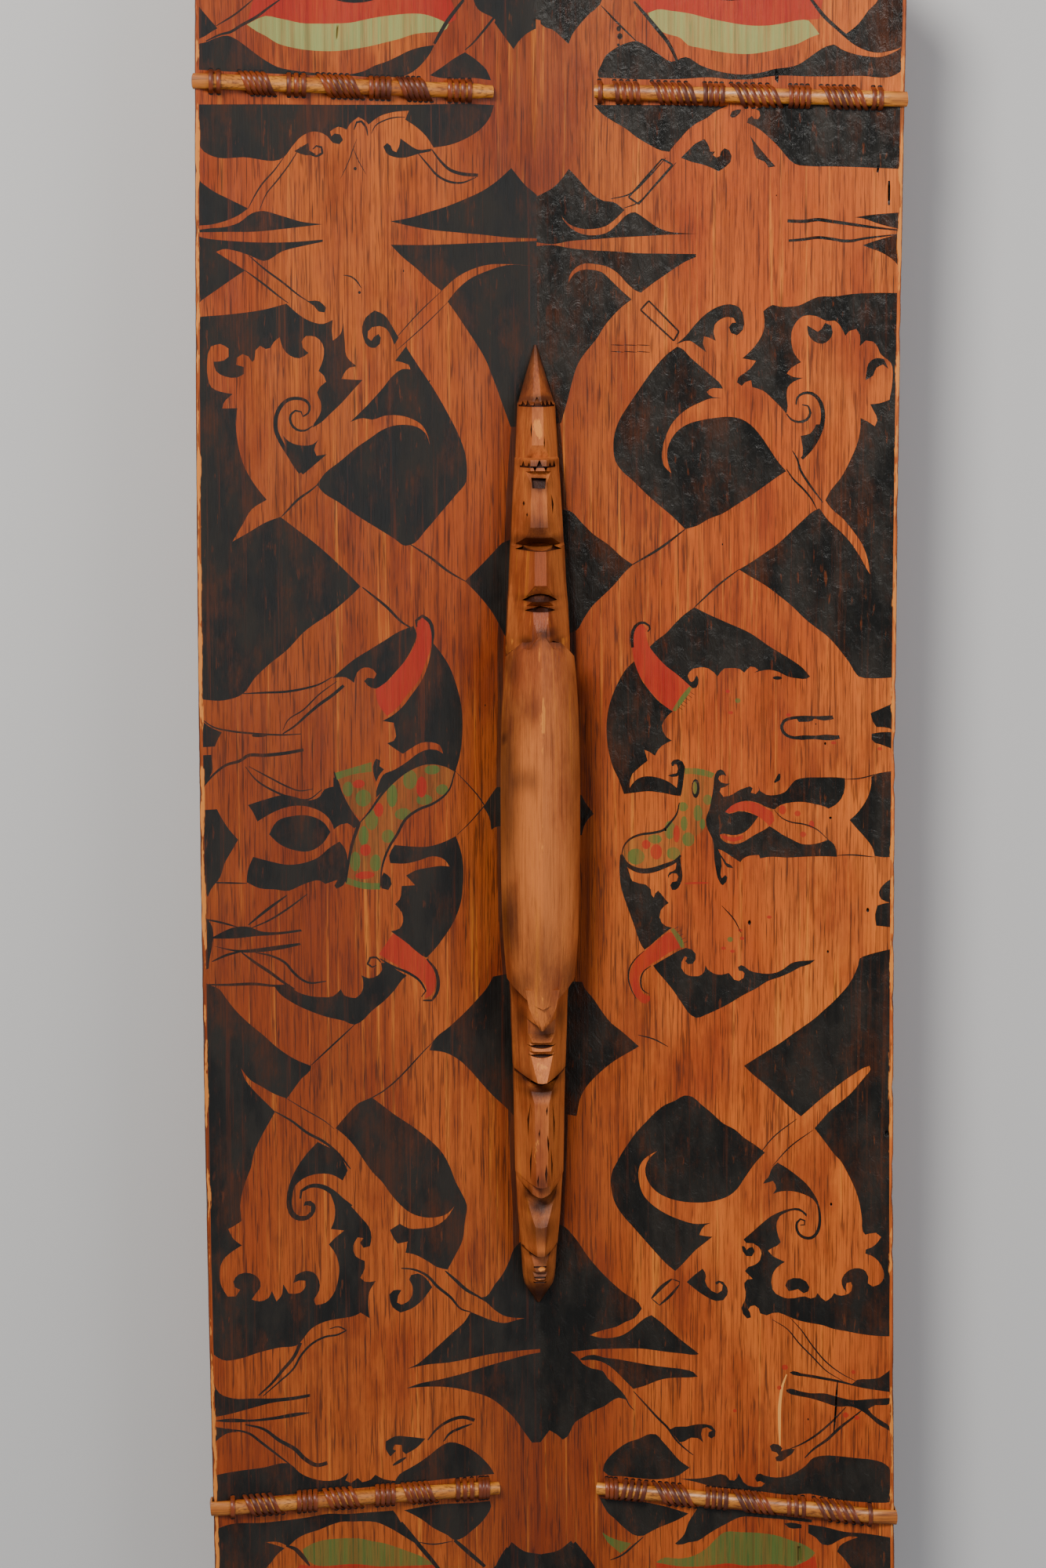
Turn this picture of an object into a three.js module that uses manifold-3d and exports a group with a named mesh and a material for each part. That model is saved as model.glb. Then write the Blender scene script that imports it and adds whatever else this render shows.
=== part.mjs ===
// Long wooden shield, seen from the holder's side: one six-sided board hollowed to a shallow V,
// its handle carved from the same log, and two canes bound across it with strips of split cane.
// Millimetres. +Z points out of the holder's side and +Y along the board to its upper point.
// The shield lies on its front, on the canes where they cross the flat of the keel.
import * as THREE from "three";
import { mergeVertices } from "three/addons/utils/BufferGeometryUtils.js";
import Module from "manifold-3d";

// Board
const BOARD_WIDTH = 380;
const VALLEY_OFFSET = 4.5; // the valley line lies this far left of the board's middle
const STRAIGHT_LENGTH = 930; // the two long edges
const UPPER_POINT_LENGTH = 178; // the pointed end beyond the long edges
const LOWER_POINT_LENGTH = 178;
const EDGE_BOW = 3.4; // both long edges bow to the left by this much
const BOW_BALANCE = 0.75; // share of the bow that lies left of the board's middle line
const VALLEY_SLOPE = 0.259; // rise of the hollow beside the valley
const SLOPE_GAIN = 0.0003; // how fast the hollow steepens towards the edges
const VALLEY_THICKNESS = 11.5;
const EDGE_THICKNESS = 8;
const KEEL_FLAT_WIDTH = 27; // flat spot along the keel of the front

// Handle
const HANDLE_OFFSET = 1; // the handle stands this far left of the valley
const GRIP_LENGTH = 209;
const GRIP_WIDTH = 44;
const GRIP_HEIGHT = 54; // ridge of the grip over the valley
const GRIP_UNDERSIDE = 29; // finger room over the valley
const FINGER_GAP_LENGTH = 156;
const FINGER_GAP_RADIUS = 12;
const UPPER_REACH = 259; // middle of the grip to the handle's upper tip
const LOWER_REACH = 282;
const HANDLE_ROOT = 3; // depth of the handle's foot in the board

// Canes and lacing
const CANE_WIDTH = 8.6;
const CANE_HEIGHT = 5.5;
const CANE_CROWN = 4; // flat along the top of the cane
const CANE_SHOULDER = 6.9; // width of the cane at three quarters of its height
const FOLD_HEIGHT = 2.2; // the cane is pressed flat where it folds over the edge
const STRIP_WIDTH = 2.4;
const STRIP_THICKNESS = 0.9;
const WRAPS = 7; // turns of the strip round each arm of a cane
const FIRST_WRAP = 12; // from the inner end of the arm
const LAST_WRAP = 14; // from the long edge
const CLEARANCE = 0.3; // between pieces that touch

// Places of the canes along the board, at the long edges and at their inner ends
const UPPER_CANE = { leftEdge: 401.4, leftEnd: 396.7, rightEnd: 396.6, rightEdge: 390.8 };
const LOWER_CANE = { leftEdge: -381.3, leftEnd: -387.9, rightEnd: -388.8, rightEdge: -393.5 };
const LEFT_END = 25; // valley to the inner end of a left arm
const RIGHT_END = 32;

// How finely curves are cut
const SLOPE_STEPS = 6;
const BOW_STEPS = 8;
const CANE_STEPS = 5;

// The handle's two ends, from the tip to the grip. Lengths are shares of the reach of that end,
// widths shares of the grip's half width and heights shares of the grip's height. ridge is where
// the flanks would meet, crown where they are cut off, side the top of the upright side, and
// sweep how far the crown runs ahead of the flanks.
const UPPER_STATIONS = [
  { at: 1.0, half: 0.03, side: 0.01, ridge: 0.03, crown: 0.02, sweep: 0 },
  { at: 0.881, half: 0.44, side: 0.11, ridge: 0.31, crown: 0.28, sweep: 0 },
  { at: 0.876, half: 0.47, side: 0.15, ridge: 0.41, crown: 0.36, sweep: 0 },
  { at: 0.79, half: 0.52, side: 0.18, ridge: 0.45, crown: 0.4, sweep: 0 },
  { at: 0.764, half: 0.53, side: 0.19, ridge: 0.46, crown: 0.34, sweep: 0 },
  { at: 0.76, half: 0.55, side: 0.22, ridge: 0.57, crown: 0.48, sweep: 0 },
  { at: 0.737, half: 0.56, side: 0.22, ridge: 0.59, crown: 0.5, sweep: 0 },
  { at: 0.735, half: 0.56, side: 0.22, ridge: 0.59, crown: 0.42, sweep: 0 },
  { at: 0.71, half: 0.58, side: 0.24, ridge: 0.61, crown: 0.53, sweep: 0 },
  { at: 0.618, half: 0.64, side: 0.26, ridge: 0.65, crown: 0.56, sweep: 0 },
  { at: 0.595, half: 0.65, side: 0.27, ridge: 0.66, crown: 0.5, sweep: -0.003 },
  { at: 0.575, half: 0.66, side: 0.27, ridge: 0.67, crown: 0.34, sweep: -0.008 },
  { at: 0.57, half: 0.67, side: 0.31, ridge: 0.8, crown: 0.74, sweep: -0.008 },
  { at: 0.498, half: 0.71, side: 0.33, ridge: 0.82, crown: 0.76, sweep: 0 },
  { at: 0.473, half: 0.73, side: 0.34, ridge: 0.82, crown: 0.64, sweep: 0 },
  { at: 0.471, half: 0.73, side: 0.34, ridge: 0.82, crown: 0.75, sweep: 0 },
  { at: 0.465, half: 0.74, side: 0.34, ridge: 0.83, crown: 0.75, sweep: 0 },
  { at: 0.454, half: 0.75, side: 0.35, ridge: 0.83, crown: 0.66, sweep: 0 },
  { at: 0.452, half: 0.75, side: 0.35, ridge: 0.84, crown: 0.76, sweep: 0 },
  { at: 0.401, half: 0.79, side: 0.37, ridge: 0.9, crown: 0.83, sweep: 0.02 },
];
const LOWER_STATIONS = [
  { at: 1.0, half: 0.03, side: 0.01, ridge: 0.03, crown: 0.02, sweep: 0 },
  { at: 0.961, half: 0.36, side: 0.09, ridge: 0.26, crown: 0.22, sweep: 0.004 },
  { at: 0.947, half: 0.4, side: 0.11, ridge: 0.35, crown: 0.31, sweep: 0.004 },
  { at: 0.942, half: 0.41, side: 0.12, ridge: 0.35, crown: 0.28, sweep: 0.004 },
  { at: 0.94, half: 0.41, side: 0.12, ridge: 0.36, crown: 0.32, sweep: 0.004 },
  { at: 0.925, half: 0.43, side: 0.13, ridge: 0.37, crown: 0.29, sweep: 0.004 },
  { at: 0.923, half: 0.43, side: 0.13, ridge: 0.38, crown: 0.34, sweep: 0.004 },
  { at: 0.888, half: 0.46, side: 0.15, ridge: 0.41, crown: 0.3, sweep: 0.015 },
  { at: 0.886, half: 0.47, side: 0.18, ridge: 0.52, crown: 0.48, sweep: 0.015 },
  { at: 0.826, half: 0.54, side: 0.22, ridge: 0.57, crown: 0.51, sweep: 0.02 },
  { at: 0.794, half: 0.57, side: 0.23, ridge: 0.6, crown: 0.44, sweep: 0.035 },
  { at: 0.766, half: 0.59, side: 0.24, ridge: 0.63, crown: 0.35, sweep: 0.037 },
  { at: 0.763, half: 0.59, side: 0.26, ridge: 0.67, crown: 0.56, sweep: 0.037 },
  { at: 0.74, half: 0.61, side: 0.27, ridge: 0.69, crown: 0.58, sweep: 0.02 },
  { at: 0.738, half: 0.61, side: 0.28, ridge: 0.73, crown: 0.67, sweep: 0.02 },
  { at: 0.567, half: 0.64, side: 0.3, ridge: 0.78, crown: 0.69, sweep: 0.004 },
  { at: 0.546, half: 0.65, side: 0.31, ridge: 0.79, crown: 0.65, sweep: 0.01 },
  { at: 0.526, half: 0.65, side: 0.31, ridge: 0.79, crown: 0.5, sweep: 0.017 },
  { at: 0.523, half: 0.66, side: 0.32, ridge: 0.85, crown: 0.8, sweep: 0.017 },
  { at: 0.471, half: 0.68, side: 0.33, ridge: 0.86, crown: 0.7, sweep: 0.004 },
  { at: 0.463, half: 0.68, side: 0.33, ridge: 0.86, crown: 0.67, sweep: 0.004 },
  { at: 0.461, half: 0.68, side: 0.33, ridge: 0.86, crown: 0.74, sweep: 0.004 },
  { at: 0.445, half: 0.69, side: 0.34, ridge: 0.87, crown: 0.69, sweep: 0.004 },
  { at: 0.443, half: 0.69, side: 0.34, ridge: 0.87, crown: 0.75, sweep: 0.004 },
  { at: 0.429, half: 0.7, side: 0.34, ridge: 0.87, crown: 0.67, sweep: 0.01 },
  { at: 0.41, half: 0.71, side: 0.35, ridge: 0.88, crown: 0.67, sweep: 0.035 },
  { at: 0.408, half: 0.71, side: 0.35, ridge: 0.89, crown: 0.83, sweep: 0.035 },
  { at: 0.374, half: 0.74, side: 0.36, ridge: 0.9, crown: 0.83, sweep: 0.035 },
];
const FLANK_POWER = 1.35; // 1 would give flat flanks, more gives rounder ones
const SWEEP_POWER = 1.5; // 1 would sweep the edges back in a V, 2 in a bow

// Section of the grip: shares of its half width, and shares of its height over the underside
const GRIP_SECTION = [
  { across: -0.85, up: 0 },
  { across: -1, up: 0.16 },
  { across: -0.79, up: 0.5 },
  { across: 0, up: 1 },
  { across: 0.79, up: 0.5 },
  { across: 1, up: 0.16 },
  { across: 0.85, up: 0 },
];
const GRIP_STATIONS = 9;
const GRIP_END_WIDTH = 0.86; // of the width at the middle
const GRIP_END_HEIGHT = 0.93; // of the height at the middle
const GRIP_POINT = 15; // how far the pointed ends of the ridge run ahead of the sides

const wasm = await Module();
wasm.setup();

// Shared functions

function toSolid(geometry) {
  const bare = geometry.index ? geometry.toNonIndexed() : geometry.clone();
  bare.deleteAttribute("normal");
  bare.deleteAttribute("uv");
  const merged = mergeVertices(bare, 1e-4);
  const vertProperties = new Float32Array(merged.attributes.position.array);
  const triVerts = new Uint32Array(merged.index.array);
  return new wasm.Manifold(new wasm.Mesh({ numProp: 3, vertProperties, triVerts }));
}

function toGeometry(solid) {
  const mesh = solid.getMesh();
  const geometry = new THREE.BufferGeometry();
  geometry.setAttribute("position", new THREE.BufferAttribute(new Float32Array(mesh.vertProperties), 3));
  geometry.setIndex(new THREE.BufferAttribute(new Uint32Array(mesh.triVerts), 1));
  geometry.computeVertexNormals();
  return geometry;
}

// A closed skin through rings of equal numbers of points, with a fan over each end
function loft(rings) {
  const size = rings[0].length;
  const points = rings.flat();
  const faces = [];
  for (let ring = 0; ring < rings.length - 1; ring++) {
    for (let corner = 0; corner < size; corner++) {
      const next = (corner + 1) % size;
      const a = ring * size + corner;
      const b = ring * size + next;
      faces.push(a, b, b + size, a, b + size, a + size);
    }
  }
  const ends = [rings[0], rings[rings.length - 1]];
  ends.forEach((ring, end) => {
    const middle = new THREE.Vector3();
    ring.forEach((point) => middle.add(point));
    points.push(middle.divideScalar(size));
    const first = end === 0 ? 0 : (rings.length - 1) * size;
    for (let corner = 0; corner < size; corner++) {
      const a = first + corner;
      const b = first + ((corner + 1) % size);
      faces.push(...(end === 0 ? [points.length - 1, b, a] : [points.length - 1, a, b]));
    }
  });
  const geometry = new THREE.BufferGeometry().setFromPoints(points);
  geometry.setIndex(faces);
  return signedVolume(points, faces) < 0 ? flipped(geometry, faces) : geometry;
}

function signedVolume(points, faces) {
  let volume = 0;
  for (let face = 0; face < faces.length; face += 3) {
    const [a, b, c] = [points[faces[face]], points[faces[face + 1]], points[faces[face + 2]]];
    volume += a.dot(new THREE.Vector3().crossVectors(b, c)) / 6;
  }
  return volume;
}

function flipped(geometry, faces) {
  for (let face = 0; face < faces.length; face += 3) {
    [faces[face + 1], faces[face + 2]] = [faces[face + 2], faces[face + 1]];
  }
  geometry.setIndex(faces);
  return geometry;
}

function extrude(outline, depth) {
  const points = outline.map(([x, y]) => new THREE.Vector2(x, y));
  return new THREE.ExtrudeGeometry(new THREE.Shape(points), { depth, bevelEnabled: false });
}

// Points evenly between two numbers, both included
function spread(from, to, steps) {
  return Array.from({ length: steps + 1 }, (_, step) => from + ((to - from) * step) / steps);
}

// Board, measured from the valley line

const LEFT_HALF = BOARD_WIDTH / 2 - VALLEY_OFFSET;
const RIGHT_HALF = BOARD_WIDTH / 2 + VALLEY_OFFSET;
const HALF_STRAIGHT = STRAIGHT_LENGTH / 2;
const KEEL_HALF = KEEL_FLAT_WIDTH / 2;

function innerHeight(x) {
  return VALLEY_SLOPE * Math.abs(x) + SLOPE_GAIN * x * x;
}

function slopedFront(x) {
  const share = Math.abs(x) / (BOARD_WIDTH / 2);
  return innerHeight(x) - VALLEY_THICKNESS - (EDGE_THICKNESS - VALLEY_THICKNESS) * share;
}

const KEEL_LEVEL = slopedFront(KEEL_HALF);

function frontHeight(x) {
  return Math.abs(x) < KEEL_HALF ? KEEL_LEVEL : slopedFront(x);
}

// Sideways place of the long edges at a height along the board
function edgeShift(y) {
  const share = y / HALF_STRAIGHT;
  return -EDGE_BOW * (BOW_BALANCE - share * share);
}

function boardSolid() {
  const past = 10;
  const inner = [
    ...spread(-LEFT_HALF - past, 0, SLOPE_STEPS),
    ...spread(0, RIGHT_HALF + past, SLOPE_STEPS).slice(1),
  ];
  const front = [
    ...spread(RIGHT_HALF + past, KEEL_HALF, SLOPE_STEPS),
    ...spread(-KEEL_HALF, -LEFT_HALF - past, SLOPE_STEPS),
  ];
  const section = [
    ...inner.map((x) => [x, innerHeight(x)]),
    ...front.map((x) => [x, slopedFront(x)]),
  ].reverse();
  const length = STRAIGHT_LENGTH + UPPER_POINT_LENGTH + LOWER_POINT_LENGTH;
  const bar = extrude(section, length);
  bar.rotateX(Math.PI / 2);
  bar.translate(0, HALF_STRAIGHT + UPPER_POINT_LENGTH, 0);

  const heights = spread(-HALF_STRAIGHT, HALF_STRAIGHT, BOW_STEPS);
  const outline = [
    [0, -HALF_STRAIGHT - LOWER_POINT_LENGTH],
    ...heights.map((y) => [RIGHT_HALF + edgeShift(y), y]),
    [0, HALF_STRAIGHT + UPPER_POINT_LENGTH],
    ...heights.toReversed().map((y) => [-LEFT_HALF + edgeShift(y), y]),
  ];
  const depth = 4 * BOARD_WIDTH;
  const plan = extrude(outline, depth);
  plan.translate(0, 0, -depth / 2);
  return toSolid(bar).intersect(toSolid(plan));
}

// Handle

const GRIP_HALF = GRIP_WIDTH / 2;

// One ring across the handle's end: upright side, rounded flank and flat crown
function handleRing(station, reach, direction) {
  const half = station.half * GRIP_HALF;
  const side = station.side * GRIP_HEIGHT;
  const ridge = station.ridge * GRIP_HEIGHT;
  const crown = Math.min(station.crown, station.ridge) * GRIP_HEIGHT;
  const cut = ((ridge - crown) / (ridge - side)) ** (1 / FLANK_POWER);
  const flank = (share) => ridge - (ridge - side) * share ** FLANK_POWER;
  const shares = [1, (1 + cut) / 2, cut];
  const left = shares.map((share) => [-share, flank(share)]);
  const right = shares.toReversed().map((share) => [share, flank(share)]);
  const corners = [[-1, -HANDLE_ROOT], ...left, ...right, [1, -HANDLE_ROOT]];
  return corners.map(([share, z]) => {
    const along = (station.at - station.sweep * Math.abs(share) ** SWEEP_POWER) * reach;
    return new THREE.Vector3(share * half - HANDLE_OFFSET, direction * along, z);
  });
}

function handleEnd(stations, reach, direction) {
  const start = FINGER_GAP_LENGTH / 2 - FINGER_GAP_RADIUS;
  const last = stations[stations.length - 1];
  const inGrip = { ...last, at: start / reach, sweep: 0 };
  return loft([...stations, inGrip].map((station) => handleRing(station, reach, direction)));
}

function gripGeometry() {
  const rings = spread(-1, 1, GRIP_STATIONS - 1).map((share) => {
    const bulge = 1 - Math.abs(share) ** 3;
    const half = GRIP_HALF * (GRIP_END_WIDTH + (1 - GRIP_END_WIDTH) * bulge);
    const ridge = GRIP_HEIGHT * (GRIP_END_HEIGHT + (1 - GRIP_END_HEIGHT) * bulge);
    return GRIP_SECTION.map(({ across, up }) => {
      const y = (share * GRIP_LENGTH) / 2 - share * GRIP_POINT * Math.abs(across) ** SWEEP_POWER;
      const z = GRIP_UNDERSIDE + up * (ridge - GRIP_UNDERSIDE);
      return new THREE.Vector3(across * half - HANDLE_OFFSET, y, z);
    });
  });
  return loft(rings);
}

// The opening for the fingers, rounded where the grip meets the handle's feet
function fingerGap() {
  const half = FINGER_GAP_LENGTH / 2;
  const corner = half - FINGER_GAP_RADIUS;
  const below = -2 * HANDLE_ROOT;
  const spring = GRIP_UNDERSIDE - FINGER_GAP_RADIUS;
  const shape = new THREE.Shape();
  shape.moveTo(-half, below);
  shape.lineTo(half, below);
  shape.lineTo(half, spring);
  shape.absarc(corner, spring, FINGER_GAP_RADIUS, 0, Math.PI / 2, false);
  shape.lineTo(-corner, GRIP_UNDERSIDE);
  shape.absarc(-corner, spring, FINGER_GAP_RADIUS, Math.PI / 2, Math.PI, false);
  const depth = 2 * GRIP_WIDTH;
  const geometry = new THREE.ExtrudeGeometry(shape, { depth, bevelEnabled: false, curveSegments: 4 });
  geometry.rotateX(Math.PI / 2);
  geometry.rotateZ(Math.PI / 2);
  geometry.translate(-depth / 2 - HANDLE_OFFSET, 0, 0);
  return geometry;
}

function handleSolid() {
  const upper = toSolid(handleEnd(UPPER_STATIONS, UPPER_REACH, 1));
  const lower = toSolid(handleEnd(LOWER_STATIONS, LOWER_REACH, -1));
  const feet = upper.add(lower).subtract(toSolid(fingerGap()));
  return feet.add(toSolid(gripGeometry()));
}

// Canes: each runs from its inner end over one long edge, across the front and back over the other

function caneLine(cane, x) {
  const stops = [
    [-LEFT_HALF, cane.leftEdge],
    [-LEFT_END, cane.leftEnd],
    [RIGHT_END, cane.rightEnd],
    [RIGHT_HALF, cane.rightEdge],
  ];
  const index = x < -LEFT_END ? 0 : x < RIGHT_END ? 1 : 2;
  const [x0, y0] = stops[index];
  const [x1, y1] = stops[index + 1];
  return y0 + ((y1 - y0) * (x - x0)) / (x1 - x0);
}

// The line that the cane's flat back follows round the board: place, height and how flat it is
function caneRoute(cane) {
  const leftEdge = -LEFT_HALF + edgeShift(cane.leftEdge);
  const rightEdge = RIGHT_HALF + edgeShift(cane.rightEdge);
  const full = CANE_HEIGHT;
  const inside = (x, height) => [x, innerHeight(x) + CLEARANCE, height];
  const outside = (x, height) => [x, frontHeight(x) - CLEARANCE, height];
  const taper = 2 * CANE_HEIGHT;
  return [
    ...spread(-LEFT_END, leftEdge + taper, CANE_STEPS).map((x) => inside(x, full)),
    [leftEdge - CLEARANCE, innerHeight(leftEdge) + CLEARANCE, FOLD_HEIGHT],
    [leftEdge - CLEARANCE, frontHeight(leftEdge) - CLEARANCE, FOLD_HEIGHT],
    ...spread(leftEdge + taper, -KEEL_HALF, CANE_STEPS).map((x) => outside(x, full)),
    ...spread(KEEL_HALF, rightEdge - taper, CANE_STEPS).map((x) => outside(x, full)),
    [rightEdge + CLEARANCE, frontHeight(rightEdge) - CLEARANCE, FOLD_HEIGHT],
    [rightEdge + CLEARANCE, innerHeight(rightEdge) + CLEARANCE, FOLD_HEIGHT],
    ...spread(rightEdge - taper, RIGHT_END, CANE_STEPS).map((x) => inside(x, full)),
  ];
}

// Half of the cane's section: across from its middle, and share of its height
const CANE_SIDE = [
  [CANE_WIDTH / 2, 0],
  [CANE_WIDTH / 2, 0.3],
  [CANE_SHOULDER / 2, 0.75],
  [CANE_CROWN / 2, 1],
];

function caneGeometry(cane) {
  const route = caneRoute(cane);
  const across = [...CANE_SIDE, ...CANE_SIDE.toReversed().map(([w, h]) => [-w, h])];
  const rings = route.map(([x, z, height], index) => {
    const before = route[Math.max(index - 1, 0)];
    const after = route[Math.min(index + 1, route.length - 1)];
    const into = new THREE.Vector2(x - before[0], z - before[1]).normalize();
    const out = new THREE.Vector2(after[0] - x, after[1] - z).normalize();
    const along = into.add(out).normalize();
    const away = new THREE.Vector2(along.y, -along.x);
    const y = caneLine(cane, x);
    return across.map(([w, h]) => {
      const lift = h * height;
      return new THREE.Vector3(x + away.x * lift, y + w, z + away.y * lift);
    });
  });
  return loft(rings);
}

// Lacing: a strip goes over the cane, down through the board, under the cane on the front
// and up through the next hole

function wrapPlaces(side) {
  const from = side < 0 ? -LEFT_END - FIRST_WRAP : RIGHT_END + FIRST_WRAP;
  const to = side < 0 ? -LEFT_HALF + LAST_WRAP : RIGHT_HALF - LAST_WRAP;
  return spread(from, to, WRAPS - 1);
}

const STRIP_LIFT = CLEARANCE + STRIP_THICKNESS / 2;
const HOLE_DISTANCE = CANE_WIDTH / 2 + STRIP_LIFT; // cane's middle to the middle of a hole

// Middle line of the strip over one cane, from one hole to the other, as across and height
function strapArch() {
  const left = CANE_SIDE.map(([w, h]) => new THREE.Vector2(-w, h * CANE_HEIGHT));
  const right = CANE_SIDE.toReversed().map(([w, h]) => new THREE.Vector2(w, h * CANE_HEIGHT));
  const arch = [...left, ...right];
  const normals = arch.slice(1).map((point, index) => {
    const run = point.clone().sub(arch[index]).normalize();
    return new THREE.Vector2(-run.y, run.x);
  });
  return arch.map((point, index) => {
    const before = normals[Math.max(index - 1, 0)];
    const after = normals[Math.min(index, normals.length - 1)];
    const corner = before.clone().add(after);
    const lifted = point.clone().addScaledVector(corner, STRIP_LIFT / (1 + before.dot(after)));
    return [lifted.x, lifted.y + CLEARANCE];
  });
}

// Unit direction up the slope of the hollow
function slopeDirection(x) {
  const slope = Math.sign(x) * (VALLEY_SLOPE + 2 * SLOPE_GAIN * Math.abs(x));
  return new THREE.Vector3(1, 0, slope).normalize();
}

function lacingRoute(cane, side) {
  const places = wrapPlaces(side);
  const arch = strapArch();
  const route = [];
  places.forEach((x, index) => {
    const middle = caneLine(cane, x);
    const stand = 1 / slopeDirection(x).x;
    if (index === 0) {
      const start = innerHeight(x) - EDGE_THICKNESS / 2;
      route.push(new THREE.Vector3(x, middle + HOLE_DISTANCE, start));
    }
    arch.forEach(([w, h]) => {
      route.push(new THREE.Vector3(x, middle - w, innerHeight(x) + h * stand));
    });
    if (index === places.length - 1) {
      const end = innerHeight(x) - EDGE_THICKNESS / 2;
      route.push(new THREE.Vector3(x, middle - HOLE_DISTANCE, end));
      return;
    }
    const next = places[index + 1];
    arch.forEach(([w, h], step) => {
      const share = step / (arch.length - 1);
      const there = x + (next - x) * share;
      const level = slopedFront(there) - h * stand;
      route.push(new THREE.Vector3(there, caneLine(cane, there) + w, level));
    });
  });
  return route;
}

function lacingGeometry(cane, side) {
  const route = lacingRoute(cane, side);
  const rings = route.map((point, index) => {
    const before = route[Math.max(index - 1, 0)];
    const after = route[Math.min(index + 1, route.length - 1)];
    const into = new THREE.Vector3().subVectors(point, before).setX(0).normalize();
    const out = new THREE.Vector3().subVectors(after, point).setX(0).normalize();
    const along = into.add(out).normalize();
    const away = new THREE.Vector3(0, -along.z, along.y);
    const wide = slopeDirection(point.x);
    const corners = [[1, 1], [-1, 1], [-1, -1], [1, -1]];
    return corners.map(([w, h]) => {
      const corner = point.clone().addScaledVector(wide, (w * STRIP_WIDTH) / 2);
      return corner.addScaledVector(away, (h * STRIP_THICKNESS) / 2);
    });
  });
  return loft(rings);
}

function lacingHoles() {
  const holes = [];
  for (const cane of [UPPER_CANE, LOWER_CANE]) {
    for (const side of [-1, 1]) {
      for (const x of wrapPlaces(side)) {
        for (const way of [-1, 1]) {
          const wide = STRIP_WIDTH + 2 * CLEARANCE;
          const deep = 3 * VALLEY_THICKNESS;
          const hole = new THREE.BoxGeometry(wide, STRIP_THICKNESS + 2 * CLEARANCE, deep);
          hole.translate(x, caneLine(cane, x) + way * HOLE_DISTANCE, innerHeight(x) - deep / 4);
          holes.push(toSolid(hole));
        }
      }
    }
  }
  return wasm.Manifold.union(holes);
}

// Materials

const WOOD = { color: 0xb06a2c, roughness: 0.5, metalness: 0 };
const CANE = { color: 0xc8873a, roughness: 0.45, metalness: 0 };
const STRIP = { color: 0x8a4a22, roughness: 0.5, metalness: 0 };

function piece(name, geometry, finish) {
  const mesh = new THREE.Mesh(geometry, new THREE.MeshStandardMaterial(finish));
  mesh.name = name;
  return mesh;
}

// The shield, moved so that its origin is the middle of its box, on the surface it lies on

const shield = new THREE.Group();
const board = boardSolid().add(handleSolid()).subtract(lacingHoles());
shield.add(piece("shield_board", toGeometry(board), WOOD));
shield.add(piece("upper_cane", caneGeometry(UPPER_CANE), CANE));
shield.add(piece("lower_cane", caneGeometry(LOWER_CANE), CANE));
shield.add(piece("lashing_upper_left", lacingGeometry(UPPER_CANE, -1), STRIP));
shield.add(piece("lashing_upper_right", lacingGeometry(UPPER_CANE, 1), STRIP));
shield.add(piece("lashing_lower_left", lacingGeometry(LOWER_CANE, -1), STRIP));
shield.add(piece("lashing_lower_right", lacingGeometry(LOWER_CANE, 1), STRIP));

const box = new THREE.Box3().setFromObject(shield, true);
const middle = box.getCenter(new THREE.Vector3());
shield.position.set(-middle.x, -middle.y, -box.min.z);

export default shield;
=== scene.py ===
# Long wooden shield seen from the holder's side: a hexagonal board hollowed to a shallow V, painted
# with curling creatures in black, red and green, with the handle carved from the same log and two
# canes laced across it with strips of split cane. Outlines are in millimetres from the valley line
# and the middle of the grip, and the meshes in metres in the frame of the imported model.
import math

import bmesh
import bpy
import numpy as np
from mathutils import Matrix, Vector, noise
from mathutils.geometry import delaunay_2d_cdt


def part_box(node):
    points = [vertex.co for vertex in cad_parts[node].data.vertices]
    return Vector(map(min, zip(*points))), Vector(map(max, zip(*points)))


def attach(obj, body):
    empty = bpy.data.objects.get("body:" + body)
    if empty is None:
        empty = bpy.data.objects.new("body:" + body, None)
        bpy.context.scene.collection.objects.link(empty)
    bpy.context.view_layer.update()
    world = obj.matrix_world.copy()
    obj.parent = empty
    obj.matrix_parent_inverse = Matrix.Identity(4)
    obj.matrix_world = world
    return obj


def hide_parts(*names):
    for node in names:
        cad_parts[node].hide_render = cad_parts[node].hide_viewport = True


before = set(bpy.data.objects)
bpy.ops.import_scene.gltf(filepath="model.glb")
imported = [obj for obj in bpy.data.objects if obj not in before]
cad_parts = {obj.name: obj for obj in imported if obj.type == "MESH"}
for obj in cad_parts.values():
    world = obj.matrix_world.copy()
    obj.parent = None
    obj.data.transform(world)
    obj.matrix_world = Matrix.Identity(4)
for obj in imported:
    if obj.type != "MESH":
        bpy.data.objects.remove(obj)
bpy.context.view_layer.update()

MM = 0.001

# Board, in millimetres
BOARD_WIDTH = 380
VALLEY_OFFSET = 4.5
HALF_STRAIGHT = 465
POINT_LENGTH = 178
EDGE_BOW = 3.4
BOW_BALANCE = 0.75
VALLEY_SLOPE = 0.259
SLOPE_GAIN = 0.0003
VALLEY_THICKNESS = 11.5
EDGE_THICKNESS = 8
KEEL_HALF = 13.5
LEFT_HALF = BOARD_WIDTH / 2 - VALLEY_OFFSET
RIGHT_HALF = BOARD_WIDTH / 2 + VALLEY_OFFSET
HALF_LENGTH = HALF_STRAIGHT + POINT_LENGTH

# Handle
HANDLE_OFFSET = 1
GRIP_HALF_LENGTH = 104.5
GRIP_HALF_WIDTH = 22
GRIP_HEIGHT = 54
GRIP_UNDERSIDE = 29
GRIP_POINT = 15
FINGER_GAP_HALF = 78
FINGER_GAP_RADIUS = 12
UPPER_REACH = 259
LOWER_REACH = 282
HANDLE_ROOT = 3
FLANK_POWER = 1.35
SWEEP_POWER = 1.5

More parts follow.
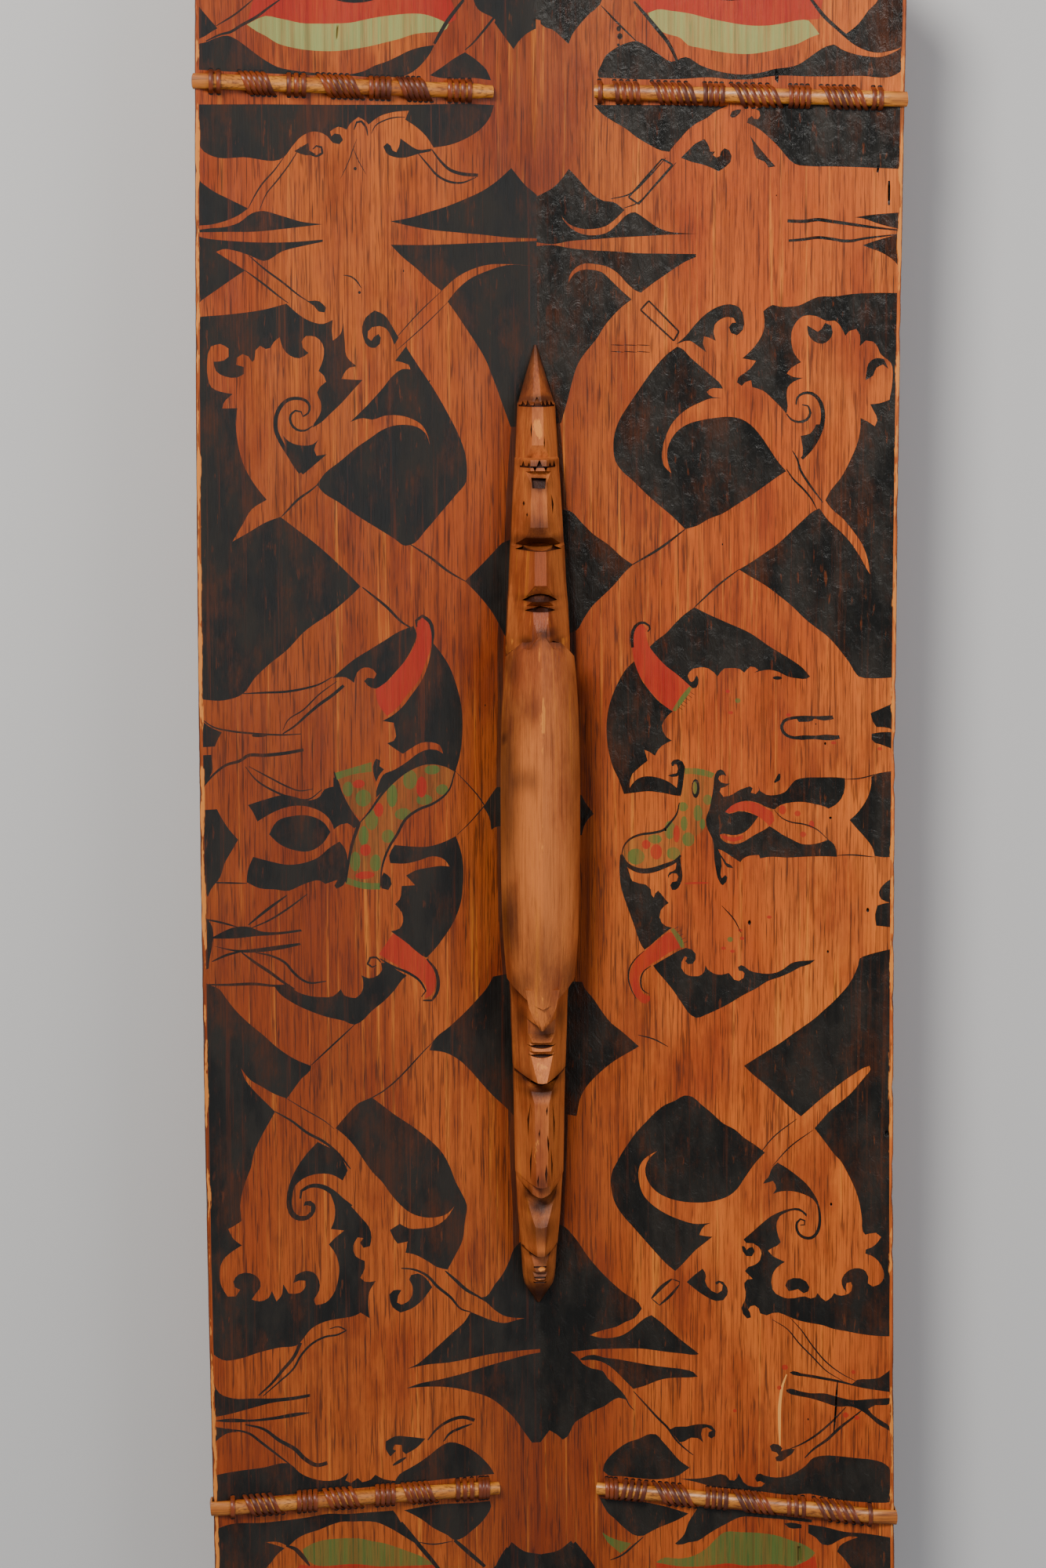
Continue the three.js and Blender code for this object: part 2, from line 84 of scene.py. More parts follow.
# Canes: places along the board at the long edges and at the inner ends
UPPER_CANE = (401.4, 396.7, 396.6, 390.8)
LOWER_CANE = (-381.3, -387.9, -388.8, -393.5)
LEFT_END = 25
RIGHT_END = 32
CANE_WIDTH = 8.6
CANE_HEIGHT = 5.5
FOLD_HEIGHT = 2.2
CLEARANCE = 0.3
STRIP_WIDTH = 2.4
STRIP_THICKNESS = 0.9

# The photograph's camera: millimetres from the valley line, radians, and focal length
CAMERA_PLACE = (-150.54, 331.05, 2415.7)
CAMERA_PITCH = -0.13025
CAMERA_YAW = -0.05818
CAMERA_ROLL = -0.01136
CAMERA_LENS = 100.25
CAMERA_SENSOR = 36


def frame_offset():
    """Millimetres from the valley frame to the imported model's frame."""
    low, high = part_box("shield_board")
    left = -LEFT_HALF - EDGE_BOW * BOW_BALANCE
    floor_of_board = -VALLEY_THICKNESS + VALLEY_SLOPE * KEEL_HALF + SLOPE_GAIN * KEEL_HALF ** 2
    floor_of_board += (VALLEY_THICKNESS - EDGE_THICKNESS) * KEEL_HALF / (BOARD_WIDTH / 2)
    return Vector((low.x / MM - left, (low.y + high.y) / 2 / MM, low.z / MM - floor_of_board))


OFFSET = frame_offset()


def place(x, y, z):
    """A point of the valley frame, in metres in the model's frame."""
    return (Vector((x, y, z)) + OFFSET) * MM


# Camera, floor and light

def make_camera():
    data = bpy.data.cameras.new("camera")
    data.lens = CAMERA_LENS
    data.sensor_width = CAMERA_SENSOR
    data.clip_end = 20
    camera = bpy.data.objects.new("camera", data)
    bpy.context.scene.collection.objects.link(camera)
    turn = Matrix.Rotation(CAMERA_PITCH, 4, "X") @ Matrix.Rotation(CAMERA_YAW, 4, "Y")
    turn = turn @ Matrix.Rotation(CAMERA_ROLL, 4, "Z")
    camera.matrix_world = Matrix.Translation(place(*CAMERA_PLACE)) @ turn
    bpy.context.scene.camera = camera


def make_light(name, at, look, size, watts, colour):
    data = bpy.data.lights.new(name, "AREA")
    data.shape = "DISK"
    data.size = size
    data.energy = watts
    data.color = colour
    light = bpy.data.objects.new(name, data)
    light.location = at
    aim = Vector(look) - Vector(at)
    light.rotation_euler = aim.to_track_quat("-Z", "Y").to_euler()
    bpy.context.scene.collection.objects.link(light)


def make_studio():
    bpy.ops.mesh.primitive_plane_add(size=9, location=(0, 0, 0))
    floor = bpy.context.object
    floor.name = "floor"
    material = bpy.data.materials.new("pale_floor")
    material.use_nodes = True
    shader = material.node_tree.nodes["Principled BSDF"]
    shader.inputs["Base Color"].default_value = (0.62, 0.61, 0.6, 1)
    shader.inputs["Roughness"].default_value = 0.85
    floor.data.materials.append(material)
    world = bpy.data.worlds.new("studio")
    world.use_nodes = True
    background = world.node_tree.nodes["Background"]
    background.inputs["Color"].default_value = (0.9, 0.94, 1.0, 1)
    background.inputs["Strength"].default_value = 0.35
    bpy.context.scene.world = world
    make_light("key", (-0.9, 1.5, 1.9), (0, 0.15, 0), 0.9, 62, (1.0, 0.97, 0.92))
    make_light("fill", (1.5, 0.4, 1.6), (0, 0, 0), 1.4, 14, (0.95, 0.97, 1.0))


make_camera()
make_studio()

# Painted pattern of the holder's side, laid down in order: what comes later covers what is below.
# Each entry holds the paint and its outline, in millimetres across and along the board.

SHARP_TURN = math.radians(52)
PICTURE = []


def smooth(points, closed=True, step=2.6):
    """A curve through the points that keeps every corner sharper than SHARP_TURN."""
    count = len(points)
    curve = []
    for index in range(count if closed else count - 1):
        quad = [points[(index + shift) % count] for shift in (-1, 0, 1, 2)]
        if not closed:
            quad = [points[min(max(index + shift, 0), count - 1)] for shift in (-1, 0, 1, 2)]
        start, end = Vector(quad[1]), Vector(quad[2])
        chord = end - start
        tangents = []
        for before, at, after in ((quad[0], quad[1], quad[2]), (quad[1], quad[2], quad[3])):
            into = Vector(at) - Vector(before)
            out = Vector(after) - Vector(at)
            if into.length < 1e-6 or out.length < 1e-6 or into.angle(out) > SHARP_TURN:
                tangents.append(chord)
                continue
            tangent = (into.normalized() * out.length + out.normalized() * into.length)
            tangents.append(tangent.normalized() * chord.length)
        steps = max(1, min(7, round(chord.length / step)))
        for part in range(steps):
            t = part / steps
            point = start * (2 * t ** 3 - 3 * t ** 2 + 1) + end * (3 * t ** 2 - 2 * t ** 3)
            point += tangents[0] * (t ** 3 - 2 * t ** 2 + t) + tangents[1] * (t ** 3 - t ** 2)
            curve.append((point.x, point.y))
    if not closed:
        curve.append(tuple(points[-1]))
    return curve


def fill(paint, *points):
    PICTURE.append((paint, smooth(list(points))))


def ink(*points):
    fill("black", *points)


def stroke(width, *points, paint="black", tip=0.35, middle=None):
    """A brush stroke: full width at its middle, narrowing to a share of it at both tips."""
    curve = [Vector(point) for point in smooth(list(points), closed=False, step=2)]
    lengths = [0]
    for before, after in zip(curve, curve[1:]):
        lengths.append(lengths[-1] + (after - before).length)
    left, right = [], []
    for index, point in enumerate(curve):
        run = curve[min(index + 1, len(curve) - 1)] - curve[max(index - 1, 0)]
        side = Vector((-run.y, run.x)).normalized()
        share = lengths[index] / lengths[-1]
        peak = 0.5 if middle is None else middle
        bell = 1 - abs((share - peak) / max(peak, 1 - peak)) ** 2
        half = width / 2 * (tip + (1 - tip) * bell)
        left.append(tuple(point + side * half))
        right.append(tuple(point - side * half))
    PICTURE.append((paint, left + right[::-1]))


def spot(paint, x, y, across, along=None, corners=12):
    along = along or across
    turns = [2 * math.pi * corner / corners for corner in range(corners)]
    PICTURE.append((paint, [(x + across * math.cos(a), y + along * math.sin(a)) for a in turns]))


def dashes(width, x0, y0, x1, y1, count, dx, dy):
    """A row of short lashes between two places."""
    for number in range(count):
        share = number / (count - 1)
        x, y = x0 + (x1 - x0) * share, y0 + (y1 - y0) * share
        stroke(width, (x, y), (x + dx, y + dy))


def upper_left_creature():
    ink((-184.5, 389), (-150, 389.3), (-110, 389.3), (-70, 389.6), (-28, 389.8), (-23.5, 389.5),
        (-25.5, 383.5), (-30, 377.5), (-38, 372), (-48, 368), (-57, 366.5), (-61, 372.5), (-67, 378),
        (-72.5, 381.5), (-70.5, 386.3), (-79, 385.5), (-87, 383), (-92.5, 378.8), (-94, 380.5),
        (-98, 382.8), (-102.3, 379.5), (-104.5, 376), (-109, 377.6), (-113.5, 375), (-112.8, 372.5),
        (-111, 374), (-108, 373.5), (-106.5, 370.5), (-108.5, 368.2), (-112, 369), (-115, 372.5),
        (-122.5, 375), (-129, 372.3), (-134, 367), (-138.5, 361.3), (-160, 361.2), (-176, 361.5),
        (-181, 364), (-184.5, 369))
    ink((-185, 349.5), (-176, 343), (-168, 339), (-158, 334), (-163, 330.5), (-170, 327.5),
        (-178, 325.5), (-185, 325))
    ink((-186, 322.6), (-178, 323.6), (-170, 324.3), (-163, 326.5), (-156, 331.5), (-152, 332.6),
        (-140, 330), (-130, 327), (-118, 325.4), (-135, 323.5), (-155, 321.6), (-170, 321.6),
        (-186, 321.4))
    ink((-185.5, 319.3), (-178, 317.8), (-170, 317), (-155, 316), (-135, 316), (-118, 317.2),
        (-118, 316), (-128, 314), (-140, 311), (-150, 306), (-157, 308.8), (-165, 311.5),
        (-172, 312.4), (-175.5, 311), (-170, 307.5), (-160, 301), (-167, 296.5), (-175, 291),
        (-185.5, 284))
    ink((-81, 326.8), (-70, 328.8), (-60, 331.8), (-50, 334.8), (-40, 338.7), (-30, 343.2),
        (-22, 348.5), (-14, 355.5), (-5, 345), (0, 341), (0, 317.2), (-15, 317.7), (-30, 319.3),
        (-45, 320.7), (-60, 322.3), (-70, 324.2))
    ink((-81, 314.2), (-60, 314), (-40, 314.6), (-20, 315.2), (0, 315.8), (0, 302), (-16, 303.2),
        (-27, 303), (-35, 301), (-45, 296), (-53, 289), (-58, 292.8), (-66, 300.5), (-75, 308))
    ink((0, 302), (-17.5, 302.6), (-28, 299.5), (-38, 295), (-45, 289), (-49.8, 283.2),
        (-45, 276.5), (-40, 269), (-34, 260), (-29, 251.5), (-25.5, 243), (-20, 228), (-15, 214),
        (0, 214))
    ink((-84.6, 367), (-82.5, 369), (-80.5, 367.5), (-79.5, 365), (-77.5, 364), (-76, 367),
        (-75.2, 371.5), (-71, 368.5), (-66, 365.5), (-58, 366), (-58.5, 364.5), (-66, 363),
        (-72, 361.2), (-79, 361.5), (-83, 363.5))
    stroke(1.9, (-58, 365.5), (-53, 359), (-48, 354.5), (-42, 352.5), (-32.5, 351.6), middle=0.8)
    stroke(1.3, (-66, 364), (-60, 357), (-55, 351.5), (-49, 348.3), (-42, 347.5), (-33.5, 350.5))
    stroke(0.9, (-138.5, 361.3), (-144, 354), (-150, 347.5), (-157, 336), (-158, 334))
    stroke(0.8, (-129.5, 367), (-136, 357), (-143, 348), (-148, 342), (-152, 333))
    ink((-133, 364.5), (-125.3, 369), (-124.8, 364.8), (-121, 362.8), (-127, 362.3))
    stroke(1.4, (-125, 363.3), (-121, 361.8), (-117.8, 363.5), (-118.2, 366.6), (-121, 367.3),
           (-123, 365.5))
    stroke(1.3, (-100.5, 376), (-99, 380), (-96.5, 380.5), (-94, 377.5), (-93, 372.8))
    stroke(0.8, (-91, 374), (-89, 378), (-84, 381), (-77, 382.8), (-72.5, 382.8))
    spot("black", -100, 355.2, 0.9)
    stroke(0.9, (-107, 298), (-103, 297.3), (-99.5, 294.5), (-97.3, 291))
    spot("black", -98.3, 288.6, 0.8)
    ink((-127, 284.2), (-120, 284), (-116.5, 280.5), (-117.5, 278), (-120.5, 278.5), (-123, 281.5))
    stroke(1.1, (-158, 309), (-150, 302), (-140, 294.5), (-130, 286.5), (-126, 284))
    stroke(1.1, (-160, 301), (-150, 293.5), (-142, 287), (-137, 283.3))
    stroke(0.6, (-53, 289), (-65, 278), (-80, 262))
    stroke(0.6, (-49.5, 283), (-62, 271), (-78, 257))
    stroke(0.5, (-108, 350), (-104, 358), (-101, 366), (-99, 371))
    stroke(0.5, (-94, 352), (-98, 359), (-101, 366))


def upper_left_body():
    ink((-96.9, 270), (-95, 275), (-90, 278.8), (-85, 276.5), (-80.5, 270), (-76.9, 263.8),
        (-79.4, 260), (-81.3, 265), (-83.8, 268.8), (-87.5, 270.3), (-91.3, 269.8), (-93.8, 267.5),
        (-94, 264), (-92, 262.3), (-90.5, 264.5), (-88, 266), (-86.8, 264), (-87.3, 260.6),
        (-90, 258.5), (-93.8, 259.4), (-96.3, 263.8))
    ink((-73, 259), (-66, 248), (-58, 236), (-50, 222), (-44, 210), (-40.5, 200), (-39.5, 190),
        (-40, 184.5), (-46, 177), (-54, 168), (-62, 159), (-71, 150.5), (-74, 150), (-80, 154),
        (-90, 160.5), (-100, 167), (-110, 174.5), (-120, 181.5), (-122.5, 185), (-118, 191),
        (-110, 197), (-100, 205), (-93, 209.5), (-87, 213.5), (-80, 216), (-73, 216.3), (-67, 215),
        (-62.5, 211.5), (-60, 204.5), (-61.5, 211), (-65, 216.5), (-70, 219.5), (-77, 221.5),
        (-85, 221.5), (-92, 219.5), (-97, 220.5), (-104, 218.5), (-98, 224), (-92, 230),
        (-86, 236.5), (-80, 243.5), (-75, 246.8), (-70.5, 246.5), (-71.5, 249), (-75, 250.4),
        (-79, 251.3))
    ink((-185.5, 276.5), (-165, 278), (-150, 280), (-138, 283), (-131, 276.8), (-125, 273.3),
        (-118, 271.9), (-113, 274), (-113.5, 268), (-113, 262.8), (-109, 266), (-107.3, 272.5),
        (-106.5, 262), (-105.5, 254), (-100.3, 248.7), (-104, 248), (-107, 245), (-108.5, 242),
        (-103, 241.5), (-97, 241.2), (-102, 236), (-108, 229.5), (-115, 223), (-120, 218.5),
        (-124.4, 216), (-123.8, 218.1), (-121.9, 220.6), (-119.8, 225), (-120, 230), (-121.9, 235),
        (-120.6, 237.5), (-116.9, 240.6), (-118.1, 243.8), (-121, 246.5), (-118.5, 252.5),
        (-118.8, 261.3), (-122.5, 265), (-127.5, 265.5), (-130, 262.5), (-129.4, 259.4),
        (-126.3, 256.3), (-131.3, 253.5), (-136.3, 255), (-140, 258.8), (-141.9, 265),
        (-145, 262.5), (-146.9, 259.4), (-149.4, 258.8), (-152.5, 260.6), (-155, 258.1),
        (-155.6, 253.1), (-156.9, 251.9), (-158.8, 255), (-161.9, 256.3), (-165, 254.4),
        (-165.5, 250.6), (-161.3, 249.4), (-161.3, 245.6), (-165, 243.8), (-171.3, 244.4),
        (-176.3, 247.5), (-177.5, 252.5), (-171.9, 253.1), (-169.4, 255), (-169.4, 259.4),
        (-173.8, 261.9), (-178.8, 260.6), (-180.6, 256.3), (-185.5, 256))
    stroke(1.4, (-124.4, 216.9), (-128.8, 214.4), (-133.1, 215), (-136.3, 218.8), (-136.3, 223.1),
           (-133.8, 225.3), (-130.6, 224.6), (-130, 222.5))
    stroke(2.3, (-130, 222), (-126.9, 223.8), (-126, 227.5), (-128.1, 230.6), (-132.5, 231.9),
           (-137.5, 231.3), (-141.9, 227.5), (-144.4, 221.3), (-144.4, 215), (-141.9, 208.8),
           (-137.5, 201.3), (-133.1, 193.8), (-131.5, 191.5), middle=0.6)
    ink((-140.6, 211.9), (-137.5, 208.8), (-130, 206.3), (-124.4, 206.9), (-121.3, 209.4),
        (-123.8, 203.8), (-122.5, 200.6), (-116.9, 201.3), (-123.8, 195.6), (-130, 190.6),
        (-133.1, 193.8), (-137.5, 201.3))
    ink((-185.5, 256), (-180.6, 256.3), (-181, 250), (-180.6, 243.8), (-178.8, 238.8),
        (-173.8, 236.3), (-167.5, 235), (-172.5, 230), (-173.1, 227.3), (-165, 227.3),
        (-166, 221.3), (-165.6, 212.5), (-164.4, 205), (-161.9, 196.3), (-158.1, 188.8),
        (-153.8, 182.5), (-149.8, 177.5), (-158, 172.5), (-163, 164.5), (-168.5, 155.5),
        (-160, 160), (-150, 165.5), (-142.5, 168), (-135, 162), (-125, 154), (-115, 145),
        (-107, 137), (-99, 128.5), (-105, 123), (-115, 115), (-130, 105), (-140, 95), (-150, 87.5),
        (-157.5, 80.6), (-163.8, 72.5), (-173.8, 69.4), (-187.5, 70.6))
    stroke(1.3, (-142, 168), (-139, 171), (-133, 177), (-125, 182.5), (-122, 185))
    ink((-14, 152), (-20, 150), (-24, 146), (-33, 137), (-41, 129.5), (-33, 121), (-26, 112),
        (-21, 103), (-18, 97), (-14, 97))
    stroke(1.4, (-71, 150.5), (-60, 143), (-50, 135), (-41, 129.5))
    stroke(1.5, (-98, 128), (-95, 125.5), (-85, 117), (-75, 107), (-70, 104))


def middle_left_upper_jaw():
    stroke(1.3, (-163.8, 72.5), (-152.5, 72.5), (-140, 72.5), (-130, 73.8), (-122.5, 75.6),
           (-115, 79.4))
    ink((-115, 78.8), (-110, 83.1), (-102.5, 88.8), (-95, 93.1), (-86.3, 98.1), (-77.5, 103.1),
        (-70, 105.6), (-68.1, 101.3), (-70, 95), (-75, 86.3), (-81.3, 79.4), (-86.3, 74.4),
        (-91.3, 71.9), (-95.6, 73.8), (-97.5, 76.3), (-95.6, 78.1), (-92, 77.5), (-90.6, 80),
        (-92.5, 82.5), (-97.5, 83.8), (-101.3, 81.3), (-103.1, 75.6), (-107.5, 78.8))
    fill("red", (-65, 110), (-68.1, 106.3), (-68.1, 98.8), (-71.3, 91.3), (-77.5, 83.1),
         (-83.8, 76.3), (-91.3, 71.3), (-90, 63.8), (-85, 56.3), (-80, 60), (-73.8, 67.5),
         (-67.5, 75), (-63.8, 83.8), (-60.6, 92.5), (-60, 102.5), (-61.3, 107.5))
    ink((-59.4, 96.3), (-55, 90.6), (-50, 82.5), (-46.3, 72.5), (-43.8, 62.5), (-42.8, 52.5),
        (-43.1, 42.5), (-44.4, 32.5), (-46.9, 23.8), (-52.5, 26.9), (-60, 28.8), (-67.5, 28.1),
        (-73.8, 25.6), (-80, 21.9), (-86.3, 16.3), (-91.3, 11.3), (-91.3, 15), (-90, 18.8),
        (-87.5, 23.8), (-81.3, 26.3), (-73.8, 30.6), (-67.5, 35), (-61.3, 36.9), (-57.5, 36.3),
        (-53.8, 34), (-55.6, 38.8), (-60, 40.6), (-66.3, 40.6), (-71.3, 38.1), (-76.3, 35),
        (-80, 37.5), (-85, 41.3), (-81.3, 42.5), (-80, 45), (-80.6, 48.8), (-81.3, 52.5),
        (-87.5, 53.8), (-82.5, 56.3), (-77.5, 60), (-71.3, 67.5), (-65, 76.3), (-61.3, 86.3))
    stroke(2, (-59.5, 94), (-59.3, 103), (-61, 108), (-65, 111), (-68.5, 108.5), (-68, 105))
    ink((-91.3, 33.1), (-88.8, 31.9), (-89.4, 28.8), (-86.9, 26.9), (-90, 23.1), (-91.3, 20),
        (-92.5, 23.8), (-93.1, 28.8))
    stroke(1.8, (-108.8, 74.4), (-115, 69.4), (-122.5, 64.4), (-128.8, 59.4), (-136.3, 53.1),
           (-142.5, 49.4), middle=0.2)
    stroke(0.8, (-112.5, 76.9), (-122.5, 70), (-131.3, 61.9), (-140, 56.3), (-142.5, 51.3))
    stroke(1.1, (-187.5, 60.6), (-180, 55), (-171.3, 52.5), (-160, 50.6), (-150, 49.4),
           (-142.5, 48.8), (-132.5, 48.8))
    spot("black", -155, 49.3, 4.5, 1.1)
    ink((-187.5, 60), (-182.5, 55.6), (-175.6, 51.9), (-177.5, 48.8), (-179.4, 44.4),
        (-187.5, 44.4))
    stroke(1.9, (-186.3, 22.5), (-180, 29.4), (-173.8, 33.8), (-165, 36.3), (-162.5, 38.1),
           (-152.5, 38.1), (-140, 38.8), (-131.3, 40), middle=0.7)
    ink((-187.5, 40), (-181.3, 40), (-181.3, 30), (-186.3, 22.5))
    stroke(1.1, (-163.1, 32.5), (-157.5, 25), (-148.8, 18.8), (-137.5, 13.8), (-128.8, 12.5),
           (-121.3, 17.5))
    stroke(0.9, (-161.3, 32.5), (-148.8, 25), (-140, 20), (-133.8, 17.5), (-126.3, 18.1))


def middle_left_eye():
    ink((-187.5, 10), (-178.8, 10), (-176.3, 5), (-172.5, -1.3), (-167.5, -7.5), (-171.3, -13.8),
        (-175, -20), (-177.5, -27.5), (-182.5, -33.8), (-184.4, -38), (-187.5, -28.8))
    ink((-161.9, 11.3), (-152.5, 13.8), (-141.3, 15.6), (-135, 13.8), (-128.8, 11.9),
        (-122.5, 13.8), (-120, 17.5), (-115, 18.8), (-115, 23.8), (-112.5, 23.1), (-111.3, 18.8),
        (-108.8, 11.3), (-105, 3.8), (-100.6, -3.1), (-103.8, -5), (-107.5, -1.9), (-111.3, -2.5),
        (-115, -5), (-115.6, -2.5), (-120, 3.8), (-126.3, 7.5), (-135, 9.4), (-143.8, 8.1),
        (-151.3, 5), (-156.9, 1.9), (-159.4, 7.5))
    ink((-150.6, -5.6), (-146.3, 1.3), (-137.5, 3.8), (-127.5, 3.1), (-120, -1.3), (-116.9, -6.3),
        (-121.3, -12.5), (-128.8, -16.3), (-137.5, -15), (-145, -11.3))
    ink((-159.4, -17.5), (-150, -20.6), (-140, -23.1), (-131.3, -22.5), (-123.8, -20),
        (-117.5, -15), (-111.9, -11.9), (-108.8, -16.3), (-107.5, -22.5), (-108.1, -28.8),
        (-110, -36.3), (-113.8, -38.1), (-115, -36.3), (-113.1, -33.1), (-120, -35),
        (-122.5, -33.1), (-130, -33.8), (-135, -35.6), (-140, -37.5), (-147.5, -36.3),
        (-156.3, -35), (-163.1, -31.3), (-162.5, -25), (-160, -18.8))
    stroke(0.9, (-183.8, -30), (-163, -31.9))
    fill("tint", (-114.4, 26.3), (-93.8, 31.3), (-93.1, 22.5), (-91.3, 13.8), (-100, 0),
         (-105, 5), (-108.8, 12.5), (-112.5, 22.5))
    fill("tint", (-108.8, -35), (-106.9, -26.3), (-105, -15), (-101.3, -3.8), (-96.3, 2.5),
         (-90, 11.3), (-83.8, 17.5), (-76.3, 23.8), (-68.8, 27.5), (-60, 28.5), (-52.5, 26.5),
         (-47.5, 23.8), (-48.8, 18.8), (-52.5, 12.5), (-60, 6.3), (-67.5, 3.8), (-75, -1.3),
         (-80, -10), (-83.8, -15), (-87.5, -25), (-89.4, -40), (-97.5, -38.8))
    fill("green", (-114.4, 26.3), (-93.8, 31.3), (-93.5, 26), (-104, 25), (-113.5, 22.3))
    fill("green", (-108.9, -35.5), (-98, -39.3), (-89.5, -40), (-89, -36.5), (-99, -35.5),
         (-108.3, -32))
    for x, y, across, along in ((-72.5, 20.5, 4, 5.5), (-82.5, 12, 3, 6.5), (-60, 25.3, 4.5, 2.6),
                                (-54.5, 14, 3.4, 3), (-64.5, 8.8, 4.5, 3), (-76.5, 1.5, 4.6, 3.3),
                                (-94, -1, 3.6, 5.6), (-85, -10.5, 3.6, 3.8),
                                (-98.5, -9.5, 2.8, 5.6), (-103.3, -23.5, 3, 5.5),
                                (-92, -25, 3.2, 4.8), (-98.5, 11.5, 4.4, 4.8),
                                (-107, 17, 3, 4.2)):
        spot("green", x, y, across, along)
    for x, y, across, along in ((-66, 16, 3, 6), (-90, 4.5, 2.6, 4), (-97.5, -17.5, 3, 3.4),
                                (-98, -31.5, 5.5, 2.2), (-101, 19.5, 3.4, 2.4)):
        spot("red", x, y, across, along)
    stroke(1.9, (-114.5, 27), (-113.5, 22.5), (-109.5, 12), (-105.5, 4), (-101, -2.5),
           (-105, -14), (-107.5, -27), (-108.5, -35))
    stroke(1.7, (-101, -2.5), (-95, 4), (-88, 13.5), (-81, 20.5), (-73, 26), (-64, 29),
           (-53, 27.3), (-46.5, 23.5))
    stroke(1.6, (-47.3, 23.5), (-51, 13), (-60, 6.2), (-67.5, 3.6), (-75, -1.5), (-80, -10),
           (-84, -16), (-88, -26), (-89.6, -39))
    stroke(0.7, (-46.3, 23.1), (-40, 16.3), (-33.8, 8.8), (-30.6, 3.8), (-40, -6.3),
           (-46.3, -11.9))
    ink((-15, 14), (-23.8, 13.8), (-27.5, 8.8), (-31.3, 3.1), (-28.1, -2.5), (-26.9, -10),
        (-25, -8.8), (-15, -9))
    ink((-81.3, -15.6), (-72.5, -16.9), (-62.5, -17.5), (-52.5, -15), (-46.9, -12.5),
        (-44.4, -20), (-42.8, -30), (-43.1, -40), (-43.8, -47.5), (-47.5, -58.8), (-53.8, -68.8),
        (-60, -76.3), (-63.8, -80), (-67.5, -78.1), (-73.8, -71.9), (-80, -66.9), (-83.8, -63.8),
        (-78.8, -62.5), (-76.9, -58.8), (-77.5, -53.8), (-81.3, -48.8), (-78.8, -46.3),
        (-77.5, -38.8), (-70, -38.8), (-75, -33.1), (-70, -30.6), (-62.5, -29.4), (-55, -28.8),
        (-50.6, -29.4), (-53.1, -25.6), (-60, -23.1), (-67.5, -25), (-75, -26.3), (-83.8, -25.6),
        (-84.4, -21.3))
    ink((-87.5, -30.6), (-89.4, -35), (-88.8, -39.4), (-85, -40.6), (-83.1, -37.5),
        (-83.8, -33.8))


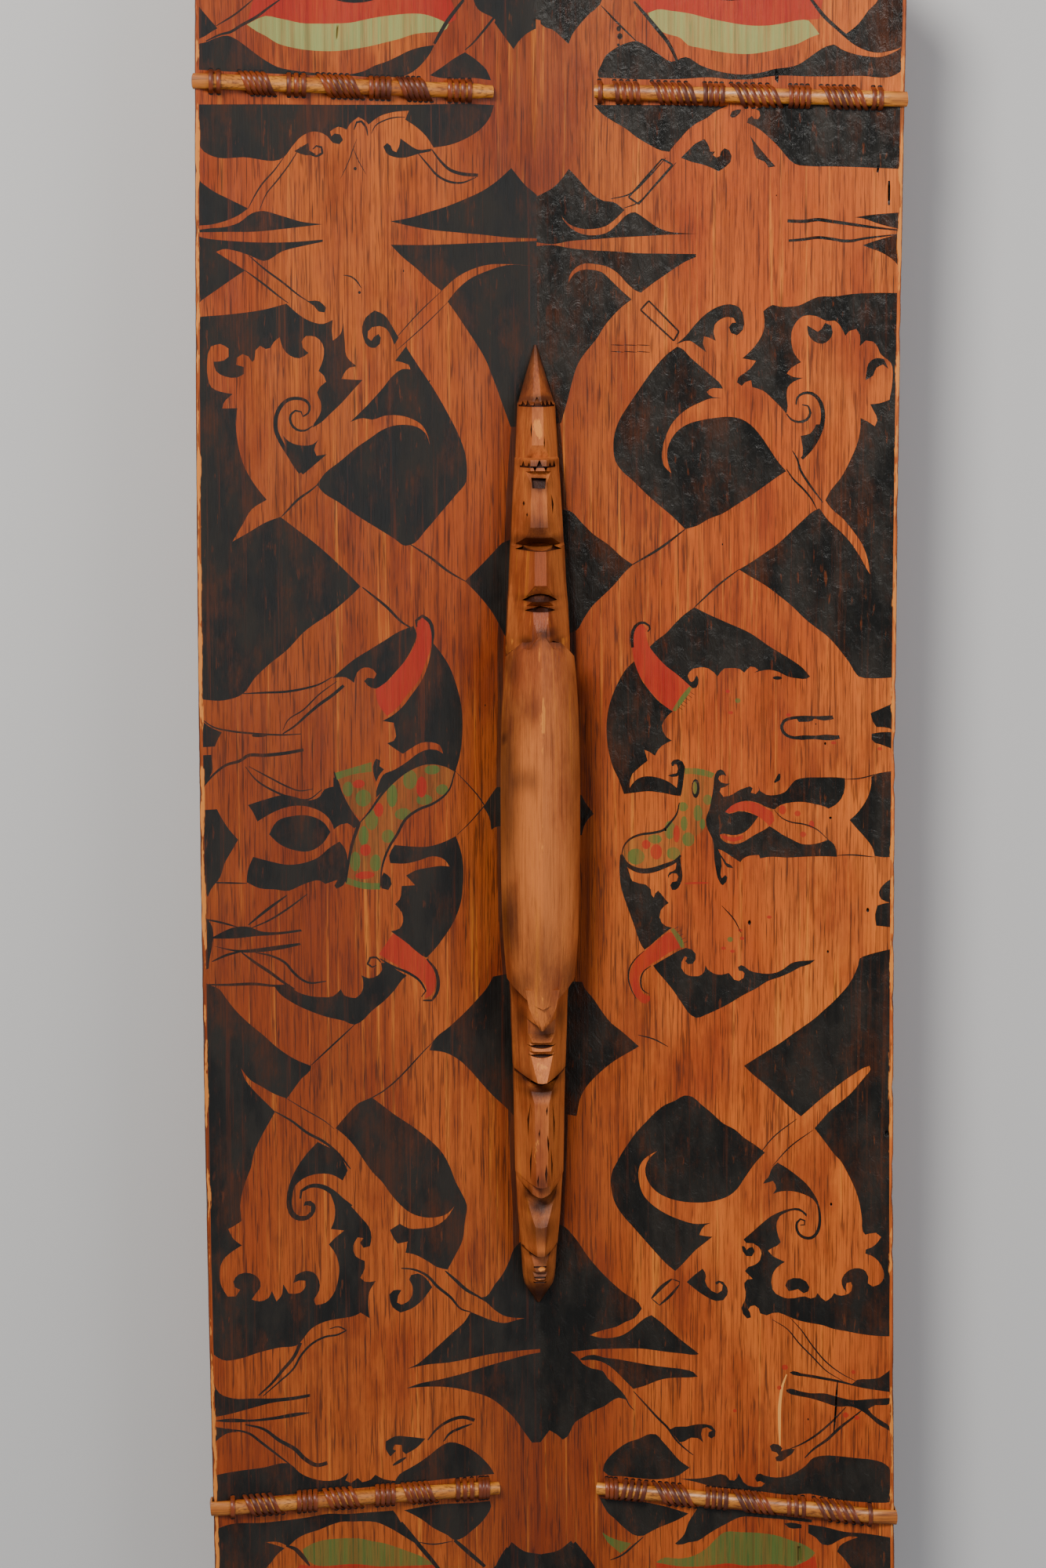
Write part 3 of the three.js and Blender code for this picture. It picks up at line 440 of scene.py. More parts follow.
def middle_left_lower_jaw():
    stroke(1.6, (-141.3, -40), (-152.5, -47.5), (-162.5, -55))
    stroke(1.1, (-130, -40), (-140, -46.9), (-152.5, -53.8), (-161.3, -56.9))
    stroke(1.1, (-186.3, -50), (-177.5, -52.5), (-168.8, -55.6))
    ink((-187.5, -47.5), (-183.8, -51.3), (-184.4, -77.5), (-187.5, -78))
    ink((-183.8, -61), (-168.8, -55.6), (-161.3, -56.3), (-156.3, -58.8), (-146.3, -60),
        (-133.8, -59.4), (-133.1, -60.6), (-146.3, -61.5), (-158.8, -61.5), (-168.8, -61.9))
    ink((-182.5, -65), (-167.5, -68.5), (-158.8, -68.4), (-147.5, -67.6), (-134.4, -66.9),
        (-133.8, -68.1), (-146.3, -70), (-158.8, -70.5), (-166.3, -70))
    stroke(1.4, (-182.5, -73.8), (-173.8, -70.6), (-166.3, -69.4))
    stroke(1.7, (-166.3, -70), (-158.8, -76.3), (-151.3, -81.9), (-143.8, -88.1), (-137.5, -92.5))
    stroke(1.4, (-158.8, -70.6), (-150, -73.1), (-142.5, -77.5), (-137.5, -83.8), (-130, -89.4),
           (-120, -89.4))
    stroke(1.6, (-186.3, -86.3), (-175, -87.3), (-158.8, -88.1), (-148.8, -89.8), (-140, -90))
    ink((-148.8, -90), (-140, -90.3), (-137.5, -93.1), (-131.3, -96.3), (-122.5, -98.1),
        (-116.3, -98.1), (-111.9, -94.4), (-110, -98.1), (-103.8, -100), (-100.6, -97.5),
        (-99.4, -91.3), (-100.3, -87.5), (-96.3, -89.4), (-91.3, -88.1), (-88.8, -85),
        (-89.4, -81.3), (-86.3, -81.3), (-82.5, -84.4), (-75, -89.4), (-77.5, -91.3),
        (-81.3, -96.3), (-87.5, -102.5), (-95, -108.1), (-101.3, -113.8), (-104.4, -115),
        (-110, -112.5), (-120, -109.4), (-130, -105), (-138.8, -100), (-146.3, -93.8))
    stroke(1.3, (-89.5, -81), (-92, -78), (-95.5, -78), (-96.9, -81.3), (-94.4, -83.3),
           (-92, -82.5))
    fill("red", (-82.5, -65), (-77.5, -68.8), (-70, -75.6), (-63.8, -81.3), (-59.4, -88.8),
         (-58.8, -96.3), (-61.3, -101.3), (-65, -103.1), (-63.8, -97.5), (-67.5, -91.9),
         (-75, -86.9), (-82.5, -81.9), (-90.6, -76.3))
    stroke(1.4, (-90, -78.8), (-82.5, -83.8), (-73.8, -88.1), (-67.5, -93.1), (-64.4, -98.8),
           (-66.9, -101.9))
    stroke(1.9, (-63.8, -80.6), (-58.8, -87.5), (-57.3, -93.8), (-58.1, -100), (-61, -104.3),
           (-66, -104))
    ink((-186.9, -85.6), (-178.8, -89.4), (-175, -95), (-170, -101.9), (-162.5, -110),
        (-155, -116.9), (-147.5, -124.4), (-137.5, -131.9), (-128.8, -136.3), (-129.4, -138.8),
        (-133.8, -142.5), (-138.8, -148.8), (-142.5, -153.5), (-148.8, -150.6), (-156.3, -145.6),
        (-162.5, -141.3), (-167.5, -134.4), (-165, -141.3), (-160, -148.1), (-153.8, -155),
        (-149, -160.3), (-152.5, -166.3), (-157.5, -175), (-161.3, -183.8), (-162.5, -190),
        (-165, -196.3), (-167.5, -203.8), (-168.8, -211.3), (-168.1, -220), (-173.1, -222.8),
        (-175.6, -223.8), (-172.5, -230), (-168.1, -233.8), (-173.8, -236.9), (-178.8, -241.3),
        (-180.6, -247.5), (-179.4, -256.3), (-176.3, -261.9), (-187, -262.5))
    stroke(1, (-129, -136), (-104.5, -115))
    stroke(0.9, (-60, -127.5), (-95, -156.9), (-102.5, -159.4))
    stroke(0.6, (-142.5, -153.5), (-132.5, -160.6), (-120, -169.4), (-116.3, -173))
    stroke(1.5, (-149, -160.3), (-140, -166.3), (-131.3, -173.8), (-122.5, -179.4),
           (-113.8, -187.5), (-107.5, -196.3))
    ink((-15, -92), (-21.9, -92.5), (-26.3, -93.1), (-29.4, -98.8), (-35, -105), (-42.5, -112.5),
        (-51.3, -120), (-60, -126.9), (-62.5, -132.5), (-53.8, -134.4), (-46.3, -138.8),
        (-40, -145), (-33.8, -152.5), (-26.3, -161.3), (-20, -167.5), (-14, -174), (-12, -140))


def lower_left_body():
    ink((-95, -156.9), (-91.3, -160), (-82.5, -167.5), (-72.5, -175), (-63.8, -182.5),
        (-55, -192.5), (-51.3, -200), (-48.1, -208.8), (-45, -215), (-41.9, -222.5),
        (-43.1, -232.5), (-44.4, -242.5), (-48.8, -251.3), (-53.1, -258.8), (-58.8, -256.9),
        (-65, -252.5), (-72.5, -248.1), (-76.9, -246.9), (-75.6, -240.6), (-81.3, -241.3),
        (-83.1, -238.8), (-85.6, -233.1), (-80, -230), (-75, -233.1), (-67.5, -233.8),
        (-60, -233.1), (-53.8, -229.4), (-48.8, -222.5), (-52.5, -226.3), (-58.8, -228.1),
        (-66.3, -227.5), (-73.8, -224.4), (-80, -218.8), (-85, -212.5), (-90, -205),
        (-95, -199.4), (-100, -191.9), (-105, -183.8), (-111.3, -176.3), (-115.6, -172.5),
        (-110, -166.3), (-102.5, -159.4))
    ink((-125.6, -179.4), (-131.3, -185), (-136.3, -191.3), (-141.3, -201.3), (-143.1, -208.8),
        (-143.1, -215), (-140.6, -220.6), (-136.3, -223.1), (-131.3, -222.8), (-127.5, -218.8),
        (-127.5, -214.4), (-130, -212.3), (-133.1, -212.5), (-133.8, -215), (-132, -214.6),
        (-129.8, -215.5), (-130, -218.6), (-132.5, -220.6), (-136, -220.4), (-139.2, -217.5),
        (-140.3, -213), (-140, -208.8), (-138.8, -203.8), (-133.8, -199.4), (-125, -197.5),
        (-117.5, -198.8), (-111.9, -202.5), (-109, -197), (-113.8, -187.5))
    stroke(3, (-135.6, -210.6), (-135, -206.3), (-130, -204), (-123.8, -204.8), (-117.5, -208.8),
           (-112.5, -213.8), (-107.5, -218.1), middle=0.85)
    ink((-120, -206.3), (-112.5, -211.9), (-106.3, -218.8), (-101.3, -225), (-97.5, -230),
        (-96, -236.3), (-96.9, -241.3), (-100.6, -241.9), (-102.5, -238.8), (-100.6, -236.3),
        (-103.8, -235.6), (-106.3, -240), (-105, -246.3), (-100, -249.4), (-100, -253.8),
        (-102.5, -258.8), (-100, -261.3), (-93.8, -261.5), (-97.5, -267.5), (-98.1, -272.5),
        (-97.5, -282.5), (-102.5, -278.8), (-105, -280), (-113.8, -281), (-122.5, -281.9),
        (-130, -285), (-135, -290.6), (-136.9, -292.8), (-148.8, -294), (-160, -295.6),
        (-170, -297.8), (-179.4, -297.5), (-184.4, -293.8), (-187, -262), (-176.3, -261.9),
        (-171.9, -262.3), (-169.4, -258.8), (-172.5, -256.9), (-173.1, -253.8), (-170, -250),
        (-163.8, -250), (-159.4, -253.1), (-158.1, -258.1), (-160.6, -261.5), (-163.1, -265),
        (-158.8, -266.5), (-153.8, -265), (-151.9, -261.3), (-149.4, -267.5), (-146.9, -265),
        (-145.6, -258.1), (-142.5, -263.8), (-136.3, -264), (-133.1, -260.6), (-133.1, -257.5),
        (-137, -257), (-140, -258.1), (-138.8, -253.8), (-133.8, -251.9), (-128.8, -253.1),
        (-125.6, -258.1), (-125.6, -263.8), (-128.8, -268.8), (-127.5, -271.9), (-122.5, -271.3),
        (-117.5, -266.3), (-115, -258.8), (-114.4, -251.3), (-116.3, -243.8), (-120, -238.1),
        (-117.5, -235.6), (-111.3, -231), (-118.8, -229.4), (-116.9, -225), (-116.3, -218.8))


def lower_left_creature():
    stroke(2, (-136.3, -292.5), (-140, -300), (-146.3, -306.9), (-152.5, -313.8), (-160, -320),
           middle=0.2)
    stroke(1.3, (-120, -286.3), (-115, -285.6), (-110.6, -288.1), (-115, -290), (-122.5, -290.6),
           (-130, -293.8), (-136.3, -300), (-140, -306.3), (-148.8, -313.8), (-157.5, -320.6))
    ink((-185, -310), (-181.3, -316.3), (-173.8, -320), (-162.5, -321.3), (-152.5, -322.5),
        (-140, -322.8), (-131.3, -322.3), (-131.3, -324), (-140, -324.8), (-152.5, -325),
        (-165, -326.9), (-177.5, -328.8), (-186, -329.4))
    ink((-186, -331.3), (-175, -331.3), (-165, -333.1), (-152.5, -333.1), (-136.3, -332.3),
        (-130.6, -333.1), (-136.3, -334), (-152.5, -334.8), (-165, -334.4), (-177.5, -333.1))
    ink((-186, -334.4), (-177.5, -336.9), (-171.3, -339.4), (-177.5, -339.4), (-181.3, -341.3),
        (-186, -345))
    stroke(1.4, (-177.5, -336.9), (-165, -341.3), (-158.8, -346.9), (-151.3, -353.8),
           (-142.5, -361.9))
    stroke(2.3, (-167.5, -335.6), (-157.5, -339.4), (-148.8, -346.9), (-140, -353.1),
           (-133.8, -360), (-127.5, -363.8), (-121.9, -363.1), middle=0.8)
    ink((-185, -362.5), (-177.5, -361.9), (-158.8, -361.5), (-142.5, -361.5), (-137.5, -366.9),
        (-130, -371.3), (-121.3, -373.5), (-115, -373.1), (-110, -370), (-111.9, -374.4),
        (-108.8, -376.3), (-105, -373.8), (-102.5, -376.5), (-97.5, -375.6), (-95, -373.1),
        (-90, -376.3), (-83.8, -377.9), (-81.3, -374.4), (-76.3, -371.9), (-70, -368.8),
        (-63.8, -365), (-57.5, -360.6), (-52.5, -358.8), (-46.3, -360.6), (-40, -364.4),
        (-33.8, -370), (-28.8, -376.3), (-26.9, -380), (-90, -380), (-140, -378.8),
        (-185, -377.5))
    ink((-89, -358.8), (-88.8, -354.4), (-83.8, -352.1), (-76.3, -353.1), (-66.3, -355.3),
        (-71.3, -360), (-77.5, -363.1), (-79.4, -361.3), (-80, -357.5), (-83.8, -356.9),
        (-85, -359.4), (-83, -360.5), (-86.3, -363.5))
    stroke(2, (-65, -356.3), (-60, -350.6), (-52.5, -346.3), (-45, -345), (-38.1, -347.5),
           middle=0.8)
    stroke(1.6, (-56, -358), (-52.5, -353.8), (-46.3, -351.3), (-39.4, -349.4))
    stroke(2, (-85, -368.8), (-77.5, -365))
    ink((-76.3, -313.8), (-70, -311.3), (-65, -307.5), (-57.5, -301.3), (-50, -295),
        (-43.8, -290), (-40, -284.4), (-35, -286.9), (-28.8, -290), (-21.3, -292.5),
        (-11.3, -291), (0, -290), (0, -309.5), (-15, -309.4), (-27.5, -309.8), (-40, -311.3),
        (-52.5, -312.5), (-65, -312.5))
    ink((-76.9, -325), (-70, -323.1), (-58.8, -321.9), (-46.3, -320), (-33.8, -317.3),
        (-21.3, -314.8), (-5, -311.9), (0, -311.5), (0, -364), (-5, -363.8), (-10, -356.3),
        (-15, -348.8), (-21.3, -341.9), (-28.8, -335.6), (-40, -330.6), (-52.5, -326.9),
        (-65, -325.3))
    stroke(1.9, (-54.4, -259.4), (-48.8, -265), (-42.5, -271.3), (-33.8, -276.9))
    stroke(1.6, (-79.4, -255.6), (-72.5, -256.9), (-65, -261), (-58.8, -268.1), (-51.3, -275),
           (-45, -282.5), (-40, -284.4))
    ink((-8, -240), (-11.3, -246.3), (-15, -250), (-17.5, -256.3), (-21.3, -263.8),
        (-26.3, -270), (-31.3, -276.3), (-36.3, -276.3), (-31.3, -279.4), (-26.3, -284.4),
        (-21.3, -288.1), (-11.3, -290.5), (0, -291), (0, -240))
    ink((-86.3, -270), (-83.8, -267.8), (-79.4, -268.1), (-81.3, -271.3), (-81.9, -275),
        (-79.4, -276.5), (-75.6, -275), (-73.1, -271.3), (-73.1, -266.3), (-75, -262.5),
        (-73.8, -260), (-70, -259.4), (-65, -263.1), (-61.9, -268.1), (-67.5, -275),
        (-73.8, -279.4), (-80, -281), (-84.4, -277.5), (-86, -272.5))


def upper_right_creature():
    ink((31, 389.4), (35, 385), (41.2, 380.6), (47.5, 376.9), (53.8, 371.9), (60, 368.1),
        (67.5, 364.4), (71.3, 363.8), (73.1, 366.3), (77.5, 371.3), (81.3, 375.6), (86.3, 379.4),
        (91.3, 381.9), (94.4, 384.4), (98.8, 386.9), (102.5, 388.4), (83.8, 388.8))
    ink((103.4, 382.8), (104.4, 381.9), (106.3, 382.1), (108.8, 384.4), (109.4, 386.3),
        (106.9, 386.3), (104.4, 385.3))
    ink((120, 387.5), (192.5, 387.5), (192.5, 353.8), (180, 354.4), (167.5, 355), (155, 355.4),
        (145, 355.6), (137.5, 356.9), (135, 358.8), (131.9, 362.5), (128.8, 366.3),
        (123.8, 371.3), (118.8, 375.6), (113.8, 378.5), (112.5, 379), (112.8, 381.3),
        (115, 382.8), (116, 381.3), (118.1, 381), (119.3, 382.8), (118.8, 385.3), (116.9, 386.5))
    ink((77.5, 360.6), (81.3, 364.4), (85, 368.1), (90, 370.6), (91.3, 368.8), (92.5, 366.3),
        (93.1, 363.8), (95.6, 363.8), (94.4, 361.9), (96.3, 360.6), (98.1, 361.3), (98.8, 363.8),
        (100.6, 365.6), (103.1, 364.4), (104.4, 361.3), (103.8, 358.1), (101.3, 355.6),
        (97.5, 353.1), (93.8, 355), (88.8, 356.9), (83.8, 358.1))
    ink((113.8, 372.5), (117.5, 367.5), (122.5, 361.3), (127.5, 355.6), (123.8, 355),
        (121.9, 358.1), (117.5, 360), (116.3, 362.5), (115.6, 367.5))
    for corners in (((67.5, 360), (73.1, 356.9), (55, 335.6), (49.6, 339.4)),
                    ((60.4, 283.1), (76.6, 266.3), (73.8, 261.3), (56, 278.1))):
        for start, end in zip(corners, corners[1:] + corners[:1]):
            stroke(1.1, start, end, tip=0.8)
    ink((17.5, 355), (23.8, 348.1), (30, 341.3), (36.3, 337.5), (41.3, 336.9), (47.5, 332.5),
        (42.5, 327.5), (37.5, 323.8), (31.3, 322.3), (23.8, 322.5), (17.5, 325), (12.5, 331.3),
        (11.3, 335.6), (14.4, 327.5), (18.8, 322.5), (25, 319.4), (31.3, 318.8), (37.5, 320),
        (43.8, 325), (48.8, 330), (53.1, 331.3), (54.4, 330.6), (58.8, 327.5), (63.8, 323.8),
        (70, 321), (80, 319.8), (86.9, 319.5), (67.5, 318.8), (55, 318.1), (42.5, 317.5),
        (30, 316.5), (17.5, 315.6), (8.8, 314), (0, 315), (0, 340), (5, 342.5), (7.5, 343.8),
        (12.5, 348.1))
    stroke(1, (40, 338.5), (50, 341), (60, 350), (69.5, 360.5))
    stroke(1, (47, 333.5), (54, 336), (64, 346), (75, 358))
    ink((8.8, 313.5), (17.5, 311.9), (30, 310.6), (42.5, 310), (55, 309), (67.5, 308.8),
        (85.6, 308.5), (85.6, 306.9), (80, 304.4), (75, 301.3), (68.8, 296.9), (62.5, 292.5),
        (56.3, 287.5), (54.4, 288.1), (48.8, 292.5), (43.8, 298.1), (37.5, 301.9),
        (31.3, 303.1), (26.3, 303.5), (21.3, 301.3), (17.5, 296.3), (16.9, 292.5),
        (20, 297.5), (23.8, 299.8), (30, 300), (35, 298.8), (40, 294.4), (45, 289.4),
        (51.3, 283.8), (46.3, 280), (41.3, 275), (36.3, 268.8), (32.5, 262.5), (27.5, 256.3),
        (23.8, 251.3), (21.3, 246.3), (19.4, 240), (18.1, 235), (16.9, 230), (13, 216),
        (0, 214), (0, 313))
    ink((75, 259.4), (80, 263.8), (85, 270), (91.3, 276.3), (97.5, 280), (103.8, 281.3),
        (108.8, 279.4), (111, 273.8), (110.6, 267.5), (107.5, 264.4), (104.4, 265.6),
        (103.1, 268.8), (105, 271.3), (106.9, 271.3), (105.6, 273.8), (102.5, 274.4),
        (98.8, 273.1), (95.6, 270), (95, 266.3), (96.3, 261.3), (92.5, 263.1), (90, 263.8),
        (89.4, 260), (91.3, 255), (86.3, 258.8), (82.5, 261.3))
    stroke(1.9, (133.8, 326.3), (142.5, 326), (150, 326.9), (156.3, 326), (180, 322.5),
           (192.5, 321), middle=0.25)
    ink((168.8, 328.1), (177.5, 329.4), (192.5, 330.6), (192.5, 321.9), (186.3, 323.1),
        (180, 325), (173.8, 327.3))
    stroke(1.6, (134.4, 315.6), (142.5, 316.3), (150, 317.3), (156.3, 316.6), (165, 315.4),
           (175, 316.9), (192.5, 319), middle=0.3)
    spot("black", 165, 315.4, 5, 0.9)
    ink((173.1, 313.1), (180, 315.6), (186.3, 317.5), (191.9, 318.8), (191.9, 302.5),
        (187.5, 306.3), (182.5, 309.4), (177.5, 311.3))
    stroke(1.2, (181, 356), (180.5, 352), paint="hole", tip=0.8)
    stroke(1.3, (186.5, 347.5), (186.5, 334.5), paint="hole", tip=0.8)


def upper_right_body():
    ink((121.3, 277.5), (126.3, 281), (130, 280), (135, 280), (140, 280.6), (145, 283.1),
        (150, 285.3), (158.8, 285.6), (167.5, 286.9), (177.5, 287.5), (192.5, 287.5),
        (192.5, 79), (178.8, 78.1), (172.5, 78.8), (170, 81.9), (167.5, 86.3), (163.8, 91.3),
        (158.8, 97.5), (155, 101.3), (150, 105), (143.8, 110), (137.5, 116.3), (130, 122.5),
        (122.5, 128.1), (115, 132.5), (108.8, 136.3), (113.8, 139.4), (122.5, 145.6),
        (130, 151.3), (136.3, 157.5), (142.5, 163.8), (148.8, 169.4), (151.3, 170.6),
        (156.3, 163.8), (162.5, 158.1), (167.5, 152.5), (172.5, 145), (176.9, 136.9),
        (178.1, 135), (176.9, 142.5), (173.8, 151.3), (168.8, 158.8), (163.8, 165),
        (157.5, 170.6), (154.4, 175), (156.9, 180), (162.5, 187.5), (167.5, 197.5),
        (171.3, 207.5), (172.5, 215), (172.5, 220), (176.3, 218.1), (180, 215.6),
        (181.3, 218.8), (179.4, 223.8), (177.5, 227.5), (182.5, 228.1), (187.5, 230),
        (189, 240), (188, 250), (182.5, 255), (181.3, 258.1), (178.8, 261.3), (175, 261.9),
        (171.9, 258.8), (171.9, 265), (170, 268.1), (166.3, 266.9), (164.4, 264.4),
        (161.9, 269.4), (158.8, 272.5), (155, 272.3), (148.8, 275), (142.5, 275),
        (138.8, 271.9), (136.3, 266.3), (136.3, 260), (137.5, 255), (141.3, 250),
        (136.3, 246.9), (133.8, 243.8), (137.5, 241.9), (142.5, 241.5), (137.5, 239.4),
        (134.4, 236.3), (133.8, 231.3), (134.4, 226.3), (133.8, 221.9), (130.6, 225.6),
        (126.3, 230), (121.3, 234.4), (115.6, 236.3), (115, 240), (112, 239), (110, 236.9),
        (107.5, 238.8), (108.1, 241.3), (111.3, 243.8), (115, 246.9), (117.5, 250.6),
        (113.8, 251.3), (110.3, 251.9), (115, 256.3), (118.8, 261.3), (121.3, 266.3),
        (121.9, 272.5))
    ink((144.4, 270), (145, 265), (148.1, 261.3), (152.5, 260), (156.3, 262.5), (157.8, 266.3),
        (156.9, 270), (153.8, 271.3), (152, 268), (150, 266.5), (147.5, 268))
    ink((175, 240.5), (179, 243), (180.5, 247), (184, 249), (187, 246.5), (184.5, 252),
        (180.5, 252.5), (176.5, 249.5), (175.5, 245))
    stroke(1.5, (133.8, 221.9), (136.3, 218.8), (140, 217.5), (144.4, 218.8), (146.3, 222.5),
           (145, 226.3), (141.9, 226.9))
    stroke(2.3, (138.8, 226.9), (139.4, 230.6), (142.5, 233.1), (146.9, 233.1), (150.6, 230),
           (152.8, 223.8), (152.5, 216.3), (150, 208.8), (146.3, 202.5), (141.9, 197.5),
           middle=0.6)
    ink((142.5, 202.5), (141.9, 206.3), (141.3, 210), (146.3, 211.3), (149.4, 216.3),
        (152.5, 216.3), (150, 208.8), (146.3, 202.5), (141.9, 197.5))
    stroke(1.3, (136.9, 201.9), (139.4, 197.5), (141.3, 191.3), (145, 185), (149.4, 178.8),
           (153.1, 173.8))
    stroke(1.1, (133.8, 191.9), (137.5, 186.3), (142.5, 181.3), (147.5, 175), (150, 170))
    ink((75.6, 258.1), (70, 253.8), (63.8, 246.9), (58.8, 240), (53.8, 232.5), (48.8, 225),
        (44.4, 217.5), (41.9, 210), (41.3, 202.5), (42.5, 195), (46.3, 189.4), (51.3, 185),
        (57.5, 178.8), (65, 171.9), (72.5, 165.6), (80, 158.1), (86.3, 160), (92.5, 163.8),
        (100, 166.9), (107.5, 171.9), (115, 176.9), (122.5, 182.5), (130, 188.1),
        (133.8, 190.6), (130, 195), (125, 202.5), (120, 210), (115, 215.6), (110, 218.8),
        (103.8, 220), (96.3, 219.4), (88.8, 218.1), (82.5, 216.3), (76.3, 212.5),
        (72.5, 207.5), (70.6, 202.5), (70.3, 197.5), (72.5, 188.8), (68.8, 192.5),
        (67.5, 197.5), (68.1, 203.8), (70, 210), (73.1, 216.3), (77.5, 221.3), (82.5, 225),
        (87.5, 227.5), (93.8, 230), (100, 230), (92.5, 232), (91.5, 233.5), (93, 235),
        (100, 235.3), (99.4, 236.9), (93.8, 242.5), (88.8, 246.9), (82.5, 252.5),
        (77.5, 257.5))
    ink((12, 168), (17.5, 167.5), (23.8, 161.3), (30, 155), (38.8, 148.8), (46.3, 141.9),
        (51.9, 138.1), (47.5, 133.8), (41.3, 126.3), (35, 120), (30, 115), (25, 107.5),
        (21.3, 101.3), (16.3, 99), (12, 103))
    stroke(1.4, (80, 158), (66, 147), (51.5, 138))
    stroke(1.1, (108.8, 136.3), (100, 129.4), (85, 115))


def middle_right_face():
    ink((85, 115), (92.5, 111.3), (102.5, 106.9), (115, 101.3), (125, 94.4), (136.3, 87.5),
        (142.5, 83.1), (146.9, 78.1), (145, 76.9), (140.6, 76.9), (135, 77.8), (130, 80.3),
        (125, 81.3), (120, 80.4), (116.9, 79.4), (119.4, 81), (117.5, 82.5), (115, 82.8),
        (113.1, 81), (111.9, 79.4), (109.4, 81.3), (105, 81.8), (101.3, 81.5), (99.4, 79.8),
        (97.5, 76.9), (95.6, 79.1), (92.5, 81.3), (88.1, 81.8), (84.4, 80.9), (82.3, 79),
        (81.5, 76.9), (82.3, 74.4), (83.5, 73.5), (84.8, 74.4), (85.6, 76.3), (86.5, 77.3),
        (87.3, 75), (87.1, 72.5), (86.3, 70.6), (84.4, 70), (81.3, 71.3), (77.5, 73.4),
        (73.8, 76.5), (70, 80.3), (66.3, 84.6), (62.5, 89), (60.3, 91.9), (63.8, 95.6),
        (70, 100.6), (73.8, 105), (80, 111.3))
    fill("red", (53.1, 103.1), (51.5, 98.8), (51.3, 93.8), (51.6, 89.4), (52.5, 85), (53.8, 80.6),
         (55.6, 76.3), (58.8, 71.3), (62.5, 66.3), (66.9, 61.9), (70.6, 58.8), (73.8, 56.9),
         (83.8, 70.3), (80, 73.8), (75, 78.1), (70, 81.9), (66.3, 85.6), (63.1, 89.4),
         (60.6, 93.1), (59.4, 96.9), (58.8, 100.6), (59.4, 102.5), (57.5, 104.8), (55, 105))
    ink((52.5, 84.4), (48.1, 80), (43.8, 72.5), (40.6, 65), (38.5, 57.5), (37.5, 50),
        (37.5, 42.5), (38.1, 36.3), (39.4, 30), (41.3, 23.8), (43.8, 18.8), (45.6, 13.8),
        (46.9, 10), (50.6, 10.6), (55, 11.3), (60, 11.9), (65, 11.6), (70, 10.9), (74.4, 10),
        (76.9, 9.8), (77.5, 12.5), (75, 14.8), (71.3, 17.5), (65, 19.8), (58.8, 20.3),
        (54.4, 18.8), (51.3, 15.6), (50, 13.5), (50.3, 18.1), (51.5, 21.5), (54, 24),
        (56.5, 26.3), (59.8, 29), (58.8, 32.5), (58.1, 35), (60.6, 34.1), (63.8, 31.9),
        (65.3, 35), (67.5, 37.5), (72.9, 40.6), (70, 42.5), (68.1, 45.6), (67.5, 48.8),
        (68.8, 51.9), (71, 54.8), (73.4, 56.9), (70.6, 58.8), (66.3, 61.9), (61.3, 67.5),
        (57.5, 72.5), (54.4, 78.8))
    stroke(1.8, (51.6, 92), (51.3, 97.5), (51.9, 101.3), (53.1, 103.8), (55, 105.5),
           (58.1, 105.9), (60.6, 104.4), (61, 102.5), (59.8, 101), middle=0.3)
    fill("green", (73.1, 57.5), (75, 56.9), (76.9, 59.4), (80, 63.8), (82.5, 67.5), (84, 70.3),
         (82.3, 71), (79.4, 67.5), (76.3, 63.1))
    dashes(0.7, 76.5, 59.5, 82.8, 68, 6, 2.2, -1.5)
    ink((72.5, 28.1), (73.8, 29.8), (76.3, 30.3), (78.8, 29), (80, 26.3), (80, 22.5),
        (79.4, 17.5), (78.8, 12.5), (77.5, 9.4), (75.6, 11.3), (76, 16.3), (76.5, 21.3),
        (75.6, 20.6), (73.1, 20.3), (70.6, 21), (73.1, 21.9), (75.6, 22.5), (76.3, 25),
        (75.6, 27.3), (74.4, 27.5), (73.8, 26.3), (72.8, 26.5))
    spot("green", 108.4, 63.8, 1.4)
    for x, y in ((103, 68.8), (104.6, 57), (135.4, 56.6), (159.4, 41.9), (183.8, 39.4),
                 (82.8, 17.5)):
        spot("red", x, y, 1.3, 0.9)
    stroke(1.7, (162.5, 45.4), (155, 45), (145, 44.1), (138, 44.1), (135, 45), (132.5, 47.5),
           (131.9, 50.6), (133.1, 53.1), (136.3, 54.6), (142.5, 55.5), (150, 55.6),
           (158.5, 55.8), tip=0.9)
    ink((139.5, 55), (143, 56.2), (149.5, 56), (148.5, 54), (144, 53), (141, 52.8))
    ink((150, 56.3), (158.8, 57), (159.5, 55), (154.5, 54), (150.5, 54.6))
    ink((137.5, 44.6), (143, 45.5), (150, 45.6), (155, 46.3), (162, 46), (163, 44.3),
        (158, 43.2), (148, 43.6), (140, 43.2))
    ink((178.8, 58.8), (183.8, 61.3), (188.8, 63.8), (191.8, 65), (191.8, 50), (186.3, 51.3),
        (181.9, 51.3), (180, 54.4))
    ink((179.4, 47.5), (183.8, 48.5), (191.8, 48.8), (191.8, 39), (187.5, 40.6), (183.8, 41.9),
        (181.3, 42.5), (179.4, 44.4))
    spot("black", 129.5, 76.9, 2.5, 1)
    stroke(2.3, (130.8, 23.8), (130, 20.8), (128.1, 18.8))
    stroke(0.7, (165.6, 21.9), (172.5, 22.5), (179.4, 24.4), (185, 26.3))
    stroke(0.8, (161.6, -20.6), (167.5, -20), (181.3, -20.6))
    ink((191.8, 27.5), (185, 26.3), (179.4, 23.8), (179.4, 20), (178.1, 13.8), (175, 7.5),
        (171.3, 2.5), (168.1, -0.6), (171.3, -4.4), (176.3, -10), (180, -15), (181.5, -20),
        (186.3, -20.6), (191.8, -20))


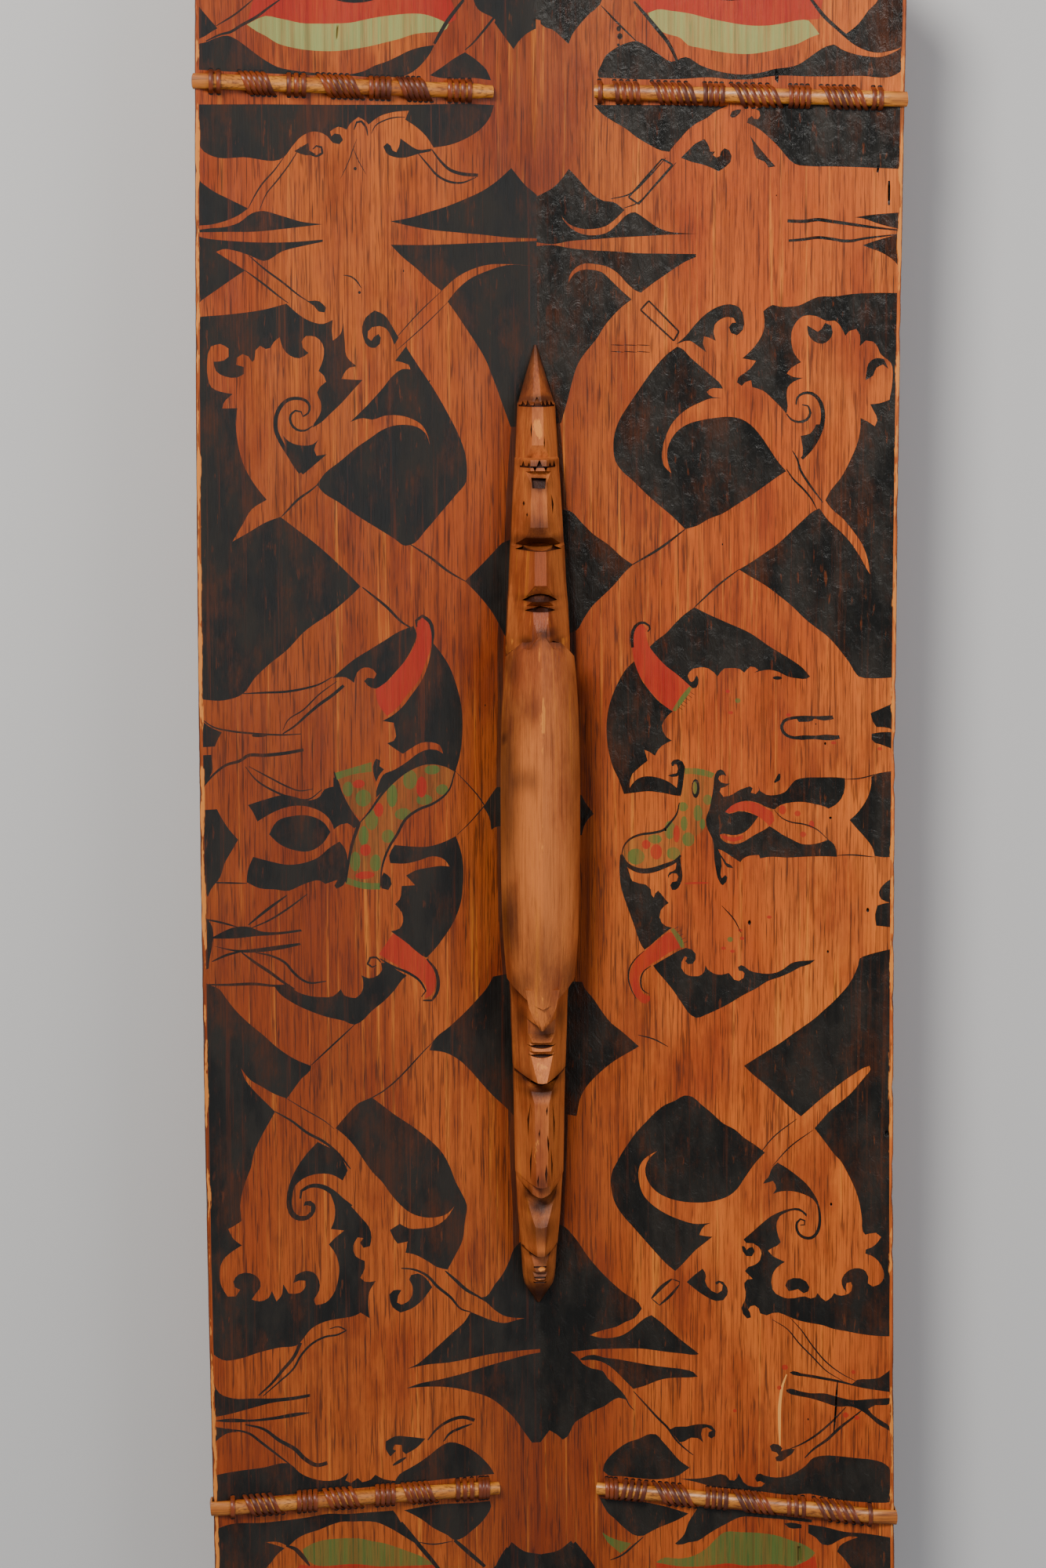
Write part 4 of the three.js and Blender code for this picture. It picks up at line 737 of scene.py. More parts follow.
def middle_right_eye():
    fill("tint", (80, 25), (79.4, 20), (78.8, 15), (77.9, 10), (76.9, 5), (75, 0), (72.5, -3.8),
         (69.4, -8.1), (66.3, -10.6), (60, -11.9), (55, -13.1), (50, -15.6), (47.5, -19.4),
         (46, -25), (48, -29), (52, -31.5), (58, -32.3), (64, -31), (70, -28.8), (76, -25.5),
         (80, -18.8), (85, -13.1), (90, -8.8), (91.3, -2.5), (93.1, 1.3), (93.8, 7.5),
         (94.7, 12.5), (95.6, 17.5), (96.3, 22.5), (90, 24.5), (84, 25.3))
    fill("green", (80, 25.4), (84, 25.6), (90, 25), (96, 23), (94.5, 20.3), (88, 21.8),
         (82, 22.3), (80, 22))
    for x, y, across, along in ((92.3, 8.1, 2.4, 3), (78.9, 3.8, 2.8, 2.6), (87, 0.5, 2.4, 4.6),
                                (79.6, -5.6, 1.9, 4.2), (81.9, -14.4, 3.4, 4),
                                (71.8, -9.5, 3, 5.2), (63.8, -14.8, 3.8, 2.6),
                                (53.4, -25, 4.8, 4.6), (73.8, -22.6, 3.8, 3.6),
                                (89.5, -5.5, 1.6, 3)):
        spot("green", x, y, across, along)
    spot("black", 85.8, 14.2, 2.2, 5.4)
    spot("green", 85.4, 14.6, 1.2, 3.6)
    for x, y, across, along in ((75.5, -11.5, 1.8, 5), (64.5, -22, 3.2, 4.4), (59, -18, 2.4, 2.6)):
        spot("red", x, y, across, along)
    stroke(1.4, (77, 6), (75.5, -0.5), (72, -5.5), (68.5, -9.5), (63, -11.3), (56, -12.5),
           (50.5, -15), (47, -19), (45.6, -24))
    stroke(3, (45.6, -24), (48.5, -29.5), (52.5, -32), (57.5, -33), (62.5, -32.3), (69, -29.8),
           (75, -26.8), (77.8, -23.5))
    ink((44.8, -23.8), (44.4, -28.8), (44.4, -33.8), (44.8, -38.8), (45.6, -43.8), (47.5, -50),
        (49.4, -55.5), (51.9, -62.5), (54.4, -70), (56.3, -75), (58.1, -77.5), (61.3, -75),
        (65, -71.3), (70, -66.9), (73.1, -64.4), (70, -63.8), (67.5, -61.9), (66.3, -58.8),
        (66.9, -55), (68.8, -52.5), (71.3, -50.6), (69.4, -48.5), (67.5, -46), (65.6, -43.8),
        (64, -45.3), (63.1, -47.8), (61.9, -46.3), (61.5, -43.1), (58.8, -40.6), (55, -40),
        (51.5, -38.8), (50, -35), (48.8, -31.3), (46.9, -27.5))
    ink((75, -25.6), (77.5, -24.4), (78.1, -30), (78.8, -35), (77.5, -40), (75, -43.1),
        (73.1, -43.1), (72.1, -40.6), (73.1, -38.8), (75.6, -38.1), (76.5, -35.6),
        (75.6, -33.8), (73.1, -33.8), (71.6, -35), (71.3, -36.9), (70.8, -35), (71.9, -33.1),
        (73.8, -32.5), (75, -31.3))
    fill("red", (101.3, 1.3), (103.8, 5), (110, 7.5), (115, 7.9), (120, 6.5), (123.8, 4.4),
         (126.9, 2.5), (128.1, -2.5), (125.6, -5.6), (122.5, -2.5), (118.8, 0), (115, 1.9),
         (108.8, 2.5), (103.8, 1))
    fill("red", (98.1, -10.6), (101.9, -13.8), (106.3, -15), (111.3, -13.1), (111.3, -10.8),
         (106.3, -12.6), (102.5, -11.9))
    for x, y, across, along in ((132.5, 3.8, 2, 2.6), (140.5, 2, 1.6, 1.6), (148, -3.8, 1.4, 2.2),
                                (143.5, -9.5, 1.6, 1.6)):
        spot("red", x, y, across, along)
    stroke(0.8, (128.1, 3.5), (132.5, -1), (137.5, -3), (143.8, -3.8), (150, -6), (157, -12))
    spot("hole", 158, 0.2, 0.7)
    ink((100.6, 10), (103.8, 10.6), (110, 14.4), (115, 16.3), (116.5, 15.3), (115.6, 12.8),
        (118.1, 12.1), (120, 14.4), (119.4, 16.9), (120.6, 13.8), (123.8, 11.9), (128.8, 11.9),
        (133.8, 13.8), (136.3, 16.9), (139.4, 20.6), (143.8, 21.9), (152.5, 22.5),
        (161.3, 22.8), (165.6, 22.5), (165.6, 17.5), (163.8, 11.3), (160.6, 7.5), (156.9, 5.3),
        (155, 6.3), (150, 7.5), (143.8, 8.5), (137.5, 8.1), (131.3, 6.3), (128.1, 3.8),
        (123.8, 5), (120, 6.9), (115, 8.1), (110, 7.5), (105, 5), (102.5, 2.5), (100.6, 0))
    ink((95.6, 16.9), (96.3, 22.5), (97.5, 24.6), (99.4, 25.3), (101, 24.4), (102.5, 21.6),
        (100.6, 22.3), (98.5, 21.5), (98.1, 19.8), (99.4, 18.1), (104.4, 17.5), (101.9, 15.6),
        (99.4, 14.8), (98.8, 12.8), (100.6, 10.4), (100.6, 8.8), (100.6, 5), (101.3, 1.9),
        (103.8, 0.6), (108.8, 2.3), (115, 1.5), (119.6, -0.4), (117.5, -3.5), (114.4, -7.5),
        (110.6, -10.3), (105, -11.3), (100.6, -10.6), (98.8, -11.3), (99.4, -13.1),
        (102.5, -15.6), (106.3, -16.3), (111.3, -15), (115, -12.5), (118.8, -10),
        (123.1, -7.5), (125.6, -5.6), (128.8, -7.5), (132.5, -10), (137.5, -12.5),
        (142.5, -14.8), (147.5, -15), (152.5, -13.8), (156.9, -11.9), (160, -14.4),
        (161.3, -17.5), (161.6, -21.3), (155, -21.3), (145, -21.9), (135, -22.8),
        (125, -22.8), (120.6, -23.8), (120, -21.9), (115, -22.5), (111.3, -24.4),
        (110, -26.3), (105, -23.1), (100, -20), (98.1, -19.4), (98.8, -21.3), (101.3, -25),
        (102.5, -26.9), (105, -28.1), (106.3, -29.8), (103.1, -29.4), (100.6, -25.6),
        (99.6, -23.8), (100, -28.8), (99.4, -33.8), (100, -35.6), (101.9, -33.8),
        (103.1, -35), (102.5, -37.5), (100.6, -39.6), (99.4, -38.8), (97.8, -35.6),
        (96.9, -31.3), (96, -25), (95.6, -18.8), (95, -13.8), (92.5, -8.8), (91.3, -3.1),
        (93.1, 2.5), (94.4, 8.8))
    ink((16, 9), (23.8, 8.8), (25.6, 5), (28.8, 0.6), (30.4, -1.6), (27.5, -4.4), (25, -8.8),
        (23.8, -13.8), (16, -14))
    ink((191.8, -31.3), (186.3, -35.6), (183.8, -40), (185, -43.8), (189.4, -45.6),
        (186.3, -46.3), (183.1, -47.5), (181.9, -52.5), (182.5, -58.8), (191.8, -59.4))
    stroke(1.2, (80, -39.3), (86, -38.8), (93, -38.5), paint="red")


def lower_right_jaw():
    fill("red", (71.3, -66.9), (65, -71.9), (58.8, -77.5), (53.8, -82.5), (51.3, -86.9),
         (50, -91.3), (50.3, -96.3), (51.9, -101.3), (53.8, -105), (56.3, -107.5),
         (58.8, -108.1), (60.9, -106.3), (61, -103.8), (57.5, -102.5), (55.6, -98.8),
         (55, -95), (56.3, -90.6), (58.8, -88.1), (62.5, -85), (66.3, -82.5), (71.3, -78.8),
         (77.5, -75.6), (75, -70), (73.1, -67.5))
    fill("green", (72.3, -65.6), (73.8, -64.4), (76.9, -68.1), (79.6, -73.1), (79.8, -75.6),
         (78.1, -75.6), (75.6, -71.3))
    dashes(0.7, 74.5, -65, 79.5, -73, 5, 2.2, 1.2)
    stroke(0.8, (58, -78), (53, -83), (50, -88), (49.3, -94), (51, -100.5), (53.5, -105.5))
    stroke(0.9, (61.5, -86.5), (57.5, -90), (56, -95), (57.3, -100.5), (60.5, -102.5))
    ink((62.8, -86.3), (67.5, -83.1), (72.5, -80), (77.5, -76.9), (80.6, -75.6), (83.8, -76.3),
        (86, -78.8), (86, -81.9), (84.4, -84.4), (81.9, -84.8), (80.3, -83.1), (81.5, -81),
        (80, -80.3), (78.3, -83.8), (78.1, -86.9), (80, -90), (83.8, -91.5), (87.5, -91.3),
        (90.6, -88.8), (91.3, -85), (92.5, -87.3), (95.6, -89.4), (100, -90), (103.8, -88.8),
        (105, -90), (106.9, -92.5), (109.4, -93.1), (111.9, -91.3), (112.5, -88.8),
        (111.3, -87.5), (109.4, -87.3), (108.8, -85.3), (110.6, -84.1), (112.5, -84.8),
        (115, -86.9), (120, -88.1), (125, -88.4), (130, -87.3), (133.8, -85), (137.5, -81.9),
        (141.3, -80.6), (146.3, -80), (150.4, -79.4), (147.5, -81.9), (142.5, -83.8),
        (137.5, -86.9), (131.3, -90), (125, -92.5), (118.8, -96.9), (111.3, -101.3),
        (105, -105.6), (97.5, -110), (91.3, -113.1), (86.3, -115), (83.8, -113.8),
        (78.8, -107.5), (73.8, -100), (68.8, -93.8), (65, -89.4))
    for x, y in ((125.6, -56.5), (110, -64.5), (111, -69), (106, -76.5), (101, -75)):
        spot("red", x, y, 1.3, 0.9)
    spot("green", 104.6, -69.9, 1.5)
    stroke(0.7, (100, -51), (107, -59), (110.5, -66))
    ink((192.5, -71), (187.5, -72.3), (182.5, -73.8), (177.5, -75.6), (174, -77.5),
        (173.1, -81.3), (171.3, -86.3), (168.1, -92.5), (163.8, -98.1), (160, -102.5),
        (155, -107.5), (150, -112.5), (143.8, -117.5), (137.5, -122.5), (131.3, -127.5),
        (125, -131.9), (118.8, -136.3), (112.3, -141), (116.3, -145), (122.5, -150),
        (128.8, -155.6), (135, -161.3), (140, -165.6), (143.1, -168.1), (147.5, -163.8),
        (152.5, -158.8), (158.8, -153.1), (165, -147.5), (171.3, -142.5), (176.3, -138.8),
        (179.4, -137.5), (180, -139.4), (177.5, -143.1), (173.8, -148.1), (170, -153.1),
        (165, -158.1), (158.8, -163.8), (153.8, -170), (150.4, -174.4), (153.8, -178.8),
        (157.5, -183.8), (161.3, -188.8), (164, -191.5), (167.5, -197.5), (170.6, -203.8),
        (173.1, -210), (175, -217.5), (176, -225), (176.5, -231.3), (177.8, -233.1),
        (180, -232.3), (183.5, -231.6), (186.3, -233.8), (184.4, -236.9), (181.3, -240),
        (178.1, -241.5), (177.9, -243.8), (181.3, -244.8), (185, -247.8), (187.5, -252.5),
        (187.8, -256.9), (185.6, -260.6), (181.9, -262.3), (179.4, -260.6), (179.6, -256.9),
        (178.1, -253.8), (174.4, -252.3), (170, -253.5), (166.9, -256.3), (165.3, -260),
        (166.3, -264.4), (168.1, -266.5), (167.5, -263.8), (168.1, -261.3), (170.3, -260.6),
        (171, -262.5), (170.6, -265.6), (167.5, -268.1), (163.1, -268.5), (161.3, -267.5),
        (160, -270), (156.9, -272.5), (154.4, -270.6), (152.5, -268.1), (151.3, -270.6),
        (148.8, -271.5), (145.6, -270.5), (140, -271.9), (136.3, -272.3), (132.5, -271.3),
        (130, -270), (128.1, -267.5), (127.5, -263.8), (128.1, -259.4), (130, -255.6),
        (132.5, -253.1), (134.8, -251.5), (131.3, -250), (128.1, -248.5), (125.6, -245.6),
        (128.1, -243.8), (130.6, -242.5), (132.5, -240.3), (131.3, -237.5), (130.4, -233.8),
        (130.4, -228.8), (131.9, -225.6), (135.6, -223.1), (140, -221.6), (143.8, -222.5),
        (146.3, -225), (146.6, -223.5), (142.5, -220.4), (137.5, -220.9), (132.5, -222.8),
        (127.5, -225.6), (122.5, -230), (117.5, -235), (112.3, -240), (113.8, -242),
        (117.5, -241.9), (120.6, -243.8), (122.1, -247.5), (121.3, -251.3), (118.1, -254.4),
        (115, -255.6), (113.1, -258.1), (117.3, -262.3), (114.4, -262.9), (112.8, -265),
        (113.5, -270), (113.1, -275), (111.3, -279.4), (112.1, -282.8), (114.4, -285.3),
        (116.5, -284.6), (116, -281.9), (115, -280), (116.3, -278.1), (118.5, -277.5),
        (120.6, -279), (121.5, -281.9), (125, -282.8), (128.1, -281.3), (131.3, -280.8),
        (136.3, -282.5), (142.5, -284.6), (148.8, -285.6), (155, -286.3), (161.3, -288.1),
        (167.5, -288.8), (175, -289.8), (183.8, -290.3), (192.5, -290))


def lower_right_body():
    ink((135, -265), (136.3, -261.9), (139.4, -260.4), (143.1, -260.3), (146.3, -261.9),
        (148.1, -265), (147.5, -267.5), (145, -268.8), (141.9, -266.6), (139.4, -267.5),
        (136.9, -268.1))
    ink((111.3, -243.8), (111.9, -246.9), (113.8, -249.4), (116.9, -249.4), (118.4, -246.5),
        (117.3, -244), (115.3, -244.6), (114, -246), (112.8, -244))
    stroke(1.7, (143, -230), (145.3, -229.6), (145.4, -227.2), (143, -226.5), (141.3, -228.5),
           (141, -231.5), (142.3, -235), (145.5, -237), (149, -236.8), (151.8, -234),
           (153.3, -229), (153.3, -222.5), (151.9, -216.3), (149.4, -211.9))
    ink((130.6, -195), (128.1, -197.5), (126.9, -200), (125.6, -203.8), (123.8, -205.6),
        (122.9, -207.5), (126, -206.5), (128.1, -205.6), (129.4, -207.5), (130, -210),
        (128.3, -213), (130.6, -211.9), (135, -211), (140, -211), (145, -212.3),
        (149.4, -214.5), (152, -218), (153.3, -222.5), (152.5, -216), (150, -211.3),
        (146.3, -206.3), (141.3, -202), (135, -197.5))
    ink((84.4, -160), (80, -159.4), (75, -162.5), (68.8, -165.6), (63.8, -170), (58.8, -175.6),
        (53.8, -181.3), (48.8, -188.8), (45, -195), (42.5, -200), (40.6, -203.8), (39.4, -210),
        (40, -216.3), (41.9, -223.1), (46.3, -230), (51.3, -235.6), (56.3, -241.3),
        (61.3, -246.9), (66.3, -252.5), (71.3, -257.5), (75, -260.3), (78.8, -256.3),
        (82.5, -251.9), (86.3, -247.5), (91.3, -243.1), (95.4, -239.4), (92.5, -239.4),
        (88.1, -238.8), (89.4, -235.6), (91.3, -233.1), (94.5, -231.5), (90, -232.3),
        (85, -232.5), (78.8, -231), (72.5, -228.8), (66.3, -225.6), (61.3, -221.9),
        (57.5, -217.5), (55.6, -212.5), (54.8, -207.5), (55, -202.5), (56.9, -198.1),
        (60, -195), (65, -191.9), (60.5, -196.5), (58.5, -201.9), (58.8, -206.3),
        (60.6, -210.6), (64.4, -215), (70, -218.1), (77.5, -220), (85, -220.4),
        (92.5, -219.8), (98.8, -218.1), (105, -215), (108.8, -211.3), (111.9, -206.3),
        (115, -201.3), (118.8, -195.6), (123.8, -189.7), (117.5, -185), (112.5, -181.9),
        (107.5, -177.5), (101.3, -174.4), (95, -168.8), (88.8, -163.8))
    ink((12, -97), (23.8, -96.9), (25, -100), (30, -106.3), (35, -113.8), (40, -120),
        (45, -123.8), (50, -128.1), (55, -132.5), (51.3, -135), (46.3, -138.1), (40, -142.5),
        (35, -146.9), (30, -151.9), (25.6, -157.5), (22.5, -163.8), (21.3, -170),
        (20.6, -173.8), (12, -172.5))
    stroke(0.8, (54.5, -126), (63, -128), (71, -132))
    stroke(0.7, (141, -169.5), (128, -181), (120, -192))
    stroke(0.7, (149.5, -175.5), (137, -186), (128, -197))
    ink((8, -236), (14, -238), (17.5, -241.5), (21.3, -246.3), (26.3, -253.8), (32.5, -261.3),
        (40, -268.8), (47.5, -275), (55, -280), (56.6, -283.1), (55, -285.6), (52.5, -288.8),
        (47.5, -291.3), (42.5, -294.4), (36.3, -296.3), (30, -298.8), (27.9, -300),
        (33.8, -301.3), (40, -300.9), (46.3, -298.8), (51.3, -295), (55, -291.3),
        (58.8, -288.1), (61.9, -286.5), (67.5, -290.6), (73.8, -296.3), (80, -301.3),
        (85, -305), (88.1, -307.5), (86.3, -308.1), (80, -307.8), (72.5, -307.5),
        (65, -306.9), (57.5, -306.3), (48.8, -306.6), (40, -307.3), (30, -308.1),
        (22.5, -309.4), (17.5, -310.3), (0, -311.5), (0, -240))
    ink((21.9, -314.4), (26.3, -311.9), (30, -311.3), (35, -312.5), (42.5, -313.1),
        (52.5, -314.4), (61.3, -315.6), (71.3, -316.3), (80, -316.9), (85, -318.1),
        (87.5, -320.6), (83.8, -321.3), (76.3, -321.9), (68.8, -323.1), (63.8, -325),
        (58.8, -327.5), (51.9, -330), (47.5, -325.6), (42.5, -320.6), (38.8, -317.5),
        (33.8, -315), (27.5, -314.4), (23.8, -315))
    ink((0, -311), (17.5, -310.6), (21.3, -313.8), (23.8, -316.9), (28.8, -319.4), (35, -320.6),
        (37.5, -324.4), (42.5, -328.8), (46.9, -333.8), (48.8, -336.9), (43.8, -335.6),
        (40, -337.5), (36.3, -340.6), (30, -343.8), (23.8, -348.1), (19.4, -351.3),
        (16.9, -356.3), (15, -360), (12.5, -361.9), (8.8, -358.8), (5, -356.8), (0, -364))
    stroke(1.3, (51.9, -331.3), (58.8, -338.8), (65, -345.6), (71.3, -351.9), (75, -357.5),
           (80, -362.5), (85, -366.3))
    stroke(0.7, (46.9, -333.8), (50, -340), (52.5, -342.5))
    stroke(2.1, (61.9, -276.9), (67.5, -270), (73.1, -265))
    stroke(1.6, (66.3, -280.6), (72.5, -274.4), (77.3, -268.1))
    stroke(0.7, (61.9, -276.9), (66.3, -280.6))
    stroke(0.8, (73.1, -265), (77.3, -266.3), (77.3, -268.1))


def lower_right_creature():
    ink((81.3, -266.3), (85, -262.5), (90, -258.1), (91.3, -260), (91.9, -262.5), (91.3, -265),
        (92.5, -268.1), (95, -270.6), (98.1, -271.9), (100.6, -270), (101, -266.9),
        (99.4, -265.6), (97.5, -266.9), (96.9, -265.6), (98.8, -264.4), (101.3, -265),
        (103.5, -268.1), (103.5, -272.5), (101.3, -275.6), (97.5, -276.3), (92.5, -274.4),
        (87.5, -271.3))
    ink((61.3, -355.6), (64.4, -355.6), (67.5, -358.8), (72.5, -364.4), (77.5, -370),
        (83.1, -373.8), (80, -376.3), (76.9, -378.8), (73.8, -380), (65, -381.9), (55, -381.9),
        (45, -381.3), (38.1, -381.3), (35, -378.8), (35.6, -375), (38.8, -370), (43.8, -365),
        (48.8, -361.3), (55, -358.8))
    ink((77.5, -380.6), (86.3, -380), (95, -378.1), (100, -376.3), (103.1, -376.9),
        (105, -379.4), (107.5, -379.6), (109.4, -377.5), (109.8, -375), (111.3, -377.5),
        (112.5, -380), (115, -381.9), (118.8, -382.5), (122.5, -381.9), (124.4, -380),
        (121.9, -378.8), (120, -379.4), (119, -377.5), (120, -375), (121.9, -374.4),
        (123.8, -375.3), (127.5, -376), (133.8, -375.6), (138.8, -373.8), (142.5, -371.3),
        (146.3, -368.1), (150.6, -363.1), (156.3, -361.3), (165, -361), (173.8, -361.3),
        (182.5, -361.5), (187.5, -362.5), (191.3, -365), (193.5, -368.8), (193.5, -385),
        (190, -385.6), (180, -386.3), (167.5, -386.3), (160, -385.6), (151.3, -384.4),
        (148.8, -384), (142.5, -385), (136.3, -385.6), (125, -385), (115, -384.4),
        (105, -384.4), (95, -383.8), (86.3, -381.9))
    ink((71.9, -352.5), (75, -350.6), (81.3, -350), (85, -348.8), (91.3, -347.9), (95, -348.5),
        (97.3, -351.3), (97.1, -354.4), (95, -356), (93.1, -354.8), (93.5, -352.5),
        (95.6, -351.3), (92.5, -349.6), (90, -350.6), (89.4, -353.8), (90.6, -358.8),
        (87.5, -356.3), (83.8, -356.3), (80, -358.8), (77.5, -359.4), (75, -356.3))
    ink((137.5, -314.8), (139.4, -313.8), (143.8, -314.8), (150, -315.3), (157.5, -316.3),
        (165, -317.3), (171.3, -318.8), (173.8, -316.3), (180, -315.4), (186.3, -313.8),
        (190, -310.6), (193, -309.4), (193, -321.9), (183.8, -321.3), (176.3, -320.6),
        (167.5, -319.1), (160, -318.1), (152.5, -317.3), (145, -316.5), (139.4, -316))
    ink((135.6, -325), (137.5, -324.1), (142.5, -325), (148.8, -325.9), (156.3, -325.4),
        (163.8, -326.9), (171.3, -328.1), (180, -326.9), (186.3, -326), (193, -325),
        (193, -326.9), (190, -329.4), (183.8, -330), (180, -332.5), (182.5, -335.6),
        (187.5, -338.8), (193, -341.9), (193, -344.5), (185, -340.6), (180, -336.3),
        (176.3, -333.8), (171.3, -331.9), (163, -332.5), (157.5, -331), (148.8, -328.8),
        (141.3, -327.8), (136.3, -326.3))
    stroke(1.6, (176.3, -333.8), (172.5, -337.5), (165, -344.4), (158, -352), (150, -358.8),
           (146, -363.5))
    stroke(1.2, (168, -332.5), (160, -342), (150, -351.5), (143, -356.3), (138, -358.8))
    ink((126.9, -358.1), (128.8, -356.6), (131.9, -356.9), (133.8, -358.8), (133.1, -360.6),
        (137.5, -358.8), (140.6, -358.8), (139.4, -361.3), (136.3, -363.8), (133.1, -366.5),
        (130.6, -366.5), (130, -364.4), (131.9, -363.1), (130.6, -361.5), (128.1, -361))
    stroke(1.7, (136, -316), (133.8, -322.5), (132.5, -331.3), (132.2, -346.3), (132.5, -357.5),
           paint="bare")
    stroke(1.2, (163.5, -317.5), (163, -325), (162.6, -334), (162, -342), (161.6, -348),
           paint="hole", tip=0.5)
    stroke(0.8, (128.1, -285), (136.3, -290), (142.5, -297.5), (150, -305), (157.5, -312.5),
           (166.3, -317.5))
    stroke(0.8, (137.5, -283.1), (143.8, -290), (150, -298.8), (157.5, -307.5),
           (166.3, -313.8), (173.1, -316.9))
    for x, y, across in ((135, -312, 1.6), (172, -312, 1.2), (168, -337, 1.6), (174, -338, 1.3),
                         (107.8, -339, 1), (132, -324, 1.2)):
        spot("red", x, y, across)


def upper_rims():
    """The lower edges of the two big eyes beyond the upper cane."""
    ink((-185.5, 442.3), (-181.3, 438.5), (-177.5, 434.1), (-173.1, 429.1), (-176.3, 427.3),
        (-180, 424.8), (-185.5, 422.5))
    ink((-185.5, 420.6), (-180, 421.6), (-173.8, 424.1), (-168.1, 425.4), (-164.4, 424.1),
        (-158.8, 420.4), (-153.8, 416.6), (-147.5, 412.3), (-141.3, 409.1), (-132.5, 407.3),
        (-117.5, 406), (-100, 406), (-95, 407.3), (-88.8, 410.4), (-82.5, 412.5),
        (-76.3, 415.4), (-70, 418.5), (-63.8, 420.4), (-56.3, 421.6), (-58.1, 417.9),
        (-61.3, 413.5), (-66.3, 408.5), (-71.3, 405.4), (-82.5, 404.1), (-107.5, 405),
        (-120, 404.8), (-138.8, 405.4), (-157.5, 406), (-185.5, 407.3))
    ink((-39.4, 417.9), (-45, 414.8), (-51.3, 410.4), (-58.8, 405.4), (-53.8, 404.1),
        (-45, 403.8), (-35, 404.1), (-25, 402.9), (-27.5, 408.5), (-31.3, 412.3), (-36.3, 416))
    ink((33.1, 406), (35, 411), (37.5, 416), (41.3, 419.1), (47.5, 422.3), (54.4, 423.5),
        (60, 420.4), (66.3, 416), (72.5, 412.3), (80, 414.8), (87.5, 410.4), (93.8, 407.9),
        (101.3, 406), (110, 405), (120, 406), (127.5, 407.9), (133.8, 408.5), (138.8, 409.8),
        (143.8, 412.9), (148.8, 416.6), (153.8, 419.5), (157.5, 420.4), (161.3, 417.9),
        (167.5, 415.4), (175, 413.8), (182.5, 413.5), (188.8, 416), (193.5, 418.5),
        (193.8, 407.3), (190, 404.1), (170, 403.5), (145, 403.5), (127.5, 404.1),
        (115, 402.5), (102.5, 402.5), (95, 403.5), (76.3, 402.9), (57.5, 402.9), (45, 403.5),
        (33.8, 404.1))
    stroke(2, (152.5, 435.4), (158, 430), (163.1, 425.4), (170, 420), (180, 416.5), (190, 418),
           tip=0.6)
    spot("black", 44.4, 430.4, 1.2, 1.5)
    spot("black", 45, 426.3, 1.5, 1.7)
    spot("black", 44.2, 421.7, 0.8)
    stroke(1.4, (-108.8, 431.8), (-109.4, 423.5), paint="hole", tip=0.8)
    fill("hole", (127.5, 408), (128.8, 405.5), (128.6, 400), (127, 402))


def lower_rims():
    """The upper edges of the two big eyes beyond the lower cane."""
    ink((-185.5, -393.8), (-178.8, -391.9), (-157.5, -393.1), (-132.5, -393.1),
        (-121.3, -392.5), (-112.5, -393.8), (-100, -394.4), (-85, -395), (-82.5, -398.8),
        (-80.6, -402.5), (-76.3, -407.5), (-71.3, -414.4), (-70, -417.5), (-75, -413.8),
        (-80, -410), (-85, -406.3), (-88.8, -403.8), (-95, -400.6), (-101.3, -399.4),
        (-107.5, -398.8), (-115, -398.1), (-121.3, -399.4), (-127.5, -401.3),
        (-133.8, -402.5), (-140, -405), (-143.8, -408.1), (-147.5, -410), (-151.3, -413.1),
        (-153.8, -416.3), (-156.3, -418.8), (-158, -428), (-168, -432), (-185.5, -438))
    fill("wood", (-157, -404.5), (-151, -405), (-146, -407.5), (-143, -411), (-147, -409),
         (-152, -406.5))
    ink((-78.8, -395.6), (-70, -394.8), (-57.5, -394.4), (-38.8, -395.6), (-29.4, -395.6),
        (-28.8, -398.8), (-31.3, -403.8), (-35, -408.1), (-40, -411.9), (-45.6, -415.6),
        (-50, -416.3), (-53.8, -413.1), (-58.8, -410), (-62.5, -407.5), (-67.5, -403.1),
        (-72.5, -399.4))
    stroke(0.8, (-71.3, -415), (-62.5, -417.3), (-51.3, -416.9))
    ink((33.1, -395), (45, -394.4), (57.5, -395.6), (70, -397.5), (82.5, -400.6),
        (80, -402.5), (75, -405.6), (70, -408.1), (65, -410.6), (60, -413.8), (57.5, -415.4),
        (51.3, -415), (48.8, -413.1), (45, -410), (41.3, -406.3), (38.1, -403.8),
        (35.6, -400))
    ink((85, -401.3), (88, -396), (110, -396.5), (135, -398), (150, -399), (150, -400.6),
        (125, -400), (111, -400.6), (102.5, -405.6), (97.5, -408.8), (92.5, -412.5),
        (87.5, -416.3), (82.5, -417.5), (76.3, -419.4), (75, -418.8), (77.5, -416.3),
        (80, -413.1), (81.3, -409.4), (82.5, -405.6))
    ink((135, -402.5), (138.8, -401.5), (144.4, -402.3), (144.4, -404.4), (137.5, -404.6))
    ink((148.1, -401.9), (156.3, -402.5), (167.5, -404.4), (178.8, -404.4), (193.8, -405.6),
        (193.8, -436), (176, -432), (171.3, -425), (167.5, -420), (163.8, -416.3),
        (165, -413.1), (168.8, -410), (172.5, -408.1), (175, -406.9), (170, -406.9),
        (165, -409.4), (158.8, -413.1), (155.6, -412.8), (152.5, -409.4), (148.1, -406.9))
    fill("green", (34.4, -415), (38.8, -417.5), (45, -419.4), (50.6, -420.3), (48.1, -423.8),
         (44.4, -426.5), (41.3, -423.8), (37.5, -420.6))
    stroke(2.6, (143, -413), (143.5, -420), (143.2, -427), paint="hole", tip=0.6)


